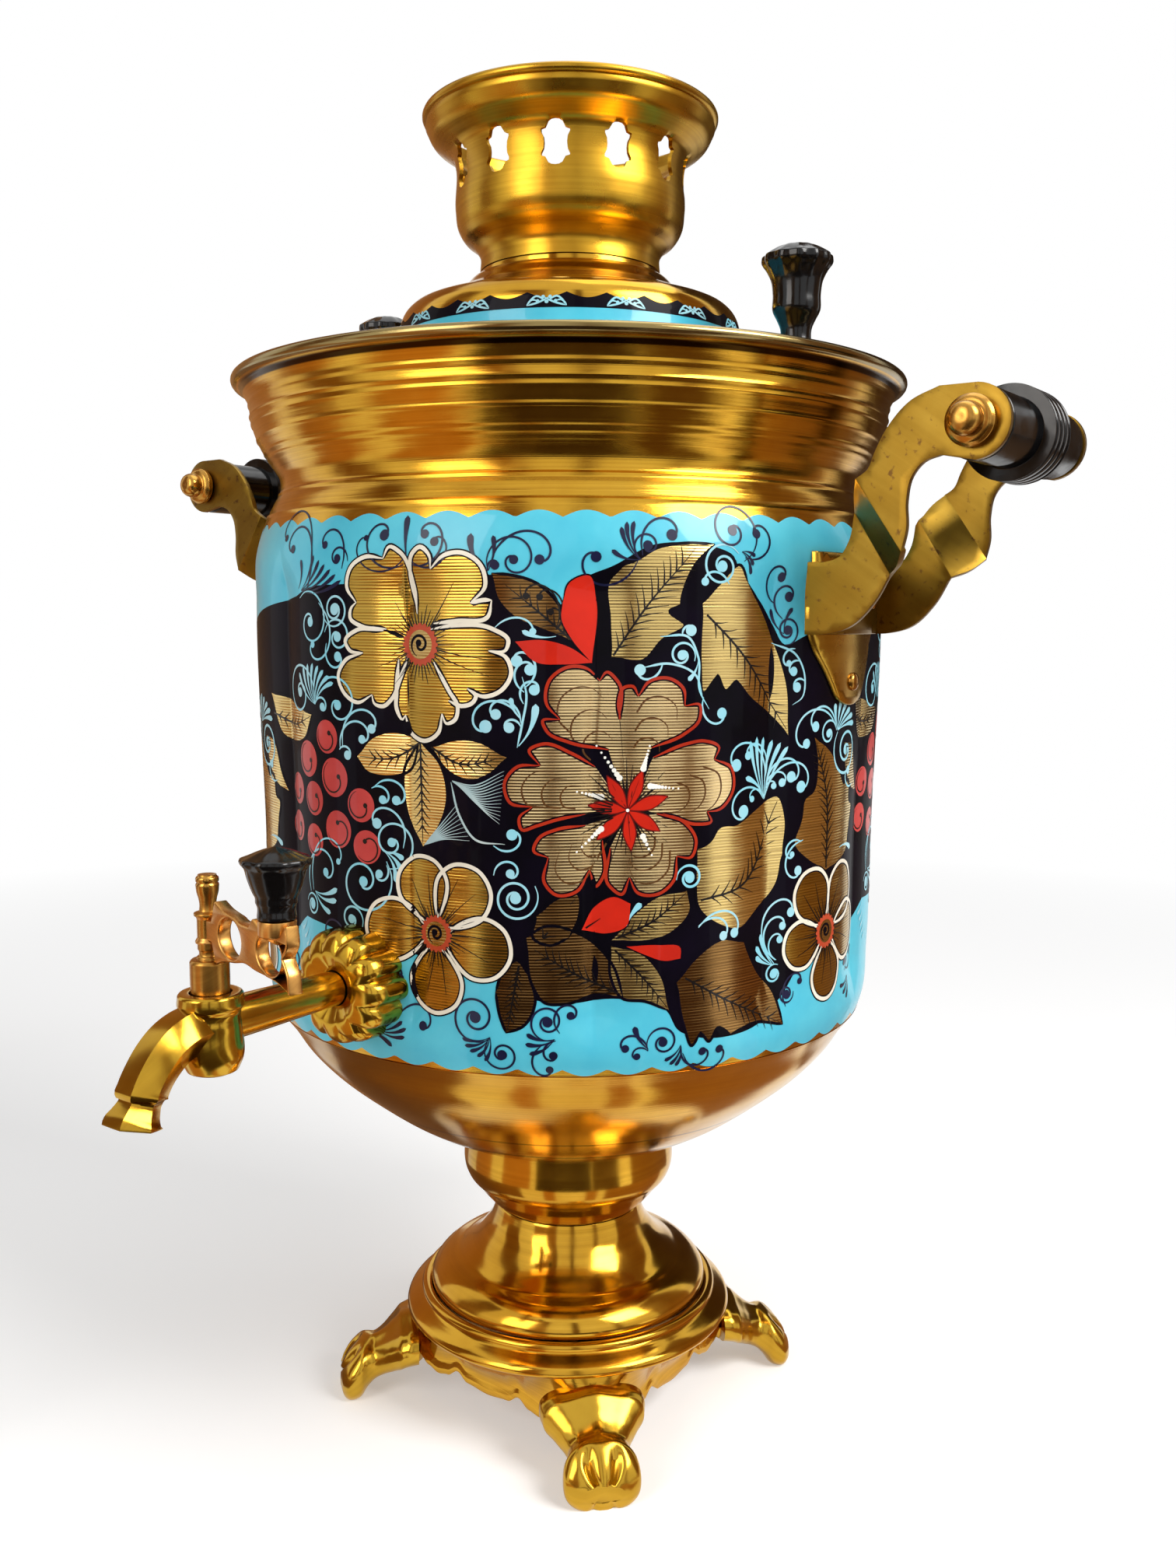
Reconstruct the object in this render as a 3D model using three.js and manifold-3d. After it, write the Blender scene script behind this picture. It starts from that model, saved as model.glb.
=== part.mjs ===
// A painted brass tea urn on four paw feet, with a plug tap in front, two side handles,
// a lift-off lid and a crown on top for the teapot.
// Millimetres, +Z up. The origin is on the urn's axis at the floor. The tap faces -Y.
import * as THREE from "three";
import { mergeVertices } from "three/addons/utils/BufferGeometryUtils.js";
import Module from "manifold-3d";

const wasm = await Module();
wasm.setup();

// Fits shared by all pieces
const CLEARANCE = 0.3; // gap between two pieces that touch
const OVERRUN = 3; // how far a cutting tool passes the piece it cuts
const SHEET = 1.2; // spun brass sheet
const THICK_SHEET = 1.8; // sheet of the pieces that carry the weight

// Heights, each measured up from the one before
const SKIRT_GAP = 11.5; // floor to the skirt's lowest lobes
const SKIRT_HEIGHT = 14.5;
const MOULDING_HEIGHT = 11.5; // round moulding on the square skirt
const PEDESTAL_HEIGHT = 26.5;
const CUP_HEIGHT = 26.5; // turned cup between pedestal and bowl
const BOWL_HEIGHT = 49;
const WALL_HEIGHT = 148.5; // lobed and painted wall
const THROAT_HEIGHT = 45.4; // waist and flare up to the rim bead
const LID_RISE = 36.9; // rim bead to the shoulder that the crown stands on
const CROWN_HEIGHT = 46.4; // shoulder to the crown's bead

// Body
const BODY_RADIUS = 100; // largest radius of the wall's lobes
const LOBE_DEPTH = 2.6;
const LOBE_COUNT = 12;
const LOBE_TURN = THREE.MathUtils.degToRad(-4);
const RIM_RADIUS = 106;
const RIM_BEAD = 1.5; // radius of the rolled wire edge

// Base
const SKIRT_HALF_SIDE = 43;
const SKIRT_CORNER = 9;
const SKIRT_WALL = 2.4;
const MOULDING_RADIUS = 55.6;
const PEDESTAL_RADIUS = 47;
const WAIST_RADIUS = 24.6; // narrowest place, between pedestal and cup
const CUP_RADIUS = 34.9;
const PAW_LENGTH = 22; // skirt's corner to the tip of a paw
const PAW_WIDTH = 23.6;
const FOOT_SCREW_RADIUS = 2;
const TIE_BOLT_RADIUS = 3;
const TIE_WASHER_RADIUS = 14;
const TIE_WASHER_THICKNESS = 2;
const TIE_NUT_THICKNESS = 5;
const TIE_SEAL_THICKNESS = 2;

// Lid and crown
const LID_SKIRT_DEPTH = 9;
const DOME_RADIUS = 51.6;
const lidKnobShare = 0.8; // place of a lid knob on the way from the axis to the lid's edge
const LID_KNOB_HEIGHT = 30.6;
const LID_KNOB_RADIUS = 10.2;
const LID_SCREW_RADIUS = 1.7;
const LID_SCREW_HEAD_HEIGHT = 1.6;
const lidScrewShare = 0.4; // how far the screw reaches into the knob
const NECK_RADIUS = 28.6; // lid neck and crown sleeve
const SPIGOT_HEIGHT = 9;
const CROWN_RADIUS = 46.4;
const CROWN_BEAD = 1.3;
const CROWN_CUP_RADIUS = 36.2;
const STAR_COUNT = 12;
const STAR_HEIGHT = 12;
const STAR_WIDTH = 8.6;
const STAR_DROP = 15.6; // crown bead down to the middle of the star holes

// Tap
const TAP_RISE = 21.5; // wall bottom up to the tap's axis
const TAP_REACH = 148.4; // axis to the plug's axis
const TUBE_RADIUS = 4.9; // at the rosette
const tubeRootShare = 1.12; // how much thicker the tube is at the barrel
const WATERWAY_RADIUS = 3;
const BARREL_RADIUS = 7.5;
const BARREL_FLANGE_RADIUS = 8.1;
const BARREL_ABOVE = 8.3; // tap axis to the barrel's top
const BARREL_BELOW = 12.6;
const PLUG_TOP_RADIUS = 5;
const PLUG_TAPER = 0.75; // how much the plug narrows towards its foot
const BONNET_HEIGHT = 8.4;
const FINIAL_HEIGHT = 21.3;
const ROSETTE_RADIUS = 16.4;
const ROSETTE_DEPTH = 10.5;
const ROSETTE_LOBES = 14;
const TAIL_RADIUS = 5.2; // threaded tail inside the wall
const TAIL_LENGTH = 17;
const TAIL_NUT_RADIUS = 10;
const TAIL_NUT_THICKNESS = 5;
const GASKET_THICKNESS = 2.4;
const SPOUT_DROP = 19.5; // tap axis to the spout's mouth
const SPOUT_OUT = 32; // plug's axis to the spout's tip
const SPOUT_RADIUS = 6;
const SPOUT_SIDES = 8;

// Tap lever
const LEVER_LENGTH = 44;
const LEVER_HEIGHT = 15.6;
const LEVER_THICKNESS = 3.6;
const LEVER_TURN = THREE.MathUtils.degToRad(-13); // from +X
const LEVER_HOLE_WIDTH = 12;
const LEVER_HOLE_HEIGHT = 10;
const STEM_RADIUS = 3.1;
const TAP_KNOB_PLACE = 35.7; // plug's axis to the knob's axis
const TAP_KNOB_HEIGHT = 16.6;
const TAP_KNOB_RADIUS = 8.3;
const STUD_RADIUS = 2.2;

// Handles
const STRAP_SHEET = 1.8;
const STRAP_HALF_WIDTH = 21.5; // axis plane to the outside of a strap's flange
const STRAP_LOW = 30.2; // strap's lower edge below the wall's top
const STRAP_HEIGHT = 19.7;
const PLATE_HALF_WIDTH = 20;
const PLATE_SHEET = 1.5;
const PLATE_DROP = 50; // plate's tip below the wall's top
const PLATE_HEIGHT = 42.5;
const GRIP_PLACE = 146; // axis to the grip's axis
const GRIP_RISE = 22; // wall's top to the grip's axis
const GRIP_HALF_SPAN = 30.5; // axis plane to the outside of an arm at the grip
const GRIP_RADIUS = 9.2;
const GRIP_RING_RADIUS = 12.4;
const GRIP_RING_WIDTH = 12;
const GROOVE_WIDTH = 1.4;
const GROOVE_DEPTH = 0.8;
const ROD_RADIUS = 2.5;
const ARM_END_RADIUS = 9.3;
const ACORN_COLLAR_RADIUS = 6.4;
const ACORN_RADIUS = 4.1;
const ACORN_LENGTH = 8.6;
const RIVET_RADIUS = 1.6;
const RIVET_HEAD_RADIUS = 2.6;
const RIVET_HEAD_HEIGHT = 1.4;
const rivetDomeShare = 0.5;
const rivetTopShare = 0.75;

// Heating element and inlet
const ELEMENT_RING_RADIUS = 42;
const ELEMENT_RADIUS = 3.6;
const ELEMENT_DROP = 18; // ring below the wall's bottom
const TERMINAL_SPACING = 19;
const INLET_RISE = 21.5; // wall bottom up to the inlet's axis
const SHROUD_RADIUS = 21;
const SHROUD_WALL = 1.6;
const SHROUD_LENGTH = 30;
const INSULATOR_THICKNESS = 5;
const PIN_RADIUS = 3;
const PIN_LENGTH = 19;
const TERMINAL_NUT_RADIUS = 6.2;
const TERMINAL_NUT_THICKNESS = 3.4;
const SEAL_RADIUS = 7;
const SEAL_THICKNESS = 1.8;

// Heights above the floor, worked out from the stack
const skirtTop = SKIRT_GAP + SKIRT_HEIGHT;
const mouldingTop = skirtTop + MOULDING_HEIGHT;
const pedestalTop = mouldingTop + PEDESTAL_HEIGHT;
const cupTop = pedestalTop + CUP_HEIGHT;
const wallBottom = cupTop + BOWL_HEIGHT;
const wallTop = wallBottom + WALL_HEIGHT;
const rimHeight = wallTop + THROAT_HEIGHT;
const shoulderHeight = rimHeight + LID_RISE;
const crownTop = shoulderHeight + CROWN_HEIGHT;
const tapHeight = wallBottom + TAP_RISE;
const inletHeight = wallBottom + INLET_RISE;
const gripHeight = wallTop + GRIP_RISE;

// Facets of turned pieces by size
const FINE = 4 * LOBE_COUNT;
const ROUND = 32;
const MEDIUM = 24;
const SMALL = 12;
const TINY = 8;

const samovar = new THREE.Group();

// Materials
const finish = (color, metalness, roughness) =>
  new THREE.MeshStandardMaterial({ color, metalness, roughness });
const brass = finish(0xc9962f, 1, 0.22);
const darkBrass = finish(0xa9772a, 1, 0.35);
const paintedBrass = finish(0x4fb9cf, 0.2, 0.3);
const bakelite = finish(0x111113, 0, 0.25);
const steel = finish(0x9a9a98, 1, 0.4);
const rubber = finish(0x2a2a2a, 0, 0.85);
const ceramic = finish(0xe6e0d2, 0, 0.5);

// Keeps positions only, welds them, drops flat triangles and turns the faces outwards.
function weld(geometry) {
  const bare = new THREE.BufferGeometry();
  bare.setAttribute("position", geometry.getAttribute("position").clone());
  if (geometry.index) bare.setIndex(geometry.index.clone());
  const merged = mergeVertices(bare, 1e-4);
  const place = merged.getAttribute("position");
  const corners = merged.index.array;
  const kept = [];
  const [a, b, c] = [new THREE.Vector3(), new THREE.Vector3(), new THREE.Vector3()];
  let volume = 0;
  for (let i = 0; i < corners.length; i += 3) {
    const [p, q, r] = [corners[i], corners[i + 1], corners[i + 2]];
    if (p === q || q === r || r === p) continue;
    kept.push(p, q, r);
    a.fromBufferAttribute(place, p);
    b.fromBufferAttribute(place, q);
    c.fromBufferAttribute(place, r);
    volume += a.dot(b.cross(c));
  }
  if (volume < 0) kept.reverse();
  merged.setIndex(kept);
  return merged;
}

function solid(geometry) {
  const welded = weld(geometry);
  return new wasm.Manifold(
    new wasm.Mesh({
      numProp: 3,
      vertProperties: new Float32Array(welded.getAttribute("position").array),
      triVerts: new Uint32Array(welded.index.array),
    }),
  );
}

function geometryOf(manifold) {
  const mesh = manifold.getMesh();
  const geometry = new THREE.BufferGeometry();
  geometry.setAttribute("position", new THREE.BufferAttribute(mesh.vertProperties, 3));
  geometry.setIndex(new THREE.BufferAttribute(mesh.triVerts, 1));
  return geometry;
}

const cut = (base, ...tools) =>
  geometryOf(tools.reduce((rest, tool) => rest.subtract(solid(tool)), solid(base)));
const join = (base, ...others) =>
  geometryOf(others.reduce((sum, other) => sum.add(solid(other)), solid(base)));
const common = (base, other) => geometryOf(solid(base).intersect(solid(other)));

// Turns an outline of [radius, height] points about Z. Angle 0 is -Y and 90 degrees is +X.
function turned(outline, facets = MEDIUM, closed = false) {
  const points = outline.map(([radius, height]) => new THREE.Vector2(radius, height));
  if (closed) points.push(points[0].clone());
  return new THREE.LatheGeometry(points, facets).rotateX(Math.PI / 2);
}

// A rod or disc about Z, from one height to another.
function rod(radius, low, high, facets = SMALL) {
  return turned([[0, low], [radius, low], [radius, high], [0, high]], facets);
}

// A cutter for a round hole whose flats stay outside the radius.
function bore(radius, low, high, facets = TINY) {
  return rod(radius / Math.cos(Math.PI / facets), low, high, facets);
}

function ring(inner, outer, low, high, facets = SMALL) {
  return turned([[inner, low], [outer, low], [outer, high], [inner, high]], facets, true);
}

// A hexagonal nut about Z with a round hole.
function hexNut(acrossCorners, hole, low, high) {
  return cut(rod(acrossCorners, low, high, 6), bore(hole, low - OVERRUN, high + OVERRUN));
}

// Turns a piece made about Z so that its +Z points along +Y, -Y, +X or -X.
const facingBack = (geometry) => geometry.rotateX(-Math.PI / 2);
const facingFront = (geometry) => geometry.rotateX(Math.PI / 2);
const facingRight = (geometry) => geometry.rotateY(Math.PI / 2);

// Points of an outline given as shares of a radius and of a stretch of height.
const scaled = (shares, radius, low, high) =>
  shares.map(([across, up]) => [across * radius, low + up * (high - low)]);

// Moves an open outline sideways by a distance, towards its left as it is walked.
function offset(outline, distance) {
  return outline.map((point, i) => {
    const before = outline[Math.max(i - 1, 0)];
    const after = outline[Math.min(i + 1, outline.length - 1)];
    const along = new THREE.Vector2(after[0] - before[0], after[1] - before[1]).normalize();
    return [point[0] - along.y * distance, point[1] + along.x * distance];
  });
}

// Radius at a height of an outline that is walked upwards, between its points.
function radiusAt(outline, height) {
  if (height <= outline[0][1]) return outline[0][0];
  for (let i = 1; i < outline.length; i += 1) {
    const [[r0, h0], [r1, h1]] = [outline[i - 1], outline[i]];
    if (height <= h1 && h0 !== h1) return r0 + ((height - h0) / (h1 - h0)) * (r1 - r0);
  }
  return outline.at(-1)[0];
}

// The inside of a sheet between two heights, walked down. The outline is the sheet's outside.
function insideOf(outline, sheet, low, high) {
  const inner = offset(outline, sheet);
  const between = inner.filter(([, height]) => height > low && height < high).toReversed();
  return [[radiusAt(inner, high), high], ...between, [radiusAt(inner, low), low]];
}

// Points of an arc in an outline, from one angle to another, in degrees.
function arc(centreRadius, centreHeight, size, from, to, steps) {
  return Array.from({ length: steps + 1 }, (_, i) => {
    const angle = THREE.MathUtils.degToRad(from + ((to - from) * i) / steps);
    return [centreRadius + size * Math.cos(angle), centreHeight + size * Math.sin(angle)];
  });
}

// A closed skin over rings of points that all have the same count.
function loft(rings) {
  const count = rings[0].length;
  const positions = rings.flat(2);
  const index = [];
  for (let i = 0; i + 1 < rings.length; i += 1) {
    for (let j = 0; j < count; j += 1) {
      const next = (j + 1) % count;
      const [a, b, c, d] = [i * count + j, i * count + next, (i + 1) * count + next, (i + 1) * count + j];
      index.push(a, b, c, a, c, d);
    }
  }
  for (const [start, flip] of [[0, true], [(rings.length - 1) * count, false]]) {
    for (let j = 1; j + 1 < count; j += 1) {
      index.push(start, ...(flip ? [start + j + 1, start + j] : [start + j, start + j + 1]));
    }
  }
  const geometry = new THREE.BufferGeometry();
  geometry.setAttribute("position", new THREE.Float32BufferAttribute(positions, 3));
  geometry.setIndex(index);
  return geometry;
}

function polygon(points) {
  return new THREE.Shape(points.map(([x, y]) => new THREE.Vector2(x, y)));
}

function slab(shape, thickness, curveSegments = 10) {
  return new THREE.ExtrudeGeometry(shape, { depth: thickness, bevelEnabled: false, curveSegments });
}

function add(name, geometry, material) {
  const mesh = new THREE.Mesh(weld(geometry), material);
  mesh.name = name;
  samovar.add(mesh);
  return mesh;
}

// Body: the lobed wall, its waist, flare and rolled rim
const wallShares = [
  [0.962, 0], [0.974, 0.026], [0.984, 0.13], [0.988, 0.4], [1, 0.86], [0.996, 0.95], [0.976, 1],
];
const throatShares = [
  [0.939, 0.19], [0.919, 0.27], [0.92, 0.36], [0.946, 0.458], [0.978, 0.58],
  [1.001, 0.72], [1.012, 0.87], [1.032, 0.95],
];
const wallOutline = scaled(wallShares, BODY_RADIUS, wallBottom, wallTop);
const throatOutline = scaled(throatShares, BODY_RADIUS, wallTop, rimHeight);
const shellOutline = [...wallOutline, ...throatOutline];
const innerShell = insideOf(shellOutline, SHEET, wallBottom, rimHeight - RIM_BEAD);
const beadCentre = RIM_RADIUS - RIM_BEAD;

// Stretches of the wall where the lobes grow at the foot and fade at the head.
const lobeFootShares = [0.03, 0.13];
const lobeHeadShares = [0.86, 0.97];

// How far the wall is drawn in at a height and an angle from the front.
function lobeInset(height, angle) {
  const up = (height - wallBottom) / WALL_HEIGHT;
  const rise = THREE.MathUtils.smoothstep(up, ...lobeFootShares);
  const fade = rise * (1 - THREE.MathUtils.smoothstep(up, ...lobeHeadShares));
  const turn = ((angle - LOBE_TURN) * LOBE_COUNT) / (2 * Math.PI);
  const fromCrest = 2 * Math.abs(turn - Math.round(turn));
  return LOBE_DEPTH * fade * fromCrest ** 2;
}

function lobed(geometry) {
  geometry.rotateZ(LOBE_TURN + Math.PI / LOBE_COUNT);
  const place = geometry.getAttribute("position");
  for (let i = 0; i < place.count; i += 1) {
    const [x, y, z] = [place.getX(i), place.getY(i), place.getZ(i)];
    const radius = Math.hypot(x, y);
    if (radius === 0) continue;
    const share = 1 - lobeInset(z, Math.atan2(x, -y)) / radius;
    place.setXYZ(i, x * share, y * share, z);
  }
  return geometry;
}

// The outside of the body as a plain solid, grown by a distance, for cutting what rests on it.
function bodyEnvelope(growth) {
  const outline = offset(shellOutline, -growth);
  const low = outline[0];
  const high = outline[outline.length - 1];
  return lobed(turned([[0, low[1]], ...outline, [0, high[1]]], FINE));
}

const bodyEnvelopeAtRest = bodyEnvelope(CLEARANCE);

// The space inside the wall, less the clearance. It is walked down, as the shell's inside is.
function spaceInside() {
  const outline = offset(innerShell, -CLEARANCE);
  return lobed(turned([[0, outline[0][1]], ...outline, [0, outline.at(-1)[1]]], FINE));
}

const bodySpace = spaceInside();

function bodyShell() {
  const bead = arc(beadCentre, rimHeight, RIM_BEAD, -90, 150, 4);
  const outline = [...shellOutline, ...bead, ...innerShell];
  const shell = lobed(turned(outline, FINE, true));
  const tapHole = facingFront(bore(TAIL_RADIUS + CLEARANCE, 0, BODY_RADIUS + OVERRUN, SMALL));
  tapHole.translate(0, 0, tapHeight);
  const terminalHoles = [-1, 1].map((side) =>
    facingBack(bore(ELEMENT_RADIUS + CLEARANCE, 0, BODY_RADIUS + OVERRUN)).translate(
      (side * TERMINAL_SPACING) / 2, 0, inletHeight,
    ),
  );
  return cut(shell, tapHole, ...terminalHoles, ...handleRivetHoles());
}

// Bowl: closes the body from below, with a lip that stands up inside the wall
const bowlShares = [
  [0.346, 0], [0.45, 0.075], [0.565, 0.2], [0.7, 0.4], [0.83, 0.635], [0.88, 0.755], [0.925, 0.9],
  [0.962, 1],
];
const bowlOutline = scaled(bowlShares, BODY_RADIUS, cupTop, wallBottom);

function bowl() {
  const seat = wallBottom - CLEARANCE;
  const skin = [...bowlOutline.slice(0, -1), [radiusAt(bowlOutline, seat), seat]];
  const lipOuter = wallOutline[0][0] - 2 * SHEET;
  const lipInner = lipOuter - SHEET;
  const lipTop = wallBottom + 3 * SHEET;
  const floor = cupTop + SHEET;
  const profile = [
    [0, cupTop], ...skin, [lipOuter, seat], [lipOuter, lipTop], [lipInner, lipTop],
    [lipInner, seat - SHEET], ...insideOf(skin, SHEET, floor, seat - 3 * SHEET), [0, floor],
  ];
  return cut(turned(profile, ROUND), bore(TIE_BOLT_RADIUS + CLEARANCE, cupTop - OVERRUN, floor + OVERRUN));
}

// Base: four paws under a square skirt, a round moulding, the pedestal and the cup
function roundedSquare(halfSide, radius) {
  const inner = halfSide - radius;
  const corners = [[inner, inner], [-inner, inner], [-inner, -inner], [inner, -inner]];
  return corners.flatMap(([x, y], i) => arc(x, y, radius, 90 * i, 90 * (i + 1), 4));
}

// The wavy lower edge of one side of the skirt, as a flat cutter that passes through both walls.
const skirtWaveShares = [
  [-0.72, 0], [-0.7, 0.3], [-0.6, 0.1], [-0.5, 0], [-0.4, 0.06], [-0.3, 0.24], [-0.2, 0.06],
  [0, 0], [0.2, 0.06], [0.3, 0.24], [0.4, 0.06], [0.5, 0], [0.6, 0.1], [0.7, 0.3], [0.72, 0],
];

function skirtCutter() {
  const low = SKIRT_GAP - OVERRUN;
  const wave = skirtWaveShares.slice(1, -1).map(([across, up]) => [
    across * SKIRT_HALF_SIDE, SKIRT_GAP + up * SKIRT_HEIGHT,
  ]);
  const reach = wave[wave.length - 1][0];
  const shape = polygon([[-reach, low], ...wave, [reach, low]]);
  const length = 2 * (SKIRT_HALF_SIDE + OVERRUN);
  return slab(shape, length).translate(0, 0, -length / 2).rotateX(Math.PI / 2);
}

const mouldingShares = [
  [1, 0], [1, 0.12], [0.985, 0.32], [0.95, 0.56], [0.905, 0.82], [0.885, 0.9], [0.85, 0.92],
];
const plinthPlateTop = skirtTop + mouldingShares.at(-1)[1] * MOULDING_HEIGHT;

function plinth() {
  const outer = scaled(mouldingShares, MOULDING_RADIUS, skirtTop, mouldingTop);
  const moulding = turned([[0, skirtTop], ...outer, [0, outer[outer.length - 1][1]]]);
  const block = slab(polygon(roundedSquare(SKIRT_HALF_SIDE, SKIRT_CORNER)), SKIRT_HEIGHT + SKIRT_WALL);
  block.translate(0, 0, SKIRT_GAP);
  const innerSide = SKIRT_HALF_SIDE - SKIRT_WALL;
  const hollow = slab(polygon(roundedSquare(innerSide, SKIRT_CORNER - SKIRT_WALL)), SKIRT_HEIGHT + OVERRUN);
  hollow.translate(0, 0, SKIRT_GAP - OVERRUN);
  const under = rod(innerSide, skirtTop - OVERRUN, plinthUnderside, MEDIUM);
  const bolt = bore(TIE_BOLT_RADIUS + CLEARANCE, skirtTop, mouldingTop + OVERRUN);
  const pieces = [hollow, under, bolt, skirtCutter(), skirtCutter().rotateZ(Math.PI / 2)];
  const screws = footAngles.map((angle) => footScrewHole().rotateZ(angle));
  return cut(join(moulding, block), ...pieces, ...screws);
}

// Paw feet, made along +X and turned to the four corners
const footAngles = [-45, 45, 135, -135].map((degrees) => THREE.MathUtils.degToRad(degrees));
const footScrewHeight = SKIRT_GAP + 0.55 * SKIRT_HEIGHT;
const cornerReach = Math.SQRT2 * (SKIRT_HALF_SIDE - SKIRT_CORNER) + SKIRT_CORNER;
const plinthUnderside = mouldingTop - 4 * SHEET;

// Each section of a paw: way out from the skirt's corner, underside, top, and half width, as
// shares of the paw's length, of the skirt's top height (twice) and of the paw's width.
const pawShares = [
  [-0.23, 0.44, 0.99, 0.7], [-0.08, 0.42, 0.98, 0.7], [0.06, 0.37, 0.93, 0.64],
  [0.2, 0.31, 0.84, 0.54], [0.34, 0.25, 0.745, 0.44], [0.47, 0.18, 0.69, 0.39],
  [0.58, 0.09, 0.69, 0.42], [0.69, -0.03, 0.66, 0.49], [0.82, -0.06, 0.53, 0.49],
  [0.92, -0.03, 0.41, 0.39], [0.975, 0.1, 0.31, 0.24],
];
const PAW_POINTS = 12;
const PAW_ROUNDNESS = 0.8; // 1 is an ellipse, less is squarer

function paw() {
  const rings = pawShares.map(([way, low, high, half]) => {
    const reach = cornerReach + way * PAW_LENGTH;
    const middle = ((low + high) / 2) * skirtTop;
    const tall = ((high - low) / 2) * skirtTop;
    return Array.from({ length: PAW_POINTS }, (_, i) => {
      const angle = (2 * Math.PI * i) / PAW_POINTS;
      const [c, s] = [Math.cos(angle), Math.sin(angle)];
      const across = Math.sign(c) * Math.abs(c) ** PAW_ROUNDNESS * half * PAW_WIDTH;
      const height = middle + Math.sign(s) * Math.abs(s) ** PAW_ROUNDNESS * tall;
      return [reach, across, Math.max(height, 0)];
    });
  });
  const grown = roundedSquare(SKIRT_HALF_SIDE + CLEARANCE, SKIRT_CORNER + CLEARANCE);
  const plinthSpace = slab(polygon(grown), skirtTop + 2 * OVERRUN);
  plinthSpace.rotateZ(Math.PI / 4).translate(0, 0, -OVERRUN);
  const above = rod(cornerReach + PAW_LENGTH, skirtTop - CLEARANCE, skirtTop + SKIRT_HEIGHT, MEDIUM);
  const thread = facingRight(bore(FOOT_SCREW_RADIUS, 0, footScrewTip + CLEARANCE));
  thread.translate(0, 0, footScrewHeight);
  return cut(loft(rings), plinthSpace, above, thread);
}

const footScrewTip = cornerReach + 2 * FOOT_SCREW_RADIUS;
const footScrewHeadRadius = 1.6 * FOOT_SCREW_RADIUS;
const cornerHollow = SKIRT_CORNER - SKIRT_WALL;
const headSink = cornerHollow - Math.sqrt(cornerHollow ** 2 - footScrewHeadRadius ** 2);
const footScrewHead = cornerReach - SKIRT_WALL - headSink - CLEARANCE;

function footScrewHole() {
  const hole = facingRight(bore(FOOT_SCREW_RADIUS + CLEARANCE, 0, cornerReach + OVERRUN));
  return hole.translate(0, 0, footScrewHeight);
}

function footScrew() {
  const shank = FOOT_SCREW_RADIUS - CLEARANCE;
  const outline = [
    [0, footScrewHead - FOOT_SCREW_RADIUS], [footScrewHeadRadius, footScrewHead - FOOT_SCREW_RADIUS],
    [footScrewHeadRadius, footScrewHead], [shank, footScrewHead], [shank, footScrewTip], [0, footScrewTip],
  ];
  return facingRight(turned(outline, TINY)).translate(0, 0, footScrewHeight);
}

// Pedestal: a turned shell from the moulding up to the waist
const pedestalShares = [
  [1, 0], [1, 0.06], [0.968, 0.12], [0.93, 0.21], [0.85, 0.34], [0.72, 0.51], [0.62, 0.67],
  [0.545, 0.85],
];

function pedestal() {
  const low = plinthPlateTop + CLEARANCE;
  const outer = [...scaled(pedestalShares, PEDESTAL_RADIUS, low, pedestalTop), [WAIST_RADIUS, pedestalTop]];
  const roof = pedestalTop - THICK_SHEET;
  const outline = [...outer, [0, pedestalTop], [0, roof], ...insideOf(outer, THICK_SHEET, low, roof)];
  const bolt = bore(TIE_BOLT_RADIUS + CLEARANCE, roof - OVERRUN, pedestalTop + OVERRUN);
  return cut(turned(outline, MEDIUM, true), bolt);
}

// Cup: carries the bowl on its rim
const cupShares = [[0.71, 0], [0.76, 0.06], [0.84, 0.18], [0.91, 0.3], [0.975, 0.4], [1, 0.47], [1, 1]];

function cup() {
  const low = pedestalTop + CLEARANCE;
  const high = cupTop - CLEARANCE;
  const outer = scaled(cupShares, CUP_RADIUS, low, high);
  const floor = low + THICK_SHEET;
  const outline = [[0, low], ...outer, ...insideOf(outer, THICK_SHEET, floor, high), [0, floor]];
  return cut(turned(outline), bore(TIE_BOLT_RADIUS + CLEARANCE, low - OVERRUN, floor + OVERRUN));
}

// Tie bolt from the bowl down through cup, pedestal and plinth, with seal, washer and nut
const tieSealLow = cupTop + SHEET + CLEARANCE;
const tieHeadLow = tieSealLow + TIE_SEAL_THICKNESS + CLEARANCE;
const tieWasherTop = plinthUnderside - CLEARANCE;
const tieNutTop = tieWasherTop - TIE_WASHER_THICKNESS - CLEARANCE;
const tieNutLow = tieNutTop - TIE_NUT_THICKNESS;
const tieHole = TIE_BOLT_RADIUS + CLEARANCE;

function tieBolt() {
  const head = 2 * TIE_BOLT_RADIUS;
  const outline = [
    [0, tieNutLow - TIE_BOLT_RADIUS], [TIE_BOLT_RADIUS, tieNutLow - TIE_BOLT_RADIUS],
    [TIE_BOLT_RADIUS, tieHeadLow], [head, tieHeadLow], [head, tieHeadLow + TIE_BOLT_RADIUS],
    [0, tieHeadLow + TIE_BOLT_RADIUS],
  ];
  return turned(outline, SMALL);
}

// Lid: one spun shell with a skirt inside the flare, a dome and a spigot for the crown
const lidEdgeHeight = rimHeight - RIM_BEAD;
const lidEdgeRadius = radiusAt(innerShell.toReversed(), lidEdgeHeight - SHEET) - 2 * CLEARANCE;
const lidKnobPlace = lidKnobShare * lidEdgeRadius;
const lidSlopeShares = [[0.92, 0.04], [0.73, 0.28], [0.55, 0.58]];
const domeShares = [[1, 0], [0.97, 0.1], [0.93, 0.155], [0.83, 0.28], [0.68, 0.52], [0.57, 0.88]];
const slopeHeightShare = 0.5;
const domeStartShare = 0.65;
const lidNeckShare = 0.04;
const slopeTop = rimHeight + slopeHeightShare * LID_RISE;
const spigotRadius = NECK_RADIUS - SHEET - 2 * CLEARANCE;

function lidSlope() {
  const low = lidEdgeHeight;
  const high = slopeTop;
  return [
    [lidEdgeRadius, low],
    ...lidSlopeShares.map(([across, up]) => [across * lidEdgeRadius, low + up * (high - low)]),
  ];
}

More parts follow.
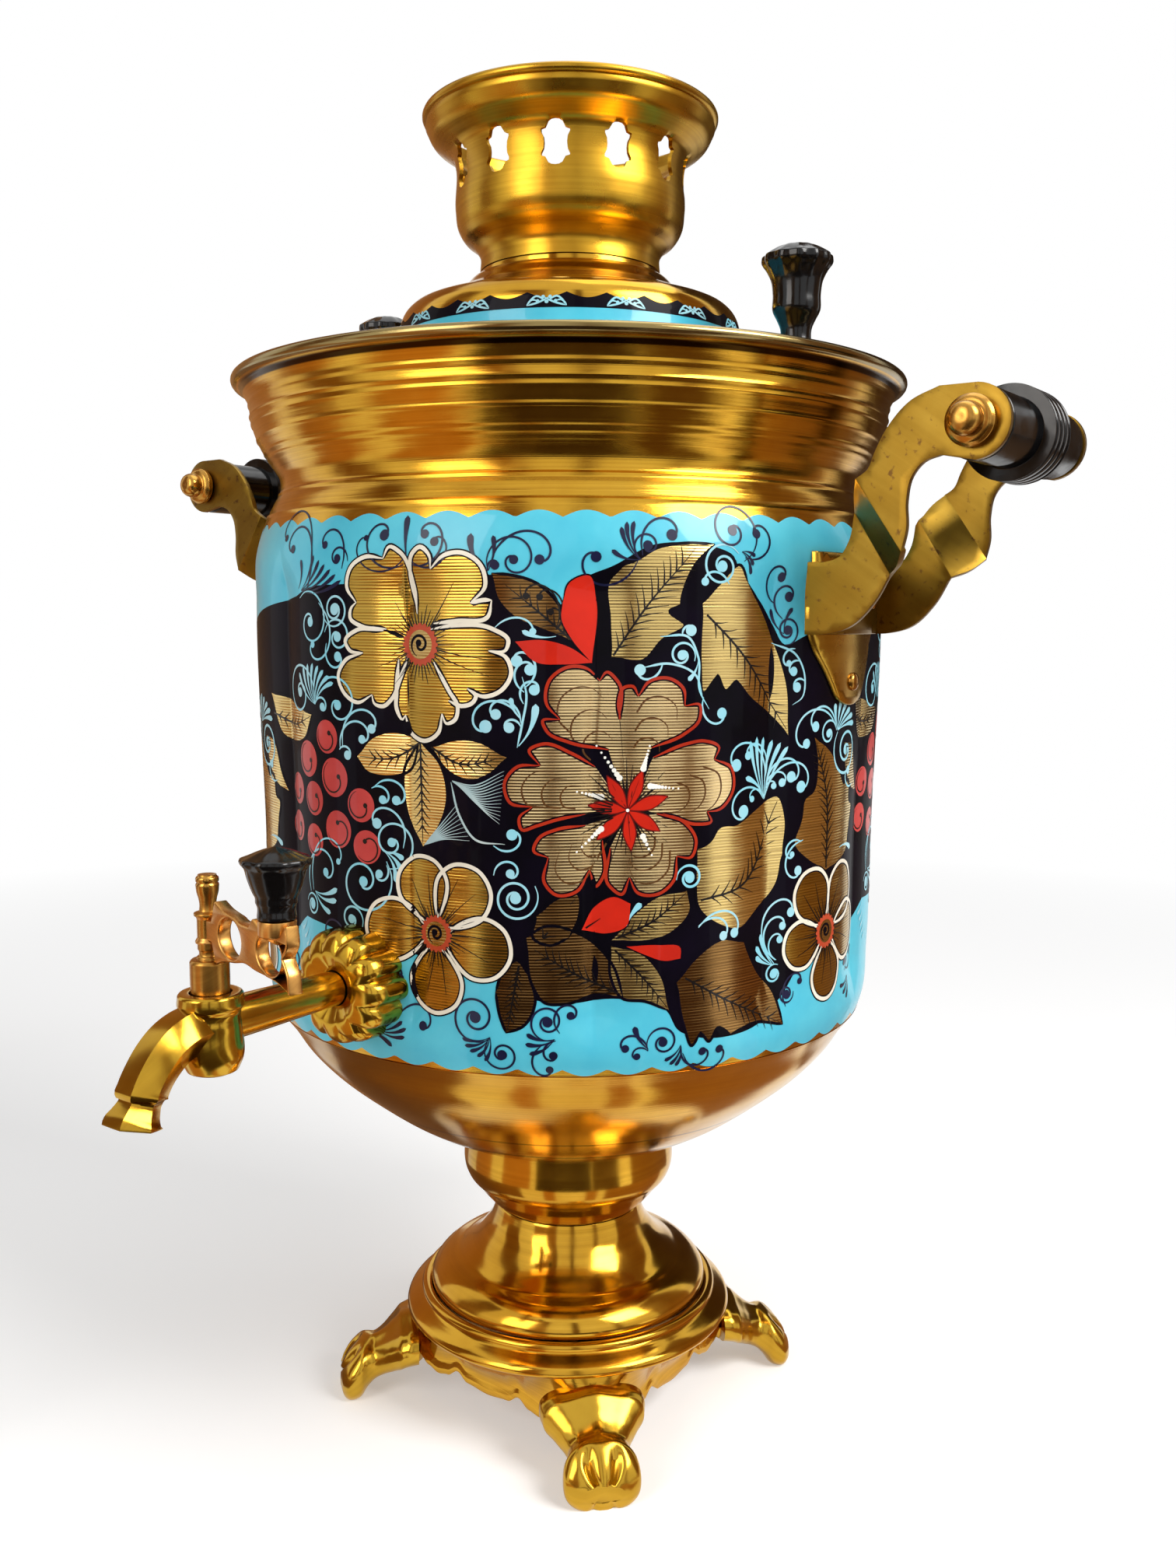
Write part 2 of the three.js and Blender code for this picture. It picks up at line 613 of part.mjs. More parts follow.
function lidTop() {
  const dome = scaled(domeShares, DOME_RADIUS, rimHeight + domeStartShare * LID_RISE, shoulderHeight);
  const neckLow = shoulderHeight - lidNeckShare * LID_RISE;
  return [...lidSlope(), ...dome, [NECK_RADIUS, neckLow], [NECK_RADIUS, shoulderHeight]];
}

function lid() {
  const top = lidTop();
  const spigotTop = shoulderHeight + SPIGOT_HEIGHT;
  const skirtInner = lidEdgeRadius - 4 * SHEET;
  const skirtLow = lidEdgeHeight - LID_SKIRT_DEPTH;
  const innerNeck = spigotRadius - SHEET;
  const roof = insideOf(top.slice(0, -1), SHEET, lidEdgeHeight - SHEET / 2, shoulderHeight - 3 * SHEET);
  const outline = [
    [0, spigotTop - SHEET], [innerNeck, spigotTop - SHEET], [innerNeck, shoulderHeight - 2 * SHEET],
    ...roof.slice(0, -1), [skirtInner, lidEdgeHeight - SHEET / 2],
    [skirtInner, skirtLow], [skirtInner + SHEET, skirtLow],
    [skirtInner + SHEET, lidEdgeHeight - SHEET], [lidEdgeRadius, lidEdgeHeight - SHEET],
    ...top, [spigotRadius, shoulderHeight], [spigotRadius, spigotTop], [0, spigotTop],
  ];
  const holes = [-1, 1].map((side) =>
    bore(LID_SCREW_RADIUS + CLEARANCE, skirtLow, slopeTop).translate(side * lidKnobPlace, 0, 0),
  );
  return cut(turned(outline, ROUND), ...holes);
}

// Height of the lid's slope at a distance from the axis.
function lidHeightAt(place) {
  const slope = lidSlope().map(([radius, height]) => [height, radius]);
  return radiusAt(slope.toReversed(), place);
}

// Lid knobs: turned bakelite, each on a screw from below
const lidKnobShares = [
  [0.48, 0], [0.5, 0.05], [0.44, 0.12], [0.44, 0.24], [0.54, 0.32], [0.66, 0.4], [0.67, 0.55],
  [0.73, 0.68], [0.85, 0.76], [1, 0.84], [0.99, 0.89], [0.8, 0.93], [0.5, 0.98],
];

function lidKnob() {
  const foot = lidKnobShares[1][0] * LID_KNOB_RADIUS;
  const low = lidHeightAt(lidKnobPlace - foot) + CLEARANCE;
  const outer = scaled(lidKnobShares, LID_KNOB_RADIUS, low, low + LID_KNOB_HEIGHT);
  const body = turned([[0, low], ...outer, [0, low + LID_KNOB_HEIGHT]], SMALL);
  const thread = bore(LID_SCREW_RADIUS, low - OVERRUN, lidScrewTip() + CLEARANCE);
  return cut(body, thread).translate(lidKnobPlace, 0, 0);
}

const lidScrewTip = () => lidHeightAt(lidKnobPlace) + lidScrewShare * LID_KNOB_HEIGHT;

function lidScrew() {
  const head = 2 * LID_SCREW_RADIUS;
  const headTop = lidHeightAt(lidKnobPlace + head) - SHEET - 2 * CLEARANCE;
  const headLow = headTop - LID_SCREW_HEAD_HEIGHT;
  const shank = LID_SCREW_RADIUS - CLEARANCE;
  const outline = [
    [0, headLow], [head, headLow], [head, headTop], [shank, headTop], [shank, lidScrewTip()],
    [0, lidScrewTip()],
  ];
  return turned(outline, TINY).translate(lidKnobPlace, 0, 0);
}

// Crown: a pierced cup with a flared lip, on a sleeve that slips over the lid's spigot
const sleeveShare = 0.11;
const starValleyShare = 0.74;
const crownShares = [
  [0.84, 0.17], [0.92, 0.215], [0.98, 0.29], [1, 0.4], [1, 0.7], [1.02, 0.755], [1.11, 0.81],
  [1.2, 0.86], [1.255, 0.94],
];

function starShape() {
  const points = Array.from({ length: 12 }, (_, i) => {
    const angle = Math.PI / 2 + (i * Math.PI) / 6;
    const reach = i % 2 === 0 ? 1 : starValleyShare;
    const across = (reach * STAR_WIDTH * Math.cos(angle)) / Math.sqrt(3);
    return [across, (reach * STAR_HEIGHT * Math.sin(angle)) / 2];
  });
  return polygon(points);
}

function crown() {
  const low = shoulderHeight + CLEARANCE;
  const belly = scaled(crownShares, CROWN_CUP_RADIUS, low, crownTop);
  const outer = [[NECK_RADIUS, low], [NECK_RADIUS, low + sleeveShare * CROWN_HEIGHT], ...belly];
  const inner = insideOf(outer, SHEET, low, crownTop - CROWN_BEAD);
  const bead = arc(CROWN_RADIUS - CROWN_BEAD, crownTop, CROWN_BEAD, -90, 150, 4);
  const shell = turned([...outer, ...bead, ...inner], 2 * STAR_COUNT, true);
  const stars = Array.from({ length: STAR_COUNT }, (_, i) => {
    const hole = slab(starShape(), CROWN_RADIUS).rotateX(Math.PI / 2);
    return hole.translate(0, 0, crownTop - STAR_DROP).rotateZ((2 * Math.PI * i) / STAR_COUNT);
  });
  return cut(shell, ...stars);
}

// Tap body: threaded tail, tube, barrel and spout in one casting
const tapFace = radiusAt(wallOutline, tapHeight);
const barrelTop = tapHeight + BARREL_ABOVE;
const barrelBottom = tapHeight - BARREL_BELOW;
const plugSeat = PLUG_TOP_RADIUS + CLEARANCE;
const spoutPathShares = [
  [0, 0.02], [0.3, 0.02], [0.42, 0.1], [0.55, 0.24], [0.64, 0.42], [0.69, 0.6], [0.72, 0.8], [0.735, 1],
];

// A tube with flat sides along a path in the tap's upright plane, its radius changing on the way.
function spoutTube(stations) {
  const rings = stations.map(({ out, up, radius }, i) => {
    const before = stations[Math.max(i - 1, 0)];
    const after = stations[Math.min(i + 1, stations.length - 1)];
    const along = new THREE.Vector2(after.out - before.out, after.up - before.up).normalize();
    return Array.from({ length: SPOUT_SIDES }, (_, j) => {
      const angle = (2 * Math.PI * (j + 0.5)) / SPOUT_SIDES;
      const [side, lift] = [Math.cos(angle) * radius, Math.sin(angle) * radius];
      return [side, -(TAP_REACH + out - along.y * lift), up + along.x * lift];
    });
  });
  return loft(rings);
}

function spoutStations(radiusShares, radius) {
  return spoutPathShares.map(([out, drop], i) => ({
    out: out * SPOUT_OUT,
    up: tapHeight - drop * SPOUT_DROP,
    radius: radiusShares[i] * radius,
  }));
}

const spoutShares = [1, 1.02, 1, 0.96, 0.93, 0.92, 1.05, 1.2];
const waterwayShares = spoutShares.map(() => 1);

// The barrel's outline below and above the tap's axis.
const barrelFootShares = [[0, 0], [0.55, 0], [0.85, 0.07], [1, 0.27], [1, 1]];
const barrelFlangeShares = [[0.926, 0.45], [1, 0.55], [1, 0.92], [0.93, 1], [0, 1]];

function tapBody() {
  const tail = facingFront(rod(TAIL_RADIUS, tapFace - TAIL_LENGTH, tapFace + OVERRUN));
  const tube = facingFront(turned([
    [0, tapFace], [TUBE_RADIUS, tapFace], [tubeRootShare * TUBE_RADIUS, TAP_REACH], [0, TAP_REACH],
  ], SMALL));
  const foot = scaled(barrelFootShares, BARREL_RADIUS, barrelBottom, tapHeight);
  const flange = scaled(barrelFlangeShares, BARREL_FLANGE_RADIUS, tapHeight, barrelTop);
  const barrel = turned([...foot, ...flange], SMALL).translate(0, -TAP_REACH, 0);
  const spout = spoutTube(spoutStations(spoutShares, SPOUT_RADIUS));
  for (const piece of [tail, tube]) piece.translate(0, 0, tapHeight);
  const inlet = facingFront(rod(WATERWAY_RADIUS, 0, TAP_REACH)).translate(0, 0, tapHeight);
  const outletPath = spoutStations(waterwayShares, WATERWAY_RADIUS);
  const mouth = outletPath.at(-1);
  const outlet = spoutTube([...outletPath, { ...mouth, up: mouth.up - OVERRUN }]);
  const seatLow = plugLow - CLEARANCE;
  const seatHigh = barrelTop + OVERRUN;
  const seat = turned([
    [0, seatLow], [plugSeat - PLUG_TAPER, seatLow], [plugSeat, barrelTop], [plugSeat, seatHigh],
    [0, seatHigh],
  ], SMALL).translate(0, -TAP_REACH, 0);
  return cut(join(barrel, tube, tail, spout), inlet, outlet, seat);
}

// Rosette: a scalloped cap between the tube and the wall
const rosetteShares = [[1, 0.38], [0.93, 0.72], [0.74, 0.94], [0.56, 1], [0.42, 0.92]];
const scallopShare = 0.07;

function rosette() {
  const facets = 2 * ROSETTE_LOBES;
  const front = tapFace + ROSETTE_DEPTH;
  const back = tapFace - 2 * LOBE_DEPTH;
  const hole = tubeRootShare * TUBE_RADIUS + CLEARANCE;
  const face = scaled(rosetteShares, ROSETTE_RADIUS, tapFace, front);
  const outline = [[hole, back], [ROSETTE_RADIUS, back], ...face, [hole, face.at(-1)[1]]];
  const disc = turned(outline, facets, true);
  const place = disc.getAttribute("position");
  for (let i = 0; i < place.count; i += 1) {
    const [x, y, z] = [place.getX(i), place.getY(i), place.getZ(i)];
    const radius = Math.hypot(x, y);
    const swell = Math.max(radius - hole, 0) / (ROSETTE_RADIUS - hole);
    const valley = 1 - Math.abs(Math.cos((Math.atan2(y, x) * ROSETTE_LOBES) / 2));
    const share = 1 - scallopShare * swell * valley;
    place.setXYZ(i, x * share, y * share, z);
  }
  return cut(facingFront(disc).translate(0, 0, tapHeight), bodyEnvelopeAtRest);
}

// Key: the tapered plug with its port, the bonnet and the turned finial, in one turning
const plugLow = tapHeight - 0.62 * BARREL_BELOW;
const bonnetTop = barrelTop + BONNET_HEIGHT;
const finialTop = bonnetTop + FINIAL_HEIGHT;
const finialShares = [
  [0.44, 0], [0.44, 0.07], [0.62, 0.1], [0.62, 0.16], [0.6, 0.2], [0.6, 0.5], [0.74, 0.54], [0.74, 0.58],
  [0.5, 0.61], [0.44, 0.65], [0.5, 0.7], [0.62, 0.76], [0.62, 0.8], [0.52, 0.84], [0.6, 0.88], [0.6, 0.95],
  [0.46, 1],
];
const bonnetShares = [[1, 0], [1, 0.9], [0.94, 1]];

function key() {
  const finial = scaled(finialShares, PLUG_TOP_RADIUS, bonnetTop, finialTop);
  const bonnet = scaled(bonnetShares, PLUG_TOP_RADIUS, barrelTop, bonnetTop);
  const plug = [[0, plugLow], [PLUG_TOP_RADIUS - PLUG_TAPER, plugLow]];
  const outline = [...plug, ...bonnet, ...finial, [0, finialTop]];
  const port = facingRight(rod(WATERWAY_RADIUS, -BARREL_RADIUS, BARREL_RADIUS, TINY));
  port.translate(0, 0, tapHeight);
  return atTap(cut(turned(outline, SMALL), port));
}

// Lever: a pierced plate with two eyes, clasped on the stem, with a stud for the knob
const leverMiddle = bonnetTop + 0.37 * FINIAL_HEIGHT;
const leverOutlineShares = [
  [0.16, 0.5], [0.24, 0.42], [0.36, 0.36], [0.46, 0.3], [0.56, 0.3], [0.6, 0.44], [0.68, 0.34], [0.9, 0.34],
  [0.97, 0.5], [0.98, 0.2], [0.93, 0], [0.98, -0.2], [1, -0.5], [0.88, -0.4], [0.76, -0.36], [0.62, -0.34],
  [0.5, -0.3], [0.38, -0.36], [0.24, -0.42], [0.16, -0.5], [0.14, -0.3], [0.11, 0], [0.14, 0.3],
];
const leverHoleShares = [0.335, 0.78];
const leverEyeShare = 0.14;
const leverBossShare = 0.3;
const leverTopShare = 0.52;
const studShare = 0.45;
const leverTop = leverMiddle + leverTopShare * LEVER_HEIGHT;
const studTop = leverTop + studShare * TAP_KNOB_HEIGHT;

// Turns a piece of the key to the lever's direction and moves it to the plug's axis.
const atTap = (geometry) => geometry.rotateZ(LEVER_TURN).translate(0, -TAP_REACH, 0);

function lever() {
  const outline = leverOutlineShares.map(([along, up]) => [along * LEVER_LENGTH, up * LEVER_HEIGHT]);
  const upright = (shape, thickness) => {
    const flat = slab(shape, thickness).translate(0, 0, -thickness / 2);
    return flat.rotateX(Math.PI / 2).translate(0, 0, leverMiddle);
  };
  const plate = upright(polygon(outline), LEVER_THICKNESS);
  const holes = leverHoleShares.map((along) => {
    const oval = new THREE.Shape();
    oval.absellipse(along * LEVER_LENGTH, 0, LEVER_HOLE_WIDTH / 2, LEVER_HOLE_HEIGHT / 2, 0, 2 * Math.PI);
    return upright(oval, 2 * LEVER_THICKNESS);
  });
  const eyeHalf = leverEyeShare * LEVER_HEIGHT;
  const eyeOuter = STEM_RADIUS + 2 * SHEET;
  const eye = rod(eyeOuter, leverMiddle - eyeHalf, leverMiddle + eyeHalf);
  const web = new THREE.BoxGeometry(eyeOuter, LEVER_THICKNESS, 2 * eyeHalf);
  web.translate(eyeOuter, 0, leverMiddle);
  const bossLow = leverMiddle + leverBossShare * LEVER_HEIGHT;
  const boss = rod(2 * STUD_RADIUS, bossLow, leverTop).translate(TAP_KNOB_PLACE, 0, 0);
  const stud = rod(STUD_RADIUS, bossLow, studTop, TINY).translate(TAP_KNOB_PLACE, 0, 0);
  const stem = bore(STEM_RADIUS + CLEARANCE, leverMiddle - LEVER_HEIGHT, leverMiddle + LEVER_HEIGHT);
  return atTap(cut(join(plate, eye, web, boss, stud), ...holes, stem));
}

// Knob on the lever's stud
const tapKnobShares = [
  [0.56, 0], [0.55, 0.34], [0.6, 0.38], [0.67, 0.46], [0.7, 0.56], [0.76, 0.66], [0.95, 0.76], [1, 0.8],
  [0.98, 0.85], [0.8, 0.88], [0.5, 0.95],
];

function tapKnob() {
  const low = leverTop + CLEARANCE;
  const high = low + TAP_KNOB_HEIGHT;
  const outer = scaled(tapKnobShares, TAP_KNOB_RADIUS, low, high);
  const hole = bore(STUD_RADIUS + CLEARANCE, low - OVERRUN, studTop + CLEARANCE);
  const knob = cut(turned([[0, low], ...outer, [0, high]], SMALL), hole);
  return atTap(knob.translate(TAP_KNOB_PLACE, 0, 0));
}

// Nut and gasket inside the wall, on the tap's tail
const tapInside = tapFace - SHEET;
const gasketFront = tapInside - CLEARANCE;

function tapGasket() {
  const back = gasketFront - GASKET_THICKNESS - LOBE_DEPTH;
  const washer = facingFront(ring(TAIL_RADIUS + CLEARANCE, TAIL_NUT_RADIUS, back, tapFace));
  return common(washer.translate(0, 0, tapHeight), bodySpace);
}

const tapNutFront = gasketFront - GASKET_THICKNESS - LOBE_DEPTH - CLEARANCE;

function tapNut() {
  const low = tapNutFront - TAIL_NUT_THICKNESS;
  const nut = hexNut(TAIL_NUT_RADIUS, TAIL_RADIUS + CLEARANCE, low, tapNutFront);
  return facingFront(nut).translate(0, 0, tapHeight);
}

// Handles, made on +X and turned half round for the left one
const strapLow = wallTop - STRAP_LOW;
const strapTop = strapLow + STRAP_HEIGHT;
const strapMiddle = (strapLow + strapTop) / 2;
const plateTip = wallTop - PLATE_DROP;
const lowRivetHeight = plateTip + 0.15 * PLATE_HEIGHT;
const upperRivetPlace = 0.5 * STRAP_HALF_WIDTH;
const rivetPlaces = [[-upperRivetPlace, strapMiddle], [upperRivetPlace, strapMiddle], [0, lowRivetHeight]];

// Plate outline: half width and height as shares of the plate's half width and height
const plateShares = [
  [1, 1], [1, 0.42], [0.93, 0.36], [0.72, 0.24], [0.52, 0.12], [0.4, 0.05], [0.2, 0.005], [-0.2, 0.005],
  [-0.4, 0.05], [-0.52, 0.12], [-0.72, 0.24], [-0.93, 0.36], [-1, 0.42], [-1, 1],
];

function wallPatch(shape, inner, outer) {
  const block = slab(shape, BODY_RADIUS + OVERRUN).rotateX(Math.PI / 2).rotateZ(Math.PI / 2);
  return cut(common(block, bodyEnvelope(outer)), bodyEnvelope(inner));
}

function handlePlate() {
  const outline = scaled(plateShares, PLATE_HALF_WIDTH, plateTip, plateTip + PLATE_HEIGHT);
  const plate = wallPatch(polygon(outline), CLEARANCE, CLEARANCE + PLATE_SHEET);
  return cut(plate, ...rivetPlaces.map(([across, up]) => rivetHole(across, up)));
}

function rivetHole(across, up) {
  return facingRight(bore(RIVET_RADIUS + CLEARANCE, 0, 1.3 * BODY_RADIUS)).translate(0, across, up);
}

function handleRivetHoles() {
  const holes = (turn) => rivetPlaces.map(([across, up]) => rivetHole(across, up).rotateZ(turn));
  return [...holes(0), ...holes(Math.PI)];
}

// Arm outline from the flange at the wall to the disc round the grip's rod. Each station is
// [inner edge, outer edge, spread], the edges as shares of the reach and the rise, the spread as
// the share of the way out from the flange to the grip's end.
const armShares = [
  [[0, 1], [0, 0], 0],
  [[0.12, 0.98], [0.12, 0.01], 0],
  [[0.2, 1.02], [0.25, 0.12], 0],
  [[0.25, 1.25], [0.41, 0.77], 0],
  [[0.36, 1.95], [0.59, 1.05], 1],
  [[0.45, 2.12], [0.65, 1.35], 1],
  [[0.49, 2.35], [0.66, 1.7], 1],
  [[0.56, 2.65], [0.68, 1.95], 1],
  [[0.68, 2.95], [0.74, 2.13], 1],
  [[0.82, 3.08], [0.84, 2.2], 1],
];

function armPoint([across, up], flangeStart) {
  const reach = GRIP_PLACE - flangeStart;
  const climb = (gripHeight + ARM_END_RADIUS - strapLow) / armShares.at(-1)[0][1];
  return [flangeStart + across * reach, strapLow + up * climb];
}

function arm(flangeStart) {
  const base = armShares.map(([inner, outer, spread]) => ({
    inner: armPoint(inner, flangeStart),
    outer: armPoint(outer, flangeStart),
    spread,
  }));
  base[0].inner[1] = strapTop;
  const upper = arc(GRIP_PLACE, gripHeight, ARM_END_RADIUS, 80, -20, 4);
  const lower = arc(GRIP_PLACE, gripHeight, ARM_END_RADIUS, -85, -30, 4);
  const disc = upper.map((inner, i) => ({ inner, outer: lower[i], spread: 1 }));
  const rings = [...base, ...disc].map(({ inner, outer, spread }) => {
    const outside = STRAP_HALF_WIDTH + spread * (GRIP_HALF_SPAN - STRAP_HALF_WIDTH);
    const inside = outside - STRAP_SHEET;
    return [
      [inner[0], -outside, inner[1]], [inner[0], -inside, inner[1]],
      [outer[0], -inside, outer[1]], [outer[0], -outside, outer[1]],
    ];
  });
  return loft(rings);
}

const strapWall = radiusAt(wallOutline, strapMiddle);
const flangeStart = Math.sqrt(strapWall ** 2 - STRAP_HALF_WIDTH ** 2) - STRAP_SHEET;

function strap() {
  const web = polygon([
    [-STRAP_HALF_WIDTH, strapLow], [STRAP_HALF_WIDTH, strapLow],
    [STRAP_HALF_WIDTH, strapTop], [-STRAP_HALF_WIDTH, strapTop],
  ]);
  const webLow = 2 * CLEARANCE + PLATE_SHEET;
  const patch = wallPatch(web, webLow, webLow + STRAP_SHEET);
  const arms = [arm(flangeStart), arm(flangeStart).scale(1, -1, 1)];
  const reach = GRIP_HALF_SPAN + OVERRUN;
  const rodHole = facingBack(bore(ROD_RADIUS + CLEARANCE, -reach, reach));
  rodHole.translate(GRIP_PLACE, 0, gripHeight);
  const rivets = rivetPlaces.slice(0, 2).map(([across, up]) => rivetHole(across, up));
  return cut(join(patch, ...arms), bodyEnvelope(webLow), rodHole, ...rivets);
}

// A rivet through wall, plate and (for the upper two) strap, its two heads shaped to what they press on.
function rivet(across, up, stack) {
  const wallHere = Math.sqrt(radiusAt(wallOutline, up) ** 2 - across ** 2);
  const inside = wallHere - LOBE_DEPTH - SHEET - RIVET_HEAD_HEIGHT;
  const outside = wallHere + stack + RIVET_HEAD_HEIGHT;
  const head = rod(RIVET_HEAD_RADIUS, inside, wallHere, TINY);
  const shank = rod(RIVET_RADIUS, inside, wallHere + stack, TINY);
  const dome = turned([
    [0, wallHere], [RIVET_HEAD_RADIUS, wallHere],
    [RIVET_HEAD_RADIUS, outside - rivetDomeShare * RIVET_HEAD_HEIGHT],
    [rivetTopShare * RIVET_HEAD_RADIUS, outside], [0, outside],
  ], TINY);
  const [headHere, shankHere, domeHere] = [head, shank, dome].map((piece) =>
    facingRight(piece).translate(0, across, up),
  );
  const innerHead = common(headHere, bodySpace);
  return join(shankHere, innerHead, cut(domeHere, bodyEnvelope(stack)));
}

// Grip: a bakelite roller with a grooved middle ring
const gripEndShare = 0.88;
const grooveShares = [0.95, 0.4]; // where the grooves start, from the ring's middle to its edge

function grip() {
  const half = GRIP_HALF_SPAN - STRAP_SHEET - CLEARANCE;
  const ringHalf = GRIP_RING_WIDTH / 2;
  const grooves = grooveShares.flatMap((share) => [
    [GRIP_RING_RADIUS, -share * ringHalf],
    [GRIP_RING_RADIUS - GROOVE_DEPTH, -share * ringHalf + GROOVE_WIDTH / 2],
    [GRIP_RING_RADIUS, -share * ringHalf + GROOVE_WIDTH],
  ]);
  const left = [
    [gripEndShare * GRIP_RADIUS, -half], [GRIP_RADIUS, -half + (1 - gripEndShare) * GRIP_RADIUS],
    [GRIP_RADIUS, -ringHalf], ...grooves,
  ];
  const right = left.map(([radius, along]) => [radius, -along]).toReversed();
  const hole = (ROD_RADIUS + CLEARANCE) / Math.cos(Math.PI / SMALL);
  const outline = [[hole, -half], ...left, ...right, [hole, half]];
  return facingBack(turned(outline, SMALL, true)).translate(GRIP_PLACE, 0, gripHeight);
}

// Acorn nuts on the ends of the grip's rod
const acornBase = GRIP_HALF_SPAN + CLEARANCE;
const acornCollarShares = [[0, 0], [0.85, 0], [1, 0.12], [1, 0.28], [0.85, 0.4]];
const acornTipShares = [[1, 0.45], [1, 0.75], [0.8, 0.92], [0.4, 1], [0, 1]];
const rodEndShare = 0.6;

function acorn() {
  const high = acornBase + ACORN_LENGTH;
  const collar = scaled(acornCollarShares, ACORN_COLLAR_RADIUS, acornBase, high);
  const outline = [...collar, ...scaled(acornTipShares, ACORN_RADIUS, acornBase, high)];
  const thread = bore(ROD_RADIUS + CLEARANCE, acornBase - OVERRUN, rodEnd + CLEARANCE);
  return cut(turned(outline, TINY), thread);
}

const rodEnd = acornBase + rodEndShare * ACORN_LENGTH;

// Heating element: a ring in the bowl whose two ends rise and pass out through the back wall
const backFace = radiusAt(wallOutline, inletHeight);
const elementHeight = wallBottom - ELEMENT_DROP;
const riserOutShare = 1.25;
const riserUpShare = 0.35;
const riserHeight = elementHeight + riserUpShare * (inletHeight - elementHeight);
const ELEMENT_STEPS = 40;
const sealBack = backFace + CLEARANCE + SEAL_THICKNESS;
const nutLow = sealBack + CLEARANCE;
const terminalOut = nutLow + TERMINAL_NUT_THICKNESS;

function element() {
  const half = TERMINAL_SPACING / 2;
  const points = [
    new THREE.Vector3(half, terminalOut, inletHeight),
    new THREE.Vector3(half, backFace - SEAL_RADIUS, inletHeight),
    new THREE.Vector3(half, backFace - 2 * SEAL_RADIUS, inletHeight),
    new THREE.Vector3(half, riserOutShare * ELEMENT_RING_RADIUS, riserHeight),
  ];
  const steps = 12;
  const gap = Math.asin(half / ELEMENT_RING_RADIUS);
  for (let i = 0; i <= steps; i += 1) {
    const angle = gap + ((2 * Math.PI - 2 * gap) * i) / steps;
    points.push(new THREE.Vector3(
      ELEMENT_RING_RADIUS * Math.sin(angle), ELEMENT_RING_RADIUS * Math.cos(angle), elementHeight,
    ));
  }
  const mirrored = points.slice(0, 4).toReversed().map(({ x, y, z }) => new THREE.Vector3(-x, y, z));
  const extrudePath = new THREE.CatmullRomCurve3([...points, ...mirrored], false, "centripetal");
  const section = new THREE.Shape();
  section.absarc(0, 0, ELEMENT_RADIUS, 0, 2 * Math.PI);
  const options = { steps: ELEMENT_STEPS, extrudePath, curveSegments: 3, bevelEnabled: false };
  return new THREE.ExtrudeGeometry(section, options);
}

// Inlet: seals and nuts on the two ends, an insulator disc, two pins and a round shroud
const insulatorLow = terminalOut + CLEARANCE;
const insulatorHigh = insulatorLow + INSULATOR_THICKNESS;

const atInlet = (geometry, across = 0) => facingBack(geometry).translate(across, 0, inletHeight);

function shroud() {
  const low = backFace - 2 * LOBE_DEPTH;
  const high = backFace + SHROUD_LENGTH;
  const inner = SHROUD_RADIUS - SHROUD_WALL;
  const outline = [
    [inner, low], [SHROUD_RADIUS, low], [SHROUD_RADIUS, high - SHROUD_WALL / 2],
    [SHROUD_RADIUS - SHROUD_WALL / 2, high], [inner, high],
  ];
  return cut(atInlet(turned(outline, SMALL, true)), bodyEnvelopeAtRest);
}

function insulator() {
  const disc = atInlet(rod(SHROUD_RADIUS - SHROUD_WALL - CLEARANCE, insulatorLow, insulatorHigh));
  const holes = [-1, 1].map((side) =>
    atInlet(
      bore(PIN_RADIUS + CLEARANCE, insulatorLow - OVERRUN, insulatorHigh + OVERRUN),
      (side * TERMINAL_SPACING) / 2,
    ),
  );
  return cut(disc, ...holes);
}

function pin() {
  const low = terminalOut + CLEARANCE;
  const high = insulatorLow + PIN_LENGTH;
  const round = PIN_RADIUS / 2;
  return turned([[0, low], [PIN_RADIUS, low], [PIN_RADIUS, high - round], [round, high], [0, high]], TINY);
}

// The assembly
add("body_shell", bodyShell(), paintedBrass);
add("body_bowl", bowl(), brass);
add("base_plinth", plinth(), brass);
["front_right", "back_right", "back_left", "front_left"].forEach((place, i) => {
  add(`foot_${place}`, paw().rotateZ(footAngles[i]), brass);
  add(`foot_screw_${place}`, footScrew().rotateZ(footAngles[i]), steel);
});
add("base_pedestal", pedestal(), brass);
add("base_cup", cup(), brass);
add("tie_bolt", tieBolt(), steel);
add("tie_seal", ring(tieHole, 2 * TIE_BOLT_RADIUS, tieSealLow, tieSealLow + TIE_SEAL_THICKNESS), rubber);
const tieWasherLow = tieWasherTop - TIE_WASHER_THICKNESS;
add("tie_washer", ring(tieHole, TIE_WASHER_RADIUS, tieWasherLow, tieWasherTop), steel);
add("tie_nut", hexNut(2 * TIE_BOLT_RADIUS, tieHole, tieNutLow, tieNutTop), steel);
add("lid", lid(), brass);
for (const [name, angle] of [["right", 0], ["left", Math.PI]]) {
  add(`lid_knob_${name}`, lidKnob().rotateZ(angle), bakelite);
  add(`lid_screw_${name}`, lidScrew().rotateZ(angle), steel);
}
add("crown", crown(), brass);
add("tap_body", tapBody(), brass);
add("tap_rosette", rosette(), brass);
add("tap_key", key(), darkBrass);
add("tap_lever", lever(), brass);
add("tap_knob", tapKnob(), bakelite);
add("tap_gasket", tapGasket(), rubber);
add("tap_nut", tapNut(), brass);
